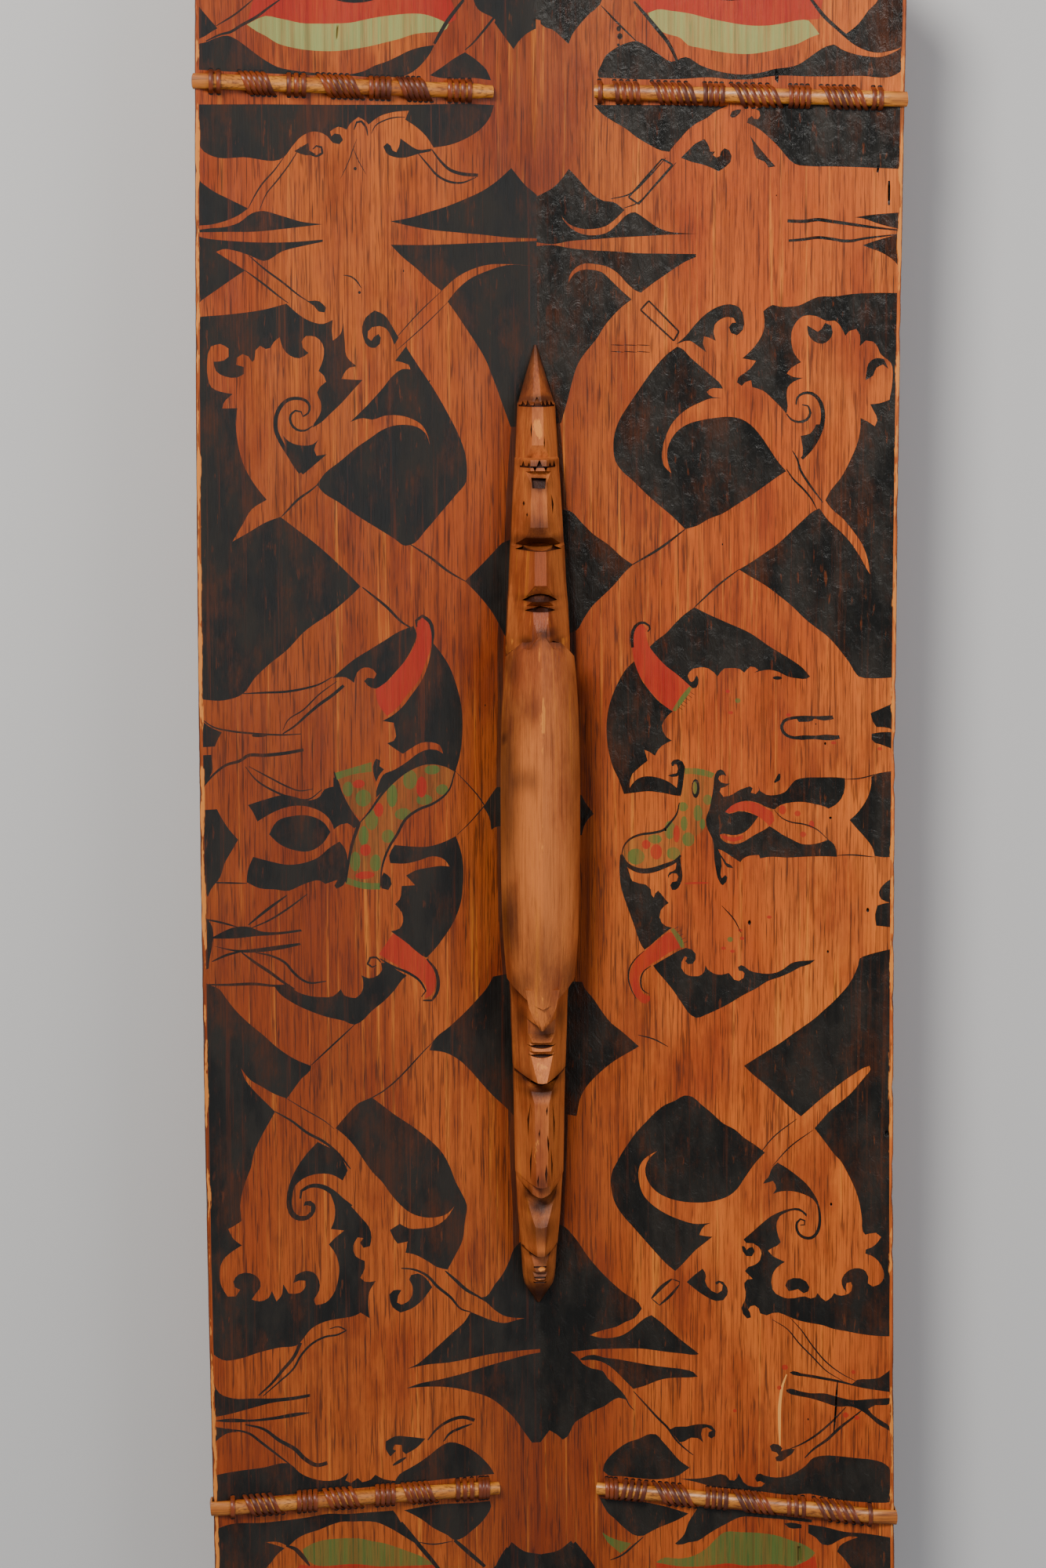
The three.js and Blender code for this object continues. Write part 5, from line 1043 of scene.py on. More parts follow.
def end_eyes():
    """The big eyes at both ends. The photograph shows only their nearer rims."""
    fill("red", (-157, 433.5), (-152.5, 447), (-138, 457), (-118, 463), (-98, 464.5), (-78, 462.5),
         (-60, 456), (-47, 446), (-44, 436), (-49, 433), (-61.3, 437.5), (-77.5, 437),
         (-101, 433), (-120, 432), (-135, 433.5), (-147.5, 436))
    fill("green", (-157.5, 431.3), (-152.5, 434.1), (-147.5, 436), (-141.3, 435),
         (-135, 433.8), (-128.8, 432.5), (-120, 432.3), (-110, 432.5), (-101.3, 433.1),
         (-93.8, 434.8), (-86.3, 436.3), (-77.5, 437.5), (-68.8, 438.3), (-61.3, 437.9),
         (-55, 436), (-48.1, 432.9), (-49.4, 430.4), (-53.8, 428.8), (-60, 428.3),
         (-67.5, 427.3), (-75, 424.8), (-82.5, 422.9), (-90, 421), (-100, 419.1),
         (-110, 417.9), (-120, 417.9), (-127.5, 418.5), (-135, 419.8), (-141.3, 421.6),
         (-147.5, 425.4), (-152.5, 427.9))
    fill("red", (58, 439), (54, 447), (64, 457), (82, 463), (102, 465), (122, 463), (140, 456),
         (152, 445), (150, 434), (138.8, 433.5), (123.8, 431), (107.5, 432), (91.3, 435.4),
         (72.5, 439.5))
    fill("green", (60, 438.5), (65, 440.4), (72.5, 439.5), (82.5, 437.9), (91.3, 435.4),
         (100, 433.5), (107.5, 432), (115, 431), (123.8, 431), (131.3, 432), (138.8, 433.5),
         (144.4, 433.3), (146.9, 430.4), (150, 426), (145, 424.1), (138.8, 421),
         (131.3, 419.1), (123.8, 417.3), (115, 416), (105, 416.3), (95, 417.9),
         (86.3, 419.8), (81.3, 421), (77.5, 424.8), (70, 427.3), (65, 429.8), (61.9, 433.5))
    fill("red", (-138, -420), (-131, -421.5), (-111, -422.6), (-95, -425.8), (-77, -427.6),
         (-61, -429.5), (-60, -441), (-72, -452), (-92, -459), (-112, -460), (-132, -454),
         (-146, -443), (-148, -430))
    fill("green", (-136.3, -411.3), (-131.3, -408.8), (-125, -407.5), (-117.5, -407.5),
         (-110, -408.1), (-102.5, -409.4), (-97.5, -411.3), (-91.3, -413.1), (-83.8, -416.3),
         (-76.3, -420), (-70, -423.1), (-61.3, -429.4), (-70, -428.8), (-85, -427.5),
         (-95, -426.3), (-102.5, -424.4), (-111.3, -423.1), (-120, -422.8), (-127.5, -421.9),
         (-131.3, -420), (-135, -416.3))
    fill("red", (64.4, -430), (87.5, -430.8), (105, -427.6), (122.5, -427), (140, -426.4),
         (151.9, -420), (153, -434), (144, -447), (124, -457), (102, -460), (80, -454),
         (66, -443))
    fill("green", (102.5, -410), (111.3, -409.4), (121.3, -409), (131.3, -409.8),
         (138.8, -411.9), (143.8, -413.1), (150, -416.3), (151.9, -418.1), (149.4, -421.3),
         (145, -424.4), (140, -426.9), (131.3, -426.3), (122.5, -427.5), (113.8, -428.8),
         (105, -428.1), (95, -430), (87.5, -431.3), (76.3, -431.9), (64.4, -430.6),
         (68.8, -427.5), (76.3, -427.5), (82.5, -426.3), (88.8, -423.1), (93.8, -418.8),
         (97.5, -414.4))
    for x, y in ((-100, 451), (104, 452), (-104, -446), (108, -446)):
        spot("black", x, y, 17, 7.5, corners=20)


def end_strapwork(side, way):
    """Ground between the straps of one quarter, from the eye to the point. It is all guessed."""
    def at(*points):
        return [(side * x, way * y) for x, y in points]

    crossing = 6 if way > 0 else 0
    ink(*at((186, 452), (172, 450), (158, 463), (140, 475), (118, 483), (96, 484), (80, 478),
            (72, 492), (78, 510), (92, 524), (108, 532), (124, 530), (146, 508), (176, 478),
            (190, 466)))
    ink(*at((0, 421 + crossing + 9), (10, 427 + crossing), (17, 421 + crossing),
            (23, 430 + crossing), (32, 441), (36, 458), (40, 470), (30, 482), (18, 496),
            (8, 508), (0, 520)))
    ink(*at((0, 536), (10, 545), (24, 553), (38, 557), (50, 568), (58, 584), (40, 603),
            (20, 624), (0, 644)))
    stroke(2.2, *at((40, 446), (52, 462), (66, 478), (72, 492)), tip=0.6)
    stroke(2.2, *at((78, 510), (64, 530), (50, 545), (40, 557)), tip=0.6)
    stroke(2, *at((62, 500), (50, 498), (42, 506), (46, 517), (57, 518), (60, 510), (54, 507)))
    stroke(1.6, *at((18, 520), (28, 532), (42, 536), (52, 528)))
    fill("red", *at((92, 496), (100, 492), (112, 494), (122, 502), (112, 505), (100, 504)))
    fill("wood", *at((90, 508), (100, 514), (112, 514), (122, 508), (130, 497), (126, 510),
                     (114, 520), (100, 520)))


def valley_points():
    """The dark points that the straps leave open along the valley, just beyond the canes."""
    ink((-16.3, 446), (-20, 439.8), (-23.1, 434.1), (-20, 429.8), (-16.3, 424.8),
        (-12.5, 419.8), (-10, 423.5), (-6.3, 427.3), (-2.5, 429.8), (0, 431), (0, 446))
    stroke(2.1, (-40, 446), (-48.8, 434.8), (-56.3, 422.3), tip=0.7)
    stroke(1.3, (-16.3, 444.8), (-23.8, 436), (-30, 428.5), (-36.3, 421.6), (-39.4, 419.1))
    stroke(1, (-173.8, 430.4), (-163.8, 436.6), (-153.8, 444.8))
    stroke(1.6, (-179.4, 422.3), (-171.3, 426), (-166.3, 427.3), (-161.3, 430.4),
           (-152.5, 435.4), (-145, 441), (-138.8, 445.4))
    ink((2.5, 446), (2.5, 433.5), (5, 431.6), (8.8, 430.4), (12.5, 427.3), (17.5, 422.5),
        (19.4, 427.3), (22.5, 431.6), (26.3, 436), (30, 439.8), (34.4, 443.5), (36, 447))
    stroke(1.1, (35, 442.9), (43.8, 433.5), (53.8, 423.5))
    stroke(2.1, (52.5, 444.8), (60, 436), (65, 429.8), (70, 423.5), (75, 413.5),
           (76.3, 409.8), tip=0.6)
    ink((163.1, 425.4), (168.8, 429.8), (172.5, 434.1), (175, 437.9), (178.8, 441.6),
        (182, 447), (193.8, 448), (193.8, 433.5), (193.1, 418.5), (187.5, 416.6),
        (178.8, 416), (172.5, 417.9), (167.5, 421.6))
    stroke(2, (145, 445.4), (152.5, 435.4), (163.1, 425.4), tip=0.7)
    stroke(2.4, (-145.6, -408.1), (-141.3, -410), (-136.3, -415.6), (-132.5, -421.3))
    stroke(2.4, (-80.6, -402.5), (-70, -417.5), (-62.5, -427.5), (-56, -437), tip=0.7)
    stroke(2.4, (-50, -416.3), (-42.5, -423.8), (-37.5, -428.8), (-32.5, -433.8), tip=0.7)
    ink((-20, -423.8), (-23.1, -428.1), (-25.6, -432.5), (-28, -440), (0, -442), (0, -436.5),
        (-5, -435), (-10, -433.1), (-12.5, -430), (-16.3, -425.6))
    ink((19.4, -421.3), (15.6, -425.6), (11.9, -430), (7.5, -432.5), (2.5, -435), (0, -436.5),
        (0, -442), (32.5, -442), (30, -435), (26.3, -430), (22.5, -425))
    stroke(1.1, (39, -431), (45, -428), (52, -421.5), (57.5, -416))


def scratches():
    """Pencil-thin lines, dents and worm holes scattered over the bare wood, dark with painted shade."""
    for x in (40, 47, 54):
        stroke(0.5, (x, 259), (x + 7, 258.8), paint="pit")
        stroke(0.5, (x, 255.4), (x + 7, 255), paint="pit")
    for x, y, size in ((115, -60, 1.4), (178, -50.3, 1.3), (157, -74.5, 0.9), (189, -175, 2),
                       (122.5, -9, 0.5), (69.5, -9.5, 0.9), (155, 41.3, 0.9), (150, 52, 0.5),
                       (-112, 118, 0.6), (-60, 240, 0.6), (-74, 300, 0.6), (128, 340, 0.5),
                       (100, 150, 0.6), (-30, 60, 0.6), (147.7, -341, 0.7), (159.5, -217, 1)):
        spot("hole" if size > 0.8 else "pit", x, y, size * 0.6, size, corners=8)


def handle_groove():
    """Dirt, old paint and painted shade in the corner between the handle and the board."""
    upper = ((1, 262), (9, 234), (13.5, 190), (16.5, 140), (20, 100), (20.5, 60))
    middle = ((20.5, 62), (21, 0), (20.5, -62))
    lower = ((20.5, -60), (17, -110), (15, -170), (13, -220), (9, -268), (1, -284))
    for side in (-1, 1):
        for width, tip, route in ((4, 0.7, upper), (3.4, 0.9, middle), (4, 0.7, lower)):
            points = [(side * x - HANDLE_OFFSET, y) for x, y in route]
            stroke(width, *points, paint="soil_and_shade", tip=tip)


def paint_holder_side():
    handle_groove()
    upper_left_creature()
    upper_left_body()
    middle_left_upper_jaw()
    middle_left_eye()
    middle_left_lower_jaw()
    lower_left_body()
    lower_left_creature()
    upper_right_creature()
    upper_right_body()
    middle_right_face()
    middle_right_eye()
    lower_right_jaw()
    lower_right_body()
    lower_right_creature()
    upper_rims()
    lower_rims()
    end_eyes()
    for side in (-1, 1):
        for way in (-1, 1):
            end_strapwork(side, way)
    valley_points()
    scratches()


# Board

# Each paint's share of black, red and green, and of bare wood. Black with red is the painted shade of a
# hollow.
MASKS = {"wood": (0, 0, 0, 0), "black": (1, 0, 0, 0), "red": (0, 1, 0, 0), "green": (0, 0, 1, 0),
         "tint": (0, 0.15, 0.3, 0), "bare": (0, 0, 0, 1), "hole": (1, 1, 0, 0), "pit": (1, 1, 0, 0),
         "soil_and_shade": (0.72, 0, 0, 0)}
PAINTS = list(MASKS)

# The rounding of both arrises, from the face to the side: inset and drop
EDGE_ROUNDING = ((0.9, 0), (0.3, 0.3), (0, 1.2))
# Worn share and darkness of the rings down the board's side
RING_STATES = ((0.5, 0.35), (0, 0.8), (0, 0.8), (0, 0.55))
EDGE_STEPS = 150
SLOPE_STEPS = 40
VALLEY_STEPS = 90
KEEL_STEPS = 60
VALLEY_REACH = HALF_LENGTH - 4
KEEL_REACH = HALF_LENGTH - 15
HOLD_INSET = 3.4
DEEPEST_NICK = 0.9
NICK_SHARE = 1.3
WORN_BAND = (1, 4)

# How far the paint stays from the edge, more along the sloping edges, and from the tip
PAINT_MARGIN = 2.2
SLOPE_MARGIN = 1.6
TIP_MARGIN = 6

# Loose points between the outlines, and how far they stay from the edge and the valley
GRID = 16
GRID_ROWS = int(HALF_LENGTH // GRID)
GRID_COLUMNS = 13
GRID_MARGIN = 4
GRID_GAP = 1
MERGING = 0.001

# Worm holes: the ring round one and its floor as shares of its outline, and the depths
HOLLOW_RING = 1.25
HOLLOW_FLOOR = 0.6
HOLLOW_DEPTH = 1.8
FRONT_HOLLOW_DEPTH = 1.2


def spread(start, end, steps):
    return [start + (end - start) * step / steps for step in range(steps + 1)]


def inner_height(x):
    return VALLEY_SLOPE * abs(x) + SLOPE_GAIN * x * x


def front_height(x):
    x = max(abs(x), KEEL_HALF)
    return inner_height(x) - VALLEY_THICKNESS + (VALLEY_THICKNESS - EDGE_THICKNESS) * x * 2 / BOARD_WIDTH


def edge_shift(y):
    return -EDGE_BOW * (BOW_BALANCE - (y / HALF_STRAIGHT) ** 2)


def board_loop():
    """The board's outline, anticlockwise from its lower point."""
    right = [(RIGHT_HALF + edge_shift(y), y)
             for y in spread(-HALF_STRAIGHT, HALF_STRAIGHT, EDGE_STEPS)]
    left = [(-LEFT_HALF + edge_shift(y), y)
            for y in spread(HALF_STRAIGHT, -HALF_STRAIGHT, EDGE_STEPS)]
    corners = [[(0, -HALF_LENGTH), right[0]], [right[-1], (0, HALF_LENGTH)],
               [(0, HALF_LENGTH), left[0]], [left[-1], (0, -HALF_LENGTH)]]
    slopes = []
    for start, end in corners:
        steps = spread(0, 1, SLOPE_STEPS)
        slopes.append([(start[0] + (end[0] - start[0]) * t, start[1] + (end[1] - start[1]) * t)
                       for t in steps])
    loop = slopes[0][:-1] + right[:-1] + slopes[1][:-1] + slopes[2][:-1] + left[:-1] + slopes[3][:-1]
    return [Vector(point) for point in loop]


def inward_normals(loop):
    normals = []
    for index, point in enumerate(loop):
        into = (point - loop[index - 1]).normalized()
        out = (loop[(index + 1) % len(loop)] - point).normalized()
        corner = Vector((-into.y, into.x)) + Vector((-out.y, out.x))
        normals.append(corner / (1 + into.dot(out)))
    return normals


def edge_nicks(loop):
    """How deep the inner arris is worn back at each point of the outline."""
    nicks = []
    for point in loop:
        rough = noise.noise(Vector((point.x * 0.07, point.y * 0.07, 3)))
        sharp = noise.noise(Vector((point.x * 0.31, point.y * 0.31, 9)))
        nicks.append(min(DEEPEST_NICK, max(0, rough * 0.5 + sharp * 0.9 - 0.15) * 1.5))
    return nicks


LOOP = board_loop()
NORMALS = inward_normals(LOOP)
NICKS = edge_nicks(LOOP)


def inset_loop(inset, nick_share):
    return [point + normal * (inset + nick * nick_share)
            for point, normal, nick in zip(LOOP, NORMALS, NICKS)]


def kept_inside(x, y, margin):
    """A point of the picture, moved onto the board if it lies beyond the edge."""
    share = 1
    if abs(y) > HALF_STRAIGHT:
        share = max(0, (HALF_LENGTH - abs(y)) / POINT_LENGTH)
        y = max(TIP_MARGIN - HALF_LENGTH, min(HALF_LENGTH - TIP_MARGIN, y))
        margin = margin * SLOPE_MARGIN
    shift = edge_shift(max(-HALF_STRAIGHT, min(HALF_STRAIGHT, y)))
    left = (-LEFT_HALF + shift) * share + margin
    right = (RIGHT_HALF + shift) * share - margin
    return (min(0, max(left, x)) if x < 0 else max(0, min(right, x)), y)


def covered(centres, outline):
    """Which of the centres lie inside an outline, also where it overlaps itself."""
    ring = np.array(outline)
    low, high = ring.min(axis=0), ring.max(axis=0)
    near = np.flatnonzero(((centres > low) & (centres < high)).all(axis=1))
    if not len(near):
        return near
    x, y = centres[near, 0][:, None], centres[near, 1][:, None]
    x0, y0 = ring[:, 0], ring[:, 1]
    x1, y1 = np.roll(x0, -1), np.roll(y0, -1)
    left_of = (x1 - x0) * (y - y0) - (x - x0) * (y1 - y0)
    winding = ((y0 <= y) & (y1 > y) & (left_of > 0)).sum(axis=1)
    winding -= ((y0 > y) & (y1 <= y) & (left_of < 0)).sum(axis=1)
    return near[winding != 0]


def outer_faces(faces, rim):
    """Triangles outside the outline, found by walking outwards from its edges."""
    owner = {}
    for number, face in enumerate(faces):
        for corner in range(3):
            owner[face[corner], face[(corner + 1) % 3]] = number
    border = set(zip(rim, rim[1:] + rim[:1]))
    outside = set()
    waiting = [(b, a) for a, b in border]
    while waiting:
        number = owner.get(waiting.pop())
        if number is None or number in outside:
            continue
        outside.add(number)
        for corner in range(3):
            a, b = faces[number][corner], faces[number][(corner + 1) % 3]
            if (b, a) not in border and (a, b) not in border:
                waiting.append((b, a))
    return outside


def painted_sheet(picture, loop, hold, lines, height):
    """One face of the board: points, triangles, the paint on each, and the outline's points."""
    places, edges, sunk = [], [], set()

    def add_run(points, closed=True):
        first = len(places)
        places.extend(Vector(point) for point in points)
        edges.extend((first + i, first + i + 1) for i in range(len(points) - 1))
        if closed:
            edges.append((len(places) - 1, first))
        return first

    add_run(loop)
    add_run(hold)
    for line in lines:
        add_run(line, closed=False)
    outlines = []
    for paint, outline in picture:
        outline = [kept_inside(x, y, PAINT_MARGIN) for x, y in outline]
        add_run(outline)
        outlines.append((paint, outline))
        if paint == "hole":
            middle = sum((Vector(point) for point in outline), Vector((0, 0))) / len(outline)
            add_run([middle + (Vector(point) - middle) * HOLLOW_RING for point in outline])
            first = add_run([middle + (Vector(point) - middle) * HOLLOW_FLOOR
                             for point in outline])
            sunk.update(range(first, len(places)))
    for row in range(-GRID_ROWS, GRID_ROWS + 1):
        for column in range(-GRID_COLUMNS, GRID_COLUMNS + 1):
            x, y = column * GRID + (row % 2) * GRID / 2, row * GRID
            if kept_inside(x, y, GRID_MARGIN) == (x, y) and abs(x) > GRID_GAP:
                places.append(Vector((x, y)))
    points, _, faces, origins, _, _ = delaunay_2d_cdt(places, edges, [], 1, MERGING, True)
    found = {}
    for number in range(len(points)):
        for origin in origins[number]:
            found.setdefault(origin, number)
    rim = [found[index] for index in range(len(loop))]
    outside = outer_faces(faces, rim)
    faces = [face for number, face in enumerate(faces) if number not in outside]
    centres = np.array([sum((points[i] for i in face), Vector((0, 0))) / 3 for face in faces])
    paints = np.zeros(len(faces), int)
    for paint, outline in outlines:
        paints[covered(centres, outline)] = PAINTS.index(paint)
    solid = []
    for number, point in enumerate(points):
        depth = 1 if sunk.intersection(origins[number]) else 0
        solid.append(Vector((point.x, point.y, height(point.x, point.y, depth))))
    return solid, faces, paints, rim


def holder_height(x, y, depth):
    """Height of the hollow side, waved by the adze; the depth is 1 on the floor of a worm hole."""
    wave = noise.noise(Vector((x * 0.012, y * 0.004, 1))) * 0.25
    return inner_height(x) + wave * min(1, abs(x) / 20) - depth * HOLLOW_DEPTH


def outer_height(x, y, depth):
    """Height of the front, waved by the adze beyond the flat spot along the keel."""
    wave = abs(noise.noise(Vector((x * 0.02, y * 0.008, 5)))) * 0.3
    flat = min(1, max(0, abs(x) - KEEL_HALF) / 20)
    return front_height(x) + wave * flat + depth * FRONT_HOLLOW_DEPTH


def edge_wear(point):
    """Worn share: 1 on the arris, nothing a few millimetres inside it."""
    shift = edge_shift(point.y)
    gap = min(point.x + LEFT_HALF - shift, RIGHT_HALF + shift - point.x)
    if abs(point.y) > HALF_STRAIGHT:
        slope = POINT_LENGTH / math.hypot(POINT_LENGTH, BOARD_WIDTH / 2)
        gap = ((HALF_LENGTH - abs(point.y)) / POINT_LENGTH * BOARD_WIDTH / 2 - abs(point.x)) * slope
    return max(0, min(1, (WORN_BAND[1] - gap) / (WORN_BAND[1] - WORN_BAND[0])))


def make_board(holder_picture, front_picture):
    """Points, faces, paint of each face, worn share and darkness of points, first front point."""
    valley = [(0, y) for y in spread(-VALLEY_REACH, VALLEY_REACH, VALLEY_STEPS)]
    keels = [[(side * KEEL_HALF, y) for y in spread(-KEEL_REACH, KEEL_REACH, KEEL_STEPS)]
             for side in (-1, 1)]
    top = painted_sheet(holder_picture, inset_loop(EDGE_ROUNDING[0][0], NICK_SHARE),
                        inset_loop(HOLD_INSET, NICK_SHARE), [valley], holder_height)
    bottom = painted_sheet(front_picture, inset_loop(EDGE_ROUNDING[0][0], 0),
                           inset_loop(HOLD_INSET, 0), keels, outer_height)
    points = list(top[0])
    faces = [tuple(face) for face in top[1]]
    paints = [PAINTS[paint] for paint in top[2]]
    rim = top[3]
    state = {}
    for number, point in enumerate(points):
        state[number] = (edge_wear(point), 0)
    rings = []
    for inset, drop in EDGE_ROUNDING[1:]:
        rings.append([(point, inner_height(point.x) - drop) for point in inset_loop(inset, 1)])
    for inset, drop in EDGE_ROUNDING[:0:-1]:
        rings.append([(point, front_height(point.x) + drop) for point in inset_loop(inset, 0)])
    size = len(LOOP)
    for number, ring in enumerate(rings):
        first = len(points)
        points.extend(Vector((point.x, point.y, z)) for point, z in ring)
        following = list(range(first, first + size))
        state.update({index: RING_STATES[number] for index in following})
        for corner in range(size):
            a, b = rim[corner], rim[(corner + 1) % size]
            faces.append((b, a, following[corner], following[(corner + 1) % size]))
            paints.append("wood")
        rim = following
    first = len(points)
    points.extend(bottom[0])
    last = [first + number for number in bottom[3]]
    for corner in range(size):
        faces.append((rim[(corner + 1) % size], rim[corner], last[corner], last[(corner + 1) % size]))
        paints.append("wood")
    faces.extend(tuple(first + i for i in reversed(face)) for face in bottom[1])
    paints.extend(PAINTS[paint] for paint in bottom[2])
    return points, faces, paints, state, first


# Handle

# The handle's two ends, from the tip to the grip. Lengths are shares of the reach of that end,
# widths of the grip's half width and heights of the grip's height: place, half width, top of the
# upright side, where the flanks would meet, where they are cut off, and how far the crown leads.
UPPER_STATIONS = (
    (1.0, 0.03, 0.01, 0.03, 0.02, 0), (0.881, 0.44, 0.11, 0.31, 0.28, 0),
    (0.876, 0.47, 0.15, 0.41, 0.36, 0), (0.79, 0.52, 0.18, 0.45, 0.4, 0),
    (0.764, 0.53, 0.19, 0.46, 0.34, 0), (0.76, 0.55, 0.22, 0.57, 0.48, 0),
    (0.737, 0.56, 0.22, 0.59, 0.5, 0), (0.735, 0.56, 0.22, 0.59, 0.42, 0),
    (0.71, 0.58, 0.24, 0.61, 0.53, 0), (0.618, 0.64, 0.26, 0.65, 0.56, 0),
    (0.595, 0.65, 0.27, 0.66, 0.5, -0.003), (0.575, 0.66, 0.27, 0.67, 0.34, -0.008),
    (0.57, 0.67, 0.31, 0.8, 0.74, -0.008), (0.498, 0.71, 0.33, 0.82, 0.76, 0),
    (0.473, 0.73, 0.34, 0.82, 0.64, 0), (0.471, 0.73, 0.34, 0.82, 0.75, 0),
    (0.465, 0.74, 0.34, 0.83, 0.75, 0), (0.454, 0.75, 0.35, 0.83, 0.66, 0),
    (0.452, 0.75, 0.35, 0.84, 0.76, 0), (0.401, 0.79, 0.37, 0.9, 0.83, 0.02))
LOWER_STATIONS = (
    (1.0, 0.03, 0.01, 0.03, 0.02, 0), (0.961, 0.36, 0.09, 0.26, 0.22, 0.004),
    (0.947, 0.4, 0.11, 0.35, 0.31, 0.004), (0.942, 0.41, 0.12, 0.35, 0.28, 0.004),
    (0.94, 0.41, 0.12, 0.36, 0.32, 0.004), (0.925, 0.43, 0.13, 0.37, 0.29, 0.004),
    (0.923, 0.43, 0.13, 0.38, 0.34, 0.004), (0.888, 0.46, 0.15, 0.41, 0.3, 0.015),
    (0.886, 0.47, 0.18, 0.52, 0.48, 0.015), (0.826, 0.54, 0.22, 0.57, 0.51, 0.02),
    (0.794, 0.57, 0.23, 0.6, 0.44, 0.035), (0.766, 0.59, 0.24, 0.63, 0.35, 0.037),
    (0.763, 0.59, 0.26, 0.67, 0.56, 0.037), (0.74, 0.61, 0.27, 0.69, 0.58, 0.02),
    (0.738, 0.61, 0.28, 0.73, 0.67, 0.02), (0.567, 0.64, 0.3, 0.78, 0.69, 0.004),
    (0.546, 0.65, 0.31, 0.79, 0.65, 0.01), (0.526, 0.65, 0.31, 0.79, 0.5, 0.017),
    (0.523, 0.66, 0.32, 0.85, 0.8, 0.017), (0.471, 0.68, 0.33, 0.86, 0.7, 0.004),
    (0.463, 0.68, 0.33, 0.86, 0.67, 0.004), (0.461, 0.68, 0.33, 0.86, 0.74, 0.004),
    (0.445, 0.69, 0.34, 0.87, 0.69, 0.004), (0.443, 0.69, 0.34, 0.87, 0.75, 0.004),
    (0.429, 0.7, 0.34, 0.87, 0.67, 0.01), (0.41, 0.71, 0.35, 0.88, 0.67, 0.035),
    (0.408, 0.71, 0.35, 0.89, 0.83, 0.035), (0.374, 0.74, 0.36, 0.9, 0.83, 0.035))
FLANK_STEPS = 7
CROWN_STEPS = 6
RING_SPACING = 1.2
GRIP_STEPS = 130

# Half of the grip's section from the left: across as a share of its half width, and up as a share
# of the height from the finger room to the ridge
GRIP_SECTION = ((-0.85, 0), (-1, 0.16), (-0.95, 0.3), (-0.79, 0.5), (-0.5, 0.72), (-0.22, 0.9),
                (0, 1), (0.22, 0.9), (0.5, 0.72), (0.79, 0.5), (0.95, 0.3), (1, 0.16), (0.85, 0))

# The grip's width and height: the share that its ends have, and what its middle adds
GRIP_WIDTHS = (0.86, 0.14)
GRIP_HEIGHTS = (0.93, 0.07)

# The second point under the lower end of the grip: place, half width and top
TONGUE = ((-94, 9.5, 48.6), (-104, 7.6, 48), (-110, 5.2, 47.3), (-114, 3, 46.6), (-117.4, 0.9, 45.4))
TONGUE_FOOT = 34
TONGUE_ROUNDING = 1.4

# Teeth cut along two knife lines: place across, half width and length
TOP_TEETH_LINE = 226
TOP_TEETH_HALF = 9.8
TOP_TEETH_DEPTH = 1.8
TOP_TEETH = ((-8.5, 1.3, 2.4), (-6, 1.3, 3), (-1, 2.5, 5), (2.2, 1.2, 3), (4.6, 1.3, 3.2),
             (7, 1.3, 2.4))
ZIGZAG_LINE = 193
ZIGZAG_HALF = 9.7
ZIGZAG_DEPTH = 1.6
ZIGZAG = ((-9, 0.9, 3.2), (-6.2, 0.8, 2.6), (-3, 1.1, -2.8), (-0.5, 1.7, 4.2), (3, 1.1, -2.8),
          (5.5, 0.9, 2.6), (8, 0.9, 3.2))
POCKET = ((-4.6, 181.5), (2.4, 181.2), (3.2, 186.8), (-5, 187.2))
POCKET_DEPTH = 3.6

# Half moons: place along the handle, half width, rise, sag and depth
CRESCENTS = ((148, 12.6, 3.2, 0.3, 2.2), (120.6, 9.5, 3.6, 0.6, 2.8), (115.2, 8.2, 2.2, 0.6, 2.6),
             (-126.6, 8, -2, -0.3, 2.4), (-132, 7.4, -2, -0.3, 2.2))

# Knife lines: place along the handle, half width and bow
KNIFE_LINES = ((-143.6, 14, -7), (-246.8, 9.4, -5), (-257.5, 3.6, 0), (-263.8, 3.2, 0), (-266.8, 3.6, 0))

# Cracks along the grain: place across and along, width, length and lean
SPLITS = ((1.8, -164, 1, 6, 0.4), (2.6, -183, 1.1, 11, -0.5), (-2.4, -177, 0.8, 6, 0.3),
          (1.4, -200, 1.5, 12, 0.2), (-3.2, -204, 0.9, 8, 0.4), (-8.2, -170, 0.9, 20, 1.2),
          (-7, -194, 0.9, 22, 0.9), (6.2, -172, 0.9, 24, -1), (4.9, -196, 0.9, 20, -0.6),
          (6.8, 172.5, 1.2, 11, -0.6), (-9, 173, 1.2, 3, 0), (-7.4, 167, 0.9, 2.4, 0),
          (-4.6, 213, 0.8, 9, 0.2), (2.5, 206, 0.7, 8, 0))

# The bite out of the grip's upper end on its right, mirrored on its left
BITE = ((16, 100), (11.6, 95), (6.6, 94.6), (2.2, 101), (3.4, 108), (14, 107))
BITE_FLOOR = 43.4
ABOVE_HANDLE = GRIP_HEIGHT + 9

# The cutter of the finger room: its floor under the board's face, its half width and arc
GAP_FLOOR = -8
GAP_REACH = 60
GAP_ARC_STEPS = 8

# Cuts across the handle: steps of a cut, the rounding of a bowed one and the lip of a half moon
CUT_STEPS = 12
BOW_POWER = 1.4
CRESCENT_LIP = 0.1


def loft(rings):
    """A closed skin through rings of equal numbers of points, as points and faces."""
    size = len(rings[0])
    points = [point for ring in rings for point in ring]
    faces = []
    for ring in range(len(rings) - 1):
        for corner in range(size):
            a, b = ring * size + corner, ring * size + (corner + 1) % size
            faces.append((a, b, b + size, a + size))
    faces.append(tuple(range(size))[::-1])
    faces.append(tuple(range((len(rings) - 1) * size, len(rings) * size)))
    return points, faces


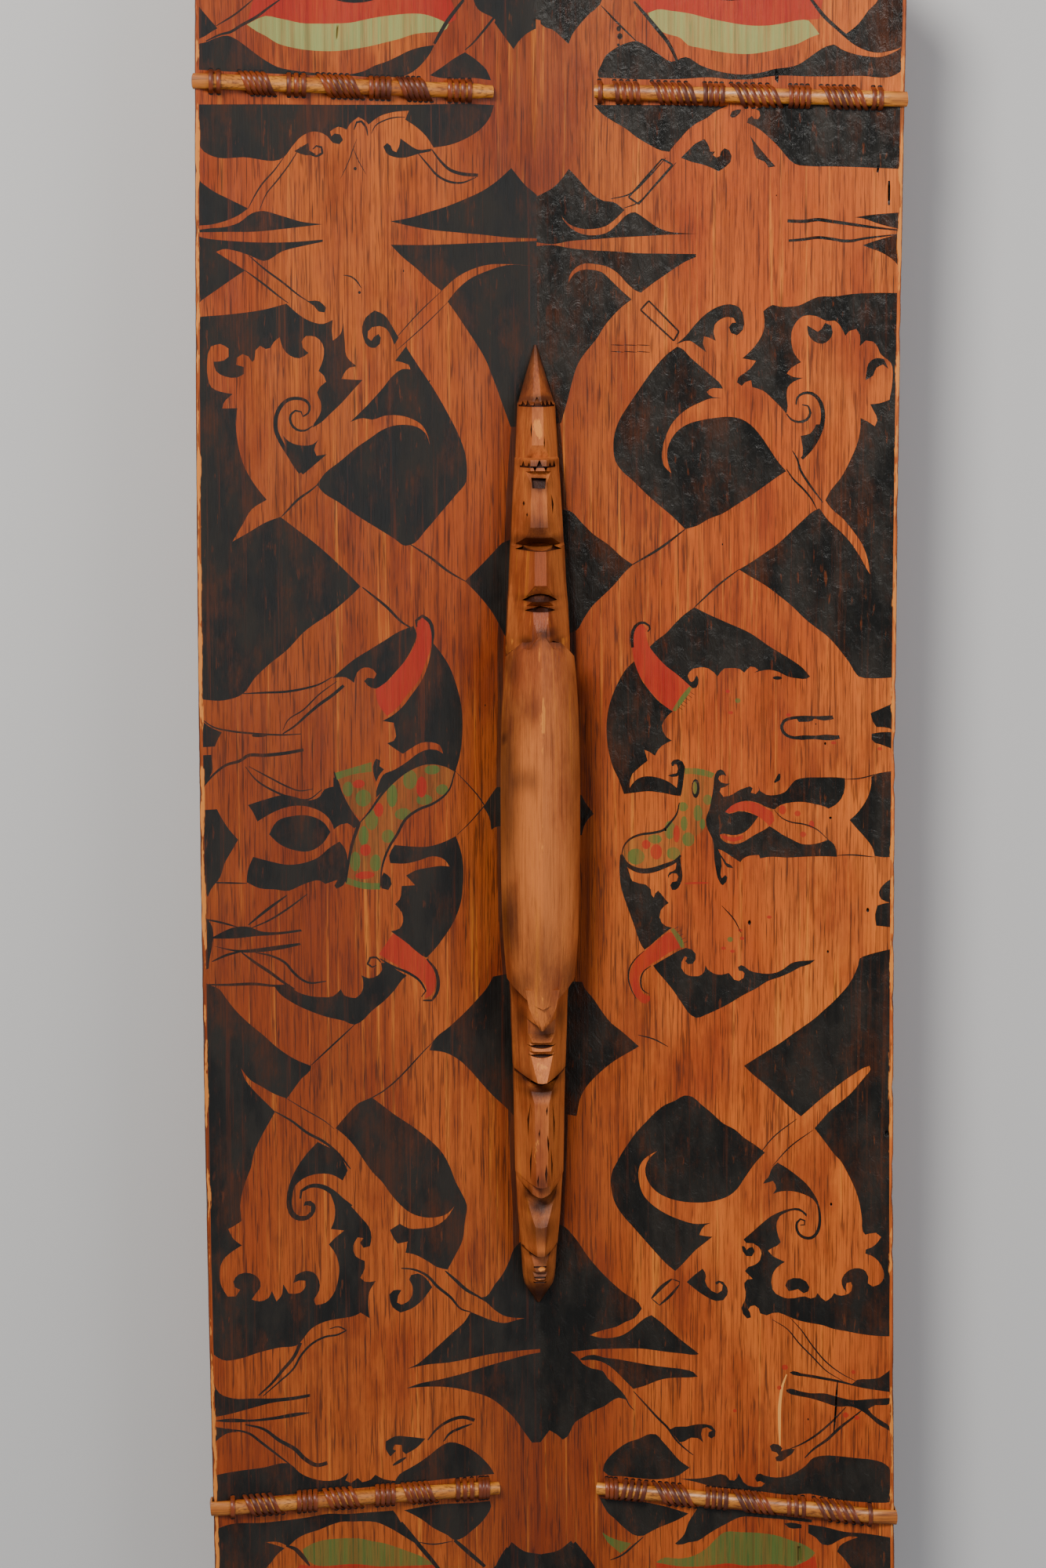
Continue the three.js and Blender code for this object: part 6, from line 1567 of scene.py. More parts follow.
def handle_ring(station, reach, direction):
    at, half, side, ridge, crown, sweep = station
    half, side, ridge = half * GRIP_HALF_WIDTH, side * GRIP_HEIGHT, ridge * GRIP_HEIGHT
    crown = min(crown * GRIP_HEIGHT, ridge)
    cut = ((ridge - crown) / (ridge - side)) ** (1 / FLANK_POWER)
    shares = spread(-1, -cut, FLANK_STEPS) + spread(-cut, cut, CROWN_STEPS)[1:-1]
    shares += spread(cut, 1, FLANK_STEPS)
    ring = [(-1, -HANDLE_ROOT)]
    ring += [(s, min(crown, ridge - (ridge - side) * abs(s) ** FLANK_POWER)) for s in shares]
    ring.append((1, -HANDLE_ROOT))
    return [Vector((s * half - HANDLE_OFFSET,
                    direction * (at - sweep * abs(s) ** SWEEP_POWER) * reach, z)) for s, z in ring]


def handle_end(stations, reach, direction):
    start = (FINGER_GAP_HALF - FINGER_GAP_RADIUS) / reach
    stations = list(stations) + [(start,) + stations[-1][1:5] + (0,)]
    rings = [handle_ring(stations[0], reach, direction)]
    for before, after in zip(stations, stations[1:]):
        steps = max(1, round((before[0] - after[0]) * reach / RING_SPACING))
        for step in range(1, steps + 1):
            share = step / steps
            mixed = [a + (b - a) * share for a, b in zip(before, after)]
            rings.append(handle_ring(mixed, reach, direction))
    return loft(rings)


def grip():
    rings = []
    for share in spread(-1, 1, GRIP_STEPS):
        bulge = 1 - abs(share) ** 3
        half = GRIP_HALF_WIDTH * (GRIP_WIDTHS[0] + GRIP_WIDTHS[1] * bulge)
        ridge = GRIP_HEIGHT * (GRIP_HEIGHTS[0] + GRIP_HEIGHTS[1] * bulge)
        ring = []
        for across, up in GRIP_SECTION:
            y = share * (GRIP_HALF_LENGTH - GRIP_POINT * abs(across) ** SWEEP_POWER)
            ring.append(Vector((across * half - HANDLE_OFFSET, y,
                                GRIP_UNDERSIDE + up * (ridge - GRIP_UNDERSIDE))))
        rings.append(ring)
    return loft(rings)


def finger_gap():
    corner = FINGER_GAP_HALF - FINGER_GAP_RADIUS
    spring = GRIP_UNDERSIDE - FINGER_GAP_RADIUS
    arc = [(corner + FINGER_GAP_RADIUS * math.cos(a), spring + FINGER_GAP_RADIUS * math.sin(a))
           for a in spread(0, math.pi / 2, GAP_ARC_STEPS)]
    side = [(FINGER_GAP_HALF, GAP_FLOOR)] + arc
    outline = side + [(-y, z) for y, z in reversed(side)]
    return loft([[Vector((x, y, z)) for y, z in outline] for x in (-GAP_REACH, GAP_REACH)])


def to_bmesh(points, faces):
    shape = bmesh.new()
    corners = [shape.verts.new(point) for point in points]
    for face in faces:
        shape.faces.new([corners[i] for i in face])
    bmesh.ops.recalc_face_normals(shape, faces=shape.faces)
    return shape


def to_object(name, shape):
    mesh = bpy.data.meshes.new(name)
    shape.to_mesh(mesh)
    shape.free()
    thing = bpy.data.objects.new(name, mesh)
    bpy.context.scene.collection.objects.link(thing)
    return thing


def combined(base, *steps):
    """The base with further shapes added to it or cut from it."""
    result = to_object("base", to_bmesh(*base))
    helpers = []
    for operation, shape in steps:
        helper = to_object("helper", to_bmesh(*shape))
        helpers.append(helper)
        modifier = result.modifiers.new("step", "BOOLEAN")
        modifier.object = helper
        modifier.operation = operation
        modifier.solver = "MANIFOLD"
    evaluated = result.evaluated_get(bpy.context.evaluated_depsgraph_get())
    shape = bmesh.new()
    shape.from_mesh(evaluated.to_mesh())
    evaluated.to_mesh_clear()
    for thing in helpers + [result]:
        mesh = thing.data
        bpy.data.objects.remove(thing)
        bpy.data.meshes.remove(mesh)
    return shape


CUT_FLOORS = []


def handle_height(x, y):
    """Height of the handle's end over a place, without the sweep of its crown."""
    stations, reach = (UPPER_STATIONS, UPPER_REACH) if y > 0 else (LOWER_STATIONS, LOWER_REACH)
    at = abs(y) / reach
    for before, after in zip(stations, stations[1:]):
        if after[0] <= at:
            share = (before[0] - at) / (before[0] - after[0])
            _, half, side, ridge, crown, _ = [a + (b - a) * share for a, b in zip(before, after)]
            across = min(1, abs(x + HANDLE_OFFSET) / (half * GRIP_HALF_WIDTH))
            return GRIP_HEIGHT * min(crown, ridge - (ridge - side) * across ** FLANK_POWER)
    return GRIP_HEIGHT * 0.9


def notch(outline, depth):
    """A cutter over an outline, its floor following the handle at a depth."""
    floor = [Vector((x, y, handle_height(x, y) - depth)) for x, y in outline]
    CUT_FLOORS.append((outline, depth))
    return loft([floor, [Vector((x, y, ABOVE_HANDLE)) for x, y in outline]])


def level_notch(outline, level):
    """A cutter with a flat floor, to bite into the end of the grip."""
    return loft([[Vector((x, y, height)) for x, y in outline] for height in (level, ABOVE_HANDLE)])


def trench(sections, depth):
    """A cutter across the handle from sections: place across, near edge and far edge."""
    near = [(x, low) for x, low, high in sections]
    far = [(x, high) for x, low, high in sections]
    CUT_FLOORS.append((near + far[::-1], depth))
    rings = []
    for x, low, high in sections:
        floor = [Vector((x, y, handle_height(x, y) - depth)) for y in (low, high)]
        rings.append(floor + [Vector((x, y, ABOVE_HANDLE)) for y in (high, low)])
    return loft(rings)


def groove(y, half, bow=0, width=1, depth=1.1):
    """A knife line across the handle, bowed in its middle."""
    sections = []
    for s in spread(-1, 1, CUT_STEPS):
        middle = y + bow * (1 - abs(s) ** BOW_POWER)
        sections.append((half * s - HANDLE_OFFSET, middle - width / 2, middle + width / 2))
    return trench(sections, depth)


def split(x, y, across, along, lean=0, depth=0.9):
    """A short crack along the grain, pointed at both ends."""
    return notch([(x, y - along / 2), (x + across / 2, y), (x + lean, y + along / 2),
                  (x - across / 2, y)], depth)


def tongue():
    rings = []
    for y, half, top in TONGUE:
        shoulder = top - TONGUE_ROUNDING
        ring = ((-half, TONGUE_FOOT), (half, TONGUE_FOOT), (half, shoulder), (half * 0.4, top),
                (-half * 0.4, top), (-half, shoulder))
        rings.append([Vector((x - HANDLE_OFFSET, y, z)) for x, z in ring])
    return loft(rings)


def crescent(y, half, rise, sag, depth):
    """A half moon across the handle: a bowed far edge and a flatter near one."""
    sections = []
    for s in spread(-1, 1, CUT_STEPS):
        bell = 1 - s * s
        edges = sorted((y + rise * bell + CRESCENT_LIP, y - sag * bell - CRESCENT_LIP))
        sections.append((half * s - HANDLE_OFFSET, *edges))
    return trench(sections, depth)


def teeth(line, places, depth):
    """Triangles that stand on a line across the handle, or hang from it."""
    cuts = []
    for x, wide, tall in places:
        corners = [(x - wide, line), (x + wide, line), (x, line + tall)]
        cuts.append(notch(corners if tall > 0 else corners[::-1], depth))
    return cuts


def handle_cuts():
    cuts = teeth(TOP_TEETH_LINE, TOP_TEETH, TOP_TEETH_DEPTH)
    cuts.append(groove(TOP_TEETH_LINE, TOP_TEETH_HALF))
    cuts += teeth(ZIGZAG_LINE, ZIGZAG, ZIGZAG_DEPTH)
    cuts.append(groove(ZIGZAG_LINE, ZIGZAG_HALF))
    cuts.append(notch(list(POCKET), POCKET_DEPTH))
    cuts += [crescent(*shape) for shape in CRESCENTS]
    cuts += [groove(*line) for line in KNIFE_LINES]
    cuts += [split(*crack) for crack in SPLITS]
    for side in (-1, 1):
        outline = [(side * x - HANDLE_OFFSET, y) for x, y in BITE]
        cuts.append(level_notch(outline[::side], BITE_FLOOR))
    return cuts


# The painted shade darkens its notches, half moons and the steps below them
# Stains and painted shade on the handle: place across and along it, reach across and along it, and
# strength
STAINS_AND_SHADE = ((-9, 246, 6, 16, 1), (6, 250, 5, 12, 0.8), (-1, 256, 6, 6, 0.8), (0, 229.5, 14, 2.6, 0.8),
          (0, 194.5, 12, 2, 0.55), (-1, 184, 5, 4, 0.9), (-1, 152.5, 13, 3.6, 1), (-1, 158, 7, 8, 0.6),
          (-1, 121.5, 9, 2.2, 0.9), (-1, 116, 8, 1.4, 0.9), (2, 103, 6, 3, 0.8), (-8, 98, 5, 3, 0.6),
          (8, 98, 5, 3, 0.6), (-18, 84, 4, 14, 0.55), (-8, 62, 5, 9, 0.35), (-20, 20, 5, 60, 0.7),
          (17, 30, 5, 60, 0.3), (-20.5, 44, 2.6, 6, 1), (-9, 23, 4, 7, 0.7), (-19, -55, 5, 24, 0.75),
          (-2, -80, 9, 22, 0.35), (14, -88, 6, 12, 0.5), (-14, -92, 5, 10, 0.6), (-1, -121, 6, 4, 0.85),
          (-12, -112, 3, 8, 0.5), (10, -112, 3, 8, 0.5), (-1, -153.5, 8, 3.4, 0.95),
          (-10, -147, 5, 4, 0.5), (9, -147, 5, 4, 0.5), (-1, -206, 4, 5, 0.5), (-1, -221, 7, 5, 0.95),
          (-8, -214, 2.4, 4, 0.9), (6.6, -214, 2.4, 4, 0.9), (-1, -234, 8, 8, 0.6),
          (-1, -250, 9, 3, 0.5), (-1, -262, 8, 7, 0.6), (-1, -276, 14, 9, 1))
# The painted highlights are glints on lit facets of the handle's ends
# Torn and rubbed places and painted highlights: place across and along it, and reach across and along it
TORN_AND_GLINTS = ((-17, 97.5, 2.6, 3.4), (13.5, 97.5, 2.6, 3.4), (-18, 92, 1.6, 4), (-1, 213, 3, 7),
        (-1, -138, 4, 3), (-3, -190, 2.4, 14), (-1, -258.6, 3, 1.4), (-1, -265, 2.4, 1))

# How near a point counts as within a cut: across, along the handle and over the cut's floor
TOUCH = 0.25
CUT_REACH = 20
FLOOR_REACH = 0.3

# How high the dirt and painted shade at the foot reach, and how far and how much the grip's ridge is
# worn
FOOT_DIRT_AND_SHADE_HEIGHT = 9
RIDGE_REACH = 1.3
RIDGE_WEAR = 0.62


def nearness(x, y, at_x, at_y, across, along):
    return math.exp(-((x - at_x) / across) ** 2 - ((y - at_y) / along) ** 2)


def inside(x, y, outline):
    """Whether a place lies within an outline or touches it."""
    crossings = 0
    for (x0, y0), (x1, y1) in zip(outline, outline[1:] + outline[:1]):
        run = Vector((x1 - x0, y1 - y0))
        share = min(1, max(0, Vector((x - x0, y - y0)).dot(run) / run.length_squared))
        if (Vector((x - x0, y - y0)) - run * share).length < TOUCH:
            return True
        if (y0 > y) != (y1 > y) and x < x0 + (x1 - x0) * (y - y0) / (y1 - y0):
            crossings += 1
    return crossings % 2 == 1


def handle_surface(x, y, z):
    """Worn share with painted highlights, darkness with painted shade, and carved share on the handle.
    """
    dark = max(strength * nearness(x, y, *at) for *at, strength in STAINS_AND_SHADE)
    # Dirt and painted shade where the handle stands on the board
    foot = max(0, 1 - max(0, z - inner_height(x)) / FOOT_DIRT_AND_SHADE_HEIGHT)
    dark = max(dark, foot)
    # Painted shade: the floors of the cuts are fully dark
    for outline, depth in CUT_FLOORS:
        if abs(outline[0][1] - y) < CUT_REACH and inside(x, y, outline):
            if z < handle_height(x, y) - depth + FLOOR_REACH:
                dark = 1
    # Torn and rubbed places and painted highlights; the grip's ridge is worn
    worn = max(nearness(x, y, *at) for at in TORN_AND_GLINTS)
    if abs(y) < GRIP_HALF_LENGTH:
        worn = max(worn, RIDGE_WEAR * math.exp(-((x + HANDLE_OFFSET) / RIDGE_REACH) ** 2))
    return (worn, dark, 1, 1)


def make_handle():
    cuts = [("DIFFERENCE", cut) for cut in handle_cuts()]
    return combined(handle_end(UPPER_STATIONS, UPPER_REACH, 1),
                    ("UNION", handle_end(LOWER_STATIONS, LOWER_REACH, -1)),
                    ("DIFFERENCE", finger_gap()), ("UNION", grip()), *cuts,
                    ("UNION", tongue()))


# Canes

ARM_STEPS = 40
CROSSING_STEPS = 24
THINNED_HEIGHT = CANE_HEIGHT * 0.72

# The section: a round top that comes down to a flat back, in radians below its widest line
SECTION_STEPS = 12
BACK_TURN = 0.35
BACK_LEVEL = 0.34
TOP_RISE = 0.66
UNEVENNESS = 0.05
END_THINNING = 0.86
HEIGHT_SHARE = 0.98
WIDTH_SHARE = 0.96


def cane_line(cane, x):
    """Where the cane lies along the board, at a place across it."""
    left_edge, left_end, right_end, right_edge = cane
    if x < -LEFT_END:
        return left_end + (left_edge - left_end) * (x + LEFT_END) / (LEFT_END - LEFT_HALF)
    if x < RIGHT_END:
        return left_end + (right_end - left_end) * (x + LEFT_END) / (LEFT_END + RIGHT_END)
    return right_end + (right_edge - right_end) * (x - RIGHT_END) / (RIGHT_HALF - RIGHT_END)


def cane_route(cane):
    """The line that the cane's flat back follows round the board: place, height, thickness."""
    left = -LEFT_HALF + edge_shift(cane[0])
    right = RIGHT_HALF + edge_shift(cane[3])
    taper = 2 * CANE_HEIGHT

    def over(x, thickness, shift=0):
        return (x + shift, inner_height(x) + CLEARANCE, thickness)

    def under(x, thickness, shift=0):
        return (x + shift, front_height(x) - CLEARANCE, thickness)

    route = [over(x, CANE_HEIGHT) for x in spread(-LEFT_END, left + taper, ARM_STEPS)]
    route += [over(left + taper / 2, THINNED_HEIGHT), over(left, FOLD_HEIGHT, -CLEARANCE),
              under(left, FOLD_HEIGHT, -CLEARANCE), under(left + taper / 2, THINNED_HEIGHT)]
    route += [under(x, CANE_HEIGHT) for x in spread(left + taper, -KEEL_HALF, CROSSING_STEPS)]
    route += [under(x, CANE_HEIGHT) for x in spread(KEEL_HALF, right - taper, CROSSING_STEPS)]
    route += [under(right - taper / 2, THINNED_HEIGHT), under(right, FOLD_HEIGHT, CLEARANCE),
              over(right, FOLD_HEIGHT, CLEARANCE), over(right - taper / 2, THINNED_HEIGHT)]
    route += [over(x, CANE_HEIGHT) for x in spread(right - taper, RIGHT_END, ARM_STEPS)]
    return route


def make_cane(cane):
    """The cane's points and faces: a flat back and a round top, thinner where it folds."""
    route = cane_route(cane)
    section = [(math.cos(a), math.sin(a))
               for a in spread(-BACK_TURN, math.pi + BACK_TURN, SECTION_STEPS)]
    rings = []
    for index, (x, z, height) in enumerate(route):
        before, after = route[max(index - 1, 0)], route[min(index + 1, len(route) - 1)]
        into = Vector((x - before[0], z - before[1]))
        out = Vector((after[0] - x, after[1] - z))
        into = into.normalized() if into.length else out.normalized()
        out = out.normalized() if out.length else into
        along = (into + out).normalized()
        away = Vector((along.y, -along.x))
        thick = 1 + UNEVENNESS * noise.noise(Vector((x * 0.03, cane[0], 2)))
        if index < 2 or index > len(route) - 3:
            thick *= END_THINNING
        y = cane_line(cane, x)
        ring = []
        for across, up in section:
            lift = max(0, (up * TOP_RISE + BACK_LEVEL)) * height * thick * HEIGHT_SHARE
            shift = across * CANE_WIDTH / 2 * thick * WIDTH_SHARE
            ring.append(Vector((x + away.x * lift, y + shift, z + away.y * lift)))
        rings.append(ring)
    return loft(rings)


# Lacing

def turns(*groups):
    """Turns of the strip as places across the board, top and foot: start, end, count and lean."""
    lacing = []
    for start, end, count, lean in groups:
        for x in spread(start, end, count - 1) if count > 1 else [start]:
            lacing.append((x, x + lean))
    return lacing


LACING = {
    "lashing_upper_left": (UPPER_CANE, turns(
        (-177, -173, 2, 0), (-162, -150, 5, 7), (-135.5, -127.5, 3, 0), (-120, -104, 6, 8.5),
        (-91, -81.5, 4, 0), (-77, -65, 5, 7), (-48, -37, 4, 0))),
    "lashing_upper_right": (UPPER_CANE, turns(
        (34, 34, 1, 0), (42, 53, 4, 2), (62, 80, 6, 6), (90, 99, 4, 0), (104, 123, 6, 8),
        (135, 144, 4, 0), (151, 168, 6, 7), (178, 181.5, 2, 0))),
    "lashing_lower_left": (LOWER_CANE, turns(
        (-175, -175, 1, 0), (-169, -155, 5, 8), (-138, -129, 4, 0), (-124.5, -110, 5, 7.5),
        (-94, -85, 4, 0), (-80, -67, 5, 7), (-48, -40, 3, 0), (-35, -31, 3, 0))),
    "lashing_lower_right": (LOWER_CANE, turns(
        (37, 42, 3, 0), (48, 59, 4, -4), (63, 77.5, 5, 9), (93, 103, 4, -1), (107, 121, 5, 9),
        (137, 145, 3, 0), (151, 168, 5, 9), (181, 181, 1, 0))),
}
HOLE_DISTANCE = 6.4
HOLE_SIZE = (1.3, 0.9)
HOLE_CORNERS = 8
LONGEST_JOIN = 12
CANE_CORE = 2

# A turn from hole to hole: place along the board from the cane's middle, and height over its face
STRAP_ARCH = ((6.3, -2.2), (5.9, 0.6), (5.2, 2.6), (4.3, 4.6), (2.7, 6.05), (0.9, 6.5), (-0.9, 6.5),
              (-2.7, 6.05), (-4.3, 4.6), (-5.2, 2.6), (-5.9, 0.6), (-6.3, -2.2))
# The strip's section: across as a share of its half width, and up as a share of its thickness
STRIP_SECTION = ((-1, -0.5), (1, -0.5), (1, 0.1), (0.45, 0.5), (-0.45, 0.5), (-1, 0.1))


def strap(cane, top, foot, front):
    """One turn of the strip from hole to hole, over the cane inside or under it on the front."""
    middle_line = []
    for share, (across, lift) in zip(spread(0, 1, len(STRAP_ARCH) - 1), STRAP_ARCH):
        x = top + (foot - top) * share
        level = front_height(x) - lift if front else inner_height(x) + lift
        middle_line.append(Vector((x, cane_line(cane, x) + across, level)))
    rings = []
    for index, point in enumerate(middle_line):
        run = middle_line[min(index + 1, len(middle_line) - 1)] - middle_line[max(index - 1, 0)]
        run.normalize()
        x = point.x
        level = front_height(x) - CANE_CORE if front else inner_height(x) + CANE_CORE
        core = Vector((x, cane_line(cane, x), level))
        away = point - core
        away -= run * away.dot(run)
        away.normalize()
        wide = run.cross(away)
        rings.append([point + wide * across * STRIP_WIDTH / 2 + away * up * STRIP_THICKNESS
                      for across, up in STRIP_SECTION])
    return loft(rings)


def make_lashing(cane, lacing):
    """Turns inside the board, and the turns that join them on the front."""
    points, faces = [], []
    for number, (top, foot) in enumerate(lacing):
        pieces = [strap(cane, top, foot, False)]
        if number + 1 < len(lacing) and lacing[number + 1][0] - foot < LONGEST_JOIN:
            pieces.append(strap(cane, lacing[number + 1][0], foot, True))
        else:
            pieces.append(strap(cane, top, foot, True))
        for new_points, new_faces in pieces:
            first = len(points)
            points += new_points
            faces += [tuple(first + i for i in face) for face in new_faces]
    return points, faces


# Dark spots where the strips pass through the board: painted shade in place of holes
def punch_lacing_holes():
    for cane, lacing in LACING.values():
        for top, foot in lacing:
            for x, way in ((top, 1), (foot, -1)):
                y = cane_line(cane, x) + way * HOLE_DISTANCE
                spot("pit", x, y, *HOLE_SIZE, corners=HOLE_CORNERS)


# Materials

# Colours as they look on screen, 0 to 255
GOLDEN_WOOD = (216, 110, 36)
BROWN_WOOD = (184, 80, 22)
RED_CLOUD = (138, 46, 12)
VALLEY_SHADE = (104, 34, 10)
LEFT_SIDE_SHADE = (112, 40, 10)
LOWER_END_SHADE = (118, 48, 14)
LIGHT_CARVING = (206, 116, 54)
DARK_CARVING = (152, 72, 32)
DARK_STREAK = (98, 34, 8)
LIGHT_STREAK = (232, 138, 46)
FINE_LINE = (62, 22, 6)
GRAIN_LINE = (70, 26, 8)
PORE = (34, 13, 5)
BLOTCH = (84, 36, 12)
DIRT_AND_SHADE = (46, 17, 7)
WORN_WOOD_AND_GLINT = (226, 138, 56)
BARE_WOOD = (232, 156, 76)
THICK_INK = (17, 16, 13)
THIN_INK = (38, 33, 27)
RUBBED_INK = (76, 36, 13)
WOOD_UNDER_INK = (52, 24, 8)
RED_PAINT = (170, 26, 18)
LEAF_PAINT = (62, 104, 44)
PALE_LEAF_PAINT = (150, 164, 96)
HOLLOW_SHADE = (10, 7, 5)
LIGHT_CANE = (214, 136, 50)
BROWN_CANE = (170, 92, 30)
CANE_FIBRE = (84, 38, 12)
LIGHT_STRIP = (136, 60, 22)
DARK_STRIP = (84, 34, 14)
STRIP_FIBRE = (56, 22, 10)


class Nodes:
    """A small helper to write a node tree one line at a time."""

    def __init__(self, name):
        self.material = bpy.data.materials.new(name)
        self.material.use_nodes = True
        self.tree = self.material.node_tree
        self.shader = self.tree.nodes["Principled BSDF"]
        self.place = self.add("ShaderNodeTexCoord").outputs["Object"]

    def add(self, kind, **values):
        node = self.tree.nodes.new(kind)
        for key, value in values.items():
            setattr(node, key, value)
        return node

    def set(self, socket, value):
        if isinstance(value, bpy.types.NodeSocket):
            self.tree.links.new(value, socket)
        elif isinstance(value, tuple) and len(value) == 3 and socket.type == "RGBA":
            socket.default_value = (*value, 1)
        else:
            socket.default_value = value

    def noise(self, stretch, detail=4, roughness=0.6, distortion=0.0, offset=0.0):
        mapping = self.add("ShaderNodeMapping")
        self.set(mapping.inputs["Vector"], self.place)
        self.set(mapping.inputs["Location"], (offset, offset, offset))
        self.set(mapping.inputs["Scale"], stretch)
        texture = self.add("ShaderNodeTexNoise")
        self.set(texture.inputs["Vector"], mapping.outputs["Vector"])
        self.set(texture.inputs["Scale"], 1.0)
        self.set(texture.inputs["Detail"], float(detail))
        self.set(texture.inputs["Roughness"], roughness)
        self.set(texture.inputs["Distortion"], distortion)
        return texture.outputs["Fac"]

    def ramp(self, value, low, high, start=0.0, end=1.0):
        node = self.add("ShaderNodeMapRange", interpolation_type="SMOOTHSTEP")
        self.set(node.inputs["Value"], value)
        self.set(node.inputs["From Min"], low)
        self.set(node.inputs["From Max"], high)
        self.set(node.inputs["To Min"], start)
        self.set(node.inputs["To Max"], end)
        return node.outputs["Result"]

    def math(self, operation, first, second=0.0):
        node = self.add("ShaderNodeMath", operation=operation)
        self.set(node.inputs[0], first)
        self.set(node.inputs[1], second)
        return node.outputs["Value"]

    def mix(self, factor, first, second, blend="MIX"):
        node = self.add("ShaderNodeMix", data_type="RGBA", blend_type=blend)
        self.set(node.inputs["Factor"], factor)
        self.set(node.inputs[6], first)
        self.set(node.inputs[7], second)
        return node.outputs[2]

    def bump(self, height, distance, normal=None):
        node = self.add("ShaderNodeBump")
        self.set(node.inputs["Height"], height)
        self.set(node.inputs["Distance"], distance)
        self.set(node.inputs["Strength"], 1.0)
        if normal:
            self.set(node.inputs["Normal"], normal)
        return node.outputs["Normal"]


def linear(colour):
    """A colour given as it looks on screen, for a shader."""
    shares = [value / 255 for value in colour]
    return tuple(s / 12.92 if s <= 0.04045 else ((s + 0.055) / 1.055) ** 2.4 for s in shares)


class Surface:
    """What the painted wood's layers share: the place, the marks on the mesh and the wood's grain."""

    def __init__(self, nodes):
        parts = nodes.add("ShaderNodeSeparateXYZ")
        nodes.set(parts.inputs["Vector"], nodes.place)
        self.x, self.y = parts.outputs["X"], parts.outputs["Y"]
        painted = nodes.add("ShaderNodeAttribute", attribute_name="paint")
        marks = nodes.add("ShaderNodeSeparateColor")
        nodes.set(marks.inputs["Color"], painted.outputs["Color"])
        self.black, self.red, self.green = [marks.outputs[name] for name in ("Red", "Green", "Blue")]
        self.bare = painted.outputs["Alpha"]
        aged = nodes.add("ShaderNodeAttribute", attribute_name="surface")
        state = nodes.add("ShaderNodeSeparateColor")
        nodes.set(state.inputs["Color"], aged.outputs["Color"])
        self.worn, self.dark, self.carved = [state.outputs[name] for name in ("Red", "Green", "Blue")]
        self.streaks = nodes.noise((260, 5, 260), detail=5, roughness=0.65, distortion=0.3)
        self.lines = nodes.noise((640, 9, 640), detail=3, roughness=0.7, offset=14)
        self.grain = nodes.noise((1500, 30, 1500), detail=3, roughness=0.7)
        self.pores = nodes.noise((900, 38, 900), detail=2, offset=7)
        self.blotches = nodes.noise((60, 22, 60), detail=5, offset=4)
        pale = nodes.noise((150, 30, 150), detail=4, roughness=0.7, offset=17)
        rubbed = nodes.math("ADD", self.worn, nodes.ramp(pale, 0.35, 0.65, -0.75, 0.15))
        self.rubbed = nodes.ramp(rubbed, 0.45, 0.65)
        self.right_half = nodes.ramp(self.x, -0.012, 0.0)


def oiled_wood(nodes, at):
    """The broad tones of the board and of the handle, with painted shade on the valley, left half and
    lower end.
    """
    broad = nodes.noise((14, 3, 14), detail=3, offset=2)
    clouds = nodes.noise((24, 9, 24), detail=5, roughness=0.65, offset=21)
    wood = nodes.mix(nodes.ramp(broad, 0.35, 0.65), linear(GOLDEN_WOOD), linear(BROWN_WOOD))
    wood = nodes.mix(nodes.ramp(clouds, 0.42, 0.66, 0.0, 0.7), wood, linear(RED_CLOUD))
    # Painted shade: the wood darker along the valley crease
    from_valley = nodes.math("ABSOLUTE", nodes.math("ADD", at.x, 0.0042))
    wood = nodes.mix(nodes.ramp(from_valley, 0.0, 0.09, 0.7, 0.0), wood, linear(VALLEY_SHADE))
    # Painted shade: the left half darker over its middle stretch
    left_band = nodes.ramp(at.x, -0.03, -0.12)
    middle = nodes.ramp(nodes.math("ABSOLUTE", at.y), 0.12, 0.32, 0.62, 0.3)
    wood = nodes.mix(nodes.math("MULTIPLY", left_band, middle), wood, linear(LEFT_SIDE_SHADE))
    # Painted shade: darker towards the lower end
    wood = nodes.mix(nodes.ramp(at.y, -0.12, -0.5, 0.0, 0.25), wood, linear(LOWER_END_SHADE))
    handle = nodes.mix(nodes.ramp(clouds, 0.4, 0.66), linear(LIGHT_CARVING), linear(DARK_CARVING))
    return nodes.mix(at.carved, wood, handle)


def grained_wood(nodes, at):
    """The wood's streaks, fine lines and pores, dirt and painted shade, wear and painted highlights."""
    wood = oiled_wood(nodes, at)
    wood = nodes.mix(nodes.ramp(at.streaks, 0.5, 0.7, 0.0, 0.5), wood, linear(DARK_STREAK))
    wood = nodes.mix(nodes.ramp(at.streaks, 0.44, 0.28, 0.0, 0.5), wood, linear(LIGHT_STREAK))
    on_board = nodes.math("SUBTRACT", 1.0, nodes.math("MULTIPLY", at.carved, 0.65))
    for share, colour in ((nodes.ramp(at.lines, 0.52, 0.66, 0.0, 0.5), FINE_LINE),
                          (nodes.ramp(at.grain, 0.5, 0.68, 0.0, 0.6), GRAIN_LINE),
                          (nodes.ramp(at.pores, 0.56, 0.66, 0.0, 0.6), PORE)):
        wood = nodes.mix(nodes.math("MULTIPLY", share, on_board), wood, linear(colour))
    wood = nodes.mix(nodes.ramp(at.blotches, 0.58, 0.75, 0.0, 0.3), wood, linear(BLOTCH))
    # Dirt and painted shade from the darkness stored on the mesh
    dirt_and_shade = nodes.math("MULTIPLY", at.dark, nodes.ramp(at.blotches, 0.3, 0.6, 1.0, 0.82))
    clean = nodes.math("POWER", nodes.math("SUBTRACT", 1.0, dirt_and_shade), 1.7)
    wood = nodes.mix(nodes.math("SUBTRACT", 1.0, clean), wood, linear(DIRT_AND_SHADE))
    # Worn places and painted highlights lighten the wood
    wood = nodes.mix(nodes.math("MULTIPLY", at.rubbed, 0.85), wood, linear(WORN_WOOD_AND_GLINT))
    return nodes.mix(at.bare, wood, linear(BARE_WOOD))


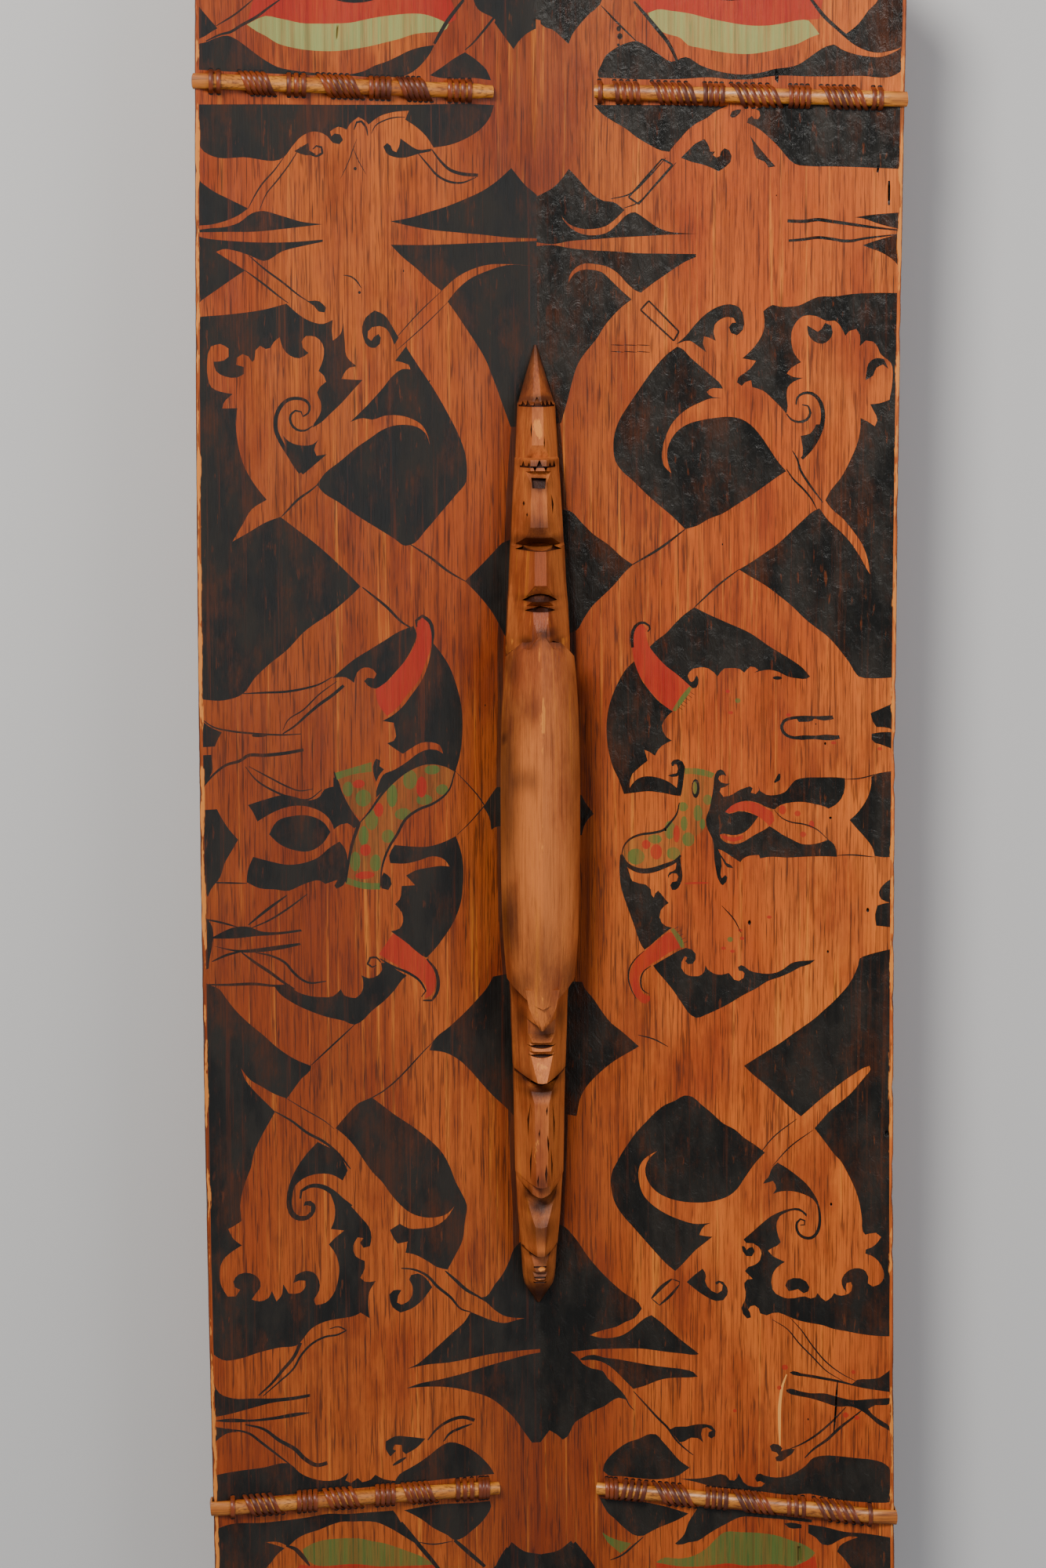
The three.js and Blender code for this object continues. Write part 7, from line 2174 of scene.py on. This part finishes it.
def black_paint(nodes, at, wood):
    """Black paint, rubbed brown along the grain, chipped, and gone from the worn edges."""
    ink = nodes.mix(nodes.ramp(at.blotches, 0.35, 0.65), linear(THICK_INK), linear(THIN_INK))
    rubbed = nodes.noise((34, 16, 34), detail=6, roughness=0.72, offset=12)
    along_grain = nodes.ramp(at.lines, 0.4, 0.6, 0.45, 1.0)
    rubbing = nodes.math("MULTIPLY", nodes.ramp(rubbed, 0.48, 0.66, 0.0, 0.75), along_grain)
    ink = nodes.mix(rubbing, ink, linear(RUBBED_INK))
    kept = nodes.math("SUBTRACT", 1.0, nodes.math("MULTIPLY", at.right_half, 0.5))
    wear = nodes.math("MULTIPLY", nodes.ramp(at.streaks, 0.56, 0.7, 0.0, 0.5), kept)
    chips = nodes.ramp(nodes.noise((420, 70, 420), detail=4, offset=9), 0.62, 0.7, 0.0, 0.4)
    wear = nodes.math("MAXIMUM", wear, chips)
    ink = nodes.mix(wear, ink, nodes.mix(0.55, wood, linear(WOOD_UNDER_INK)))
    return nodes.mix(at.rubbed, ink, wood)


def paint_relief(nodes, at, glossy):
    """Wrinkles in the thick paint of the right half, and the grain of the wood."""
    wrinkles = nodes.noise((230, 120, 230), detail=6, roughness=0.62, distortion=0.9, offset=5)
    wrinkles = nodes.math("MULTIPLY", wrinkles, nodes.ramp(glossy, 0.0, 1.0, 0.12, 1.0))
    grain = nodes.math("ADD", at.grain, nodes.math("MULTIPLY", at.pores, -0.6))
    return nodes.bump(grain, 0.0002, nodes.bump(wrinkles, 0.0008))


def painted_wood():
    nodes = Nodes("painted_wood")
    at = Surface(nodes)
    wood = grained_wood(nodes, at)
    red = nodes.mix(nodes.ramp(at.grain, 0.4, 0.75, 0.78, 0.4), wood, linear(RED_PAINT))
    pale_end = nodes.ramp(at.y, 0.36, 0.4)
    leaf = nodes.mix(pale_end, linear(LEAF_PAINT), linear(PALE_LEAF_PAINT))
    green = nodes.mix(nodes.ramp(at.streaks, 0.35, 0.7, 0.85, 0.45), wood, leaf)
    colour = nodes.mix(at.red, wood, red)
    colour = nodes.mix(at.green, colour, green)
    colour = nodes.mix(at.black, colour, black_paint(nodes, at, wood))
    # Painted shade: near black inside holes, pits and cracks
    colour = nodes.mix(nodes.math("MULTIPLY", at.black, at.red), colour, linear(HOLLOW_SHADE))
    nodes.set(nodes.shader.inputs["Base Color"], colour)
    glossy = nodes.math("MULTIPLY", at.black, at.right_half)
    rough = nodes.ramp(at.blotches, 0.3, 0.7, 0.42, 0.6)
    rough = nodes.math("SUBTRACT", rough, nodes.math("MULTIPLY", glossy, 0.18))
    nodes.set(nodes.shader.inputs["Roughness"], rough)
    nodes.set(nodes.shader.inputs["Specular IOR Level"], 0.32)
    nodes.set(nodes.shader.inputs["Normal"], paint_relief(nodes, at, glossy))
    return nodes.material


def fibrous(name, stretch, patch_stretch, patch_detail, light, brown, fibre, fibre_range, relief):
    """A glossy cane skin with fibres along it."""
    nodes = Nodes(name)
    fibres = nodes.noise(stretch, detail=4, roughness=0.65)
    patches = nodes.noise(patch_stretch, detail=patch_detail, offset=3)
    colour = nodes.mix(nodes.ramp(patches, 0.35, 0.65), linear(light), linear(brown))
    colour = nodes.mix(nodes.ramp(fibres, *fibre_range), colour, linear(fibre))
    nodes.set(nodes.shader.inputs["Base Color"], colour)
    nodes.set(nodes.shader.inputs["Roughness"], nodes.ramp(patches, 0.3, 0.7, 0.32, 0.5))
    nodes.set(nodes.shader.inputs["Normal"], nodes.bump(fibres, relief))
    return nodes.material


def cane_material():
    return fibrous("cane", (9, 900, 900), (24, 60, 60), 4, LIGHT_CANE, BROWN_CANE, CANE_FIBRE,
                   (0.46, 0.66, 0.0, 0.7), 0.00015)


def strip_material():
    return fibrous("split_cane", (700, 12, 700), (90, 30, 90), 3, LIGHT_STRIP, DARK_STRIP, STRIP_FIBRE,
                   (0.5, 0.75, 0.0, 0.5), 0.00012)


# Pieces

# Where the shading breaks: distance from the board's crease, and angles in radians
CREASE_REACH = 0.02
HANDLE_CREASE = 0.42
PIECE_CREASE = 0.7


def front_picture():
    """The unseen front, plainer: the same strapwork at both ends and bare wood between."""
    PICTURE.clear()
    for side in (-1, 1):
        for way in (-1, 1):
            end_strapwork(side, way)
    punch_lacing_holes()
    return list(PICTURE)


def holder_picture():
    PICTURE.clear()
    paint_holder_side()
    punch_lacing_holes()
    return list(PICTURE)


def make_shield(material):
    """The board and its handle as one mesh, with the paint and the surface stored on it."""
    points, faces, paints, state, front_start = make_board(holder_picture(), front_picture())
    shape = bmesh.new()
    paint_layer = shape.loops.layers.float_color.new("paint")
    surface_layer = shape.verts.layers.float_color.new("surface")
    corners = [shape.verts.new(place(*point)) for point in points]
    for number, corner in enumerate(corners):
        corner[surface_layer] = (*state.get(number, (0, 0)), 0, 1)
    for face, paint in zip(faces, paints):
        made = shape.faces.new([corners[i] for i in face])
        made.smooth = True
        for loop in made.loops:
            loop[paint_layer] = MASKS[paint]
    shape.verts.index_update()
    for edge in shape.edges:
        ends = [points[corner.index] for corner in edge.verts]
        before_front = all(corner.index < front_start for corner in edge.verts)
        crease = 0 if before_front else KEEL_HALF
        if all(abs(abs(end.x) - crease) < CREASE_REACH for end in ends):
            edge.smooth = False
    handle = make_handle()
    handle.verts.ensure_lookup_table()
    first = [shape.verts.new(place(*corner.co)) for corner in handle.verts]
    for corner, source in zip(first, handle.verts):
        corner[surface_layer] = handle_surface(*source.co)
    shape.verts.index_update()
    for face in handle.faces:
        made = shape.faces.new([first[corner.index] for corner in face.verts])
        made.smooth = True
        for loop in made.loops:
            loop[paint_layer] = MASKS["wood"]
    handle.free()
    shape.normal_update()
    for corner in first:
        for edge in corner.link_edges:
            if edge.calc_face_angle(0) > HANDLE_CREASE:
                edge.smooth = False
    thing = to_object("shield", shape)
    thing.data.materials.append(material)
    return thing


def make_piece(name, points, faces, material):
    """A cane or its lacing from points in millimetres."""
    shape = to_bmesh([place(*point) for point in points], faces)
    for face in shape.faces:
        face.smooth = True
    for edge in shape.edges:
        if edge.calc_face_angle(0) > PIECE_CREASE:
            edge.smooth = False
    thing = to_object(name, shape)
    thing.data.materials.append(material)
    return thing


shield = make_shield(painted_wood())
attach(shield, "root")
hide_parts("shield_board")
cane_finish = cane_material()
for name, cane in (("upper_cane", UPPER_CANE), ("lower_cane", LOWER_CANE)):
    piece = make_piece("seen_" + name, *make_cane(cane), cane_finish)
    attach(piece, "root")
    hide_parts(name)
strip_finish = strip_material()
for name, (cane, lacing) in LACING.items():
    piece = make_piece("seen_" + name, *make_lashing(cane, lacing), strip_finish)
    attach(piece, "root")
    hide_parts(name)
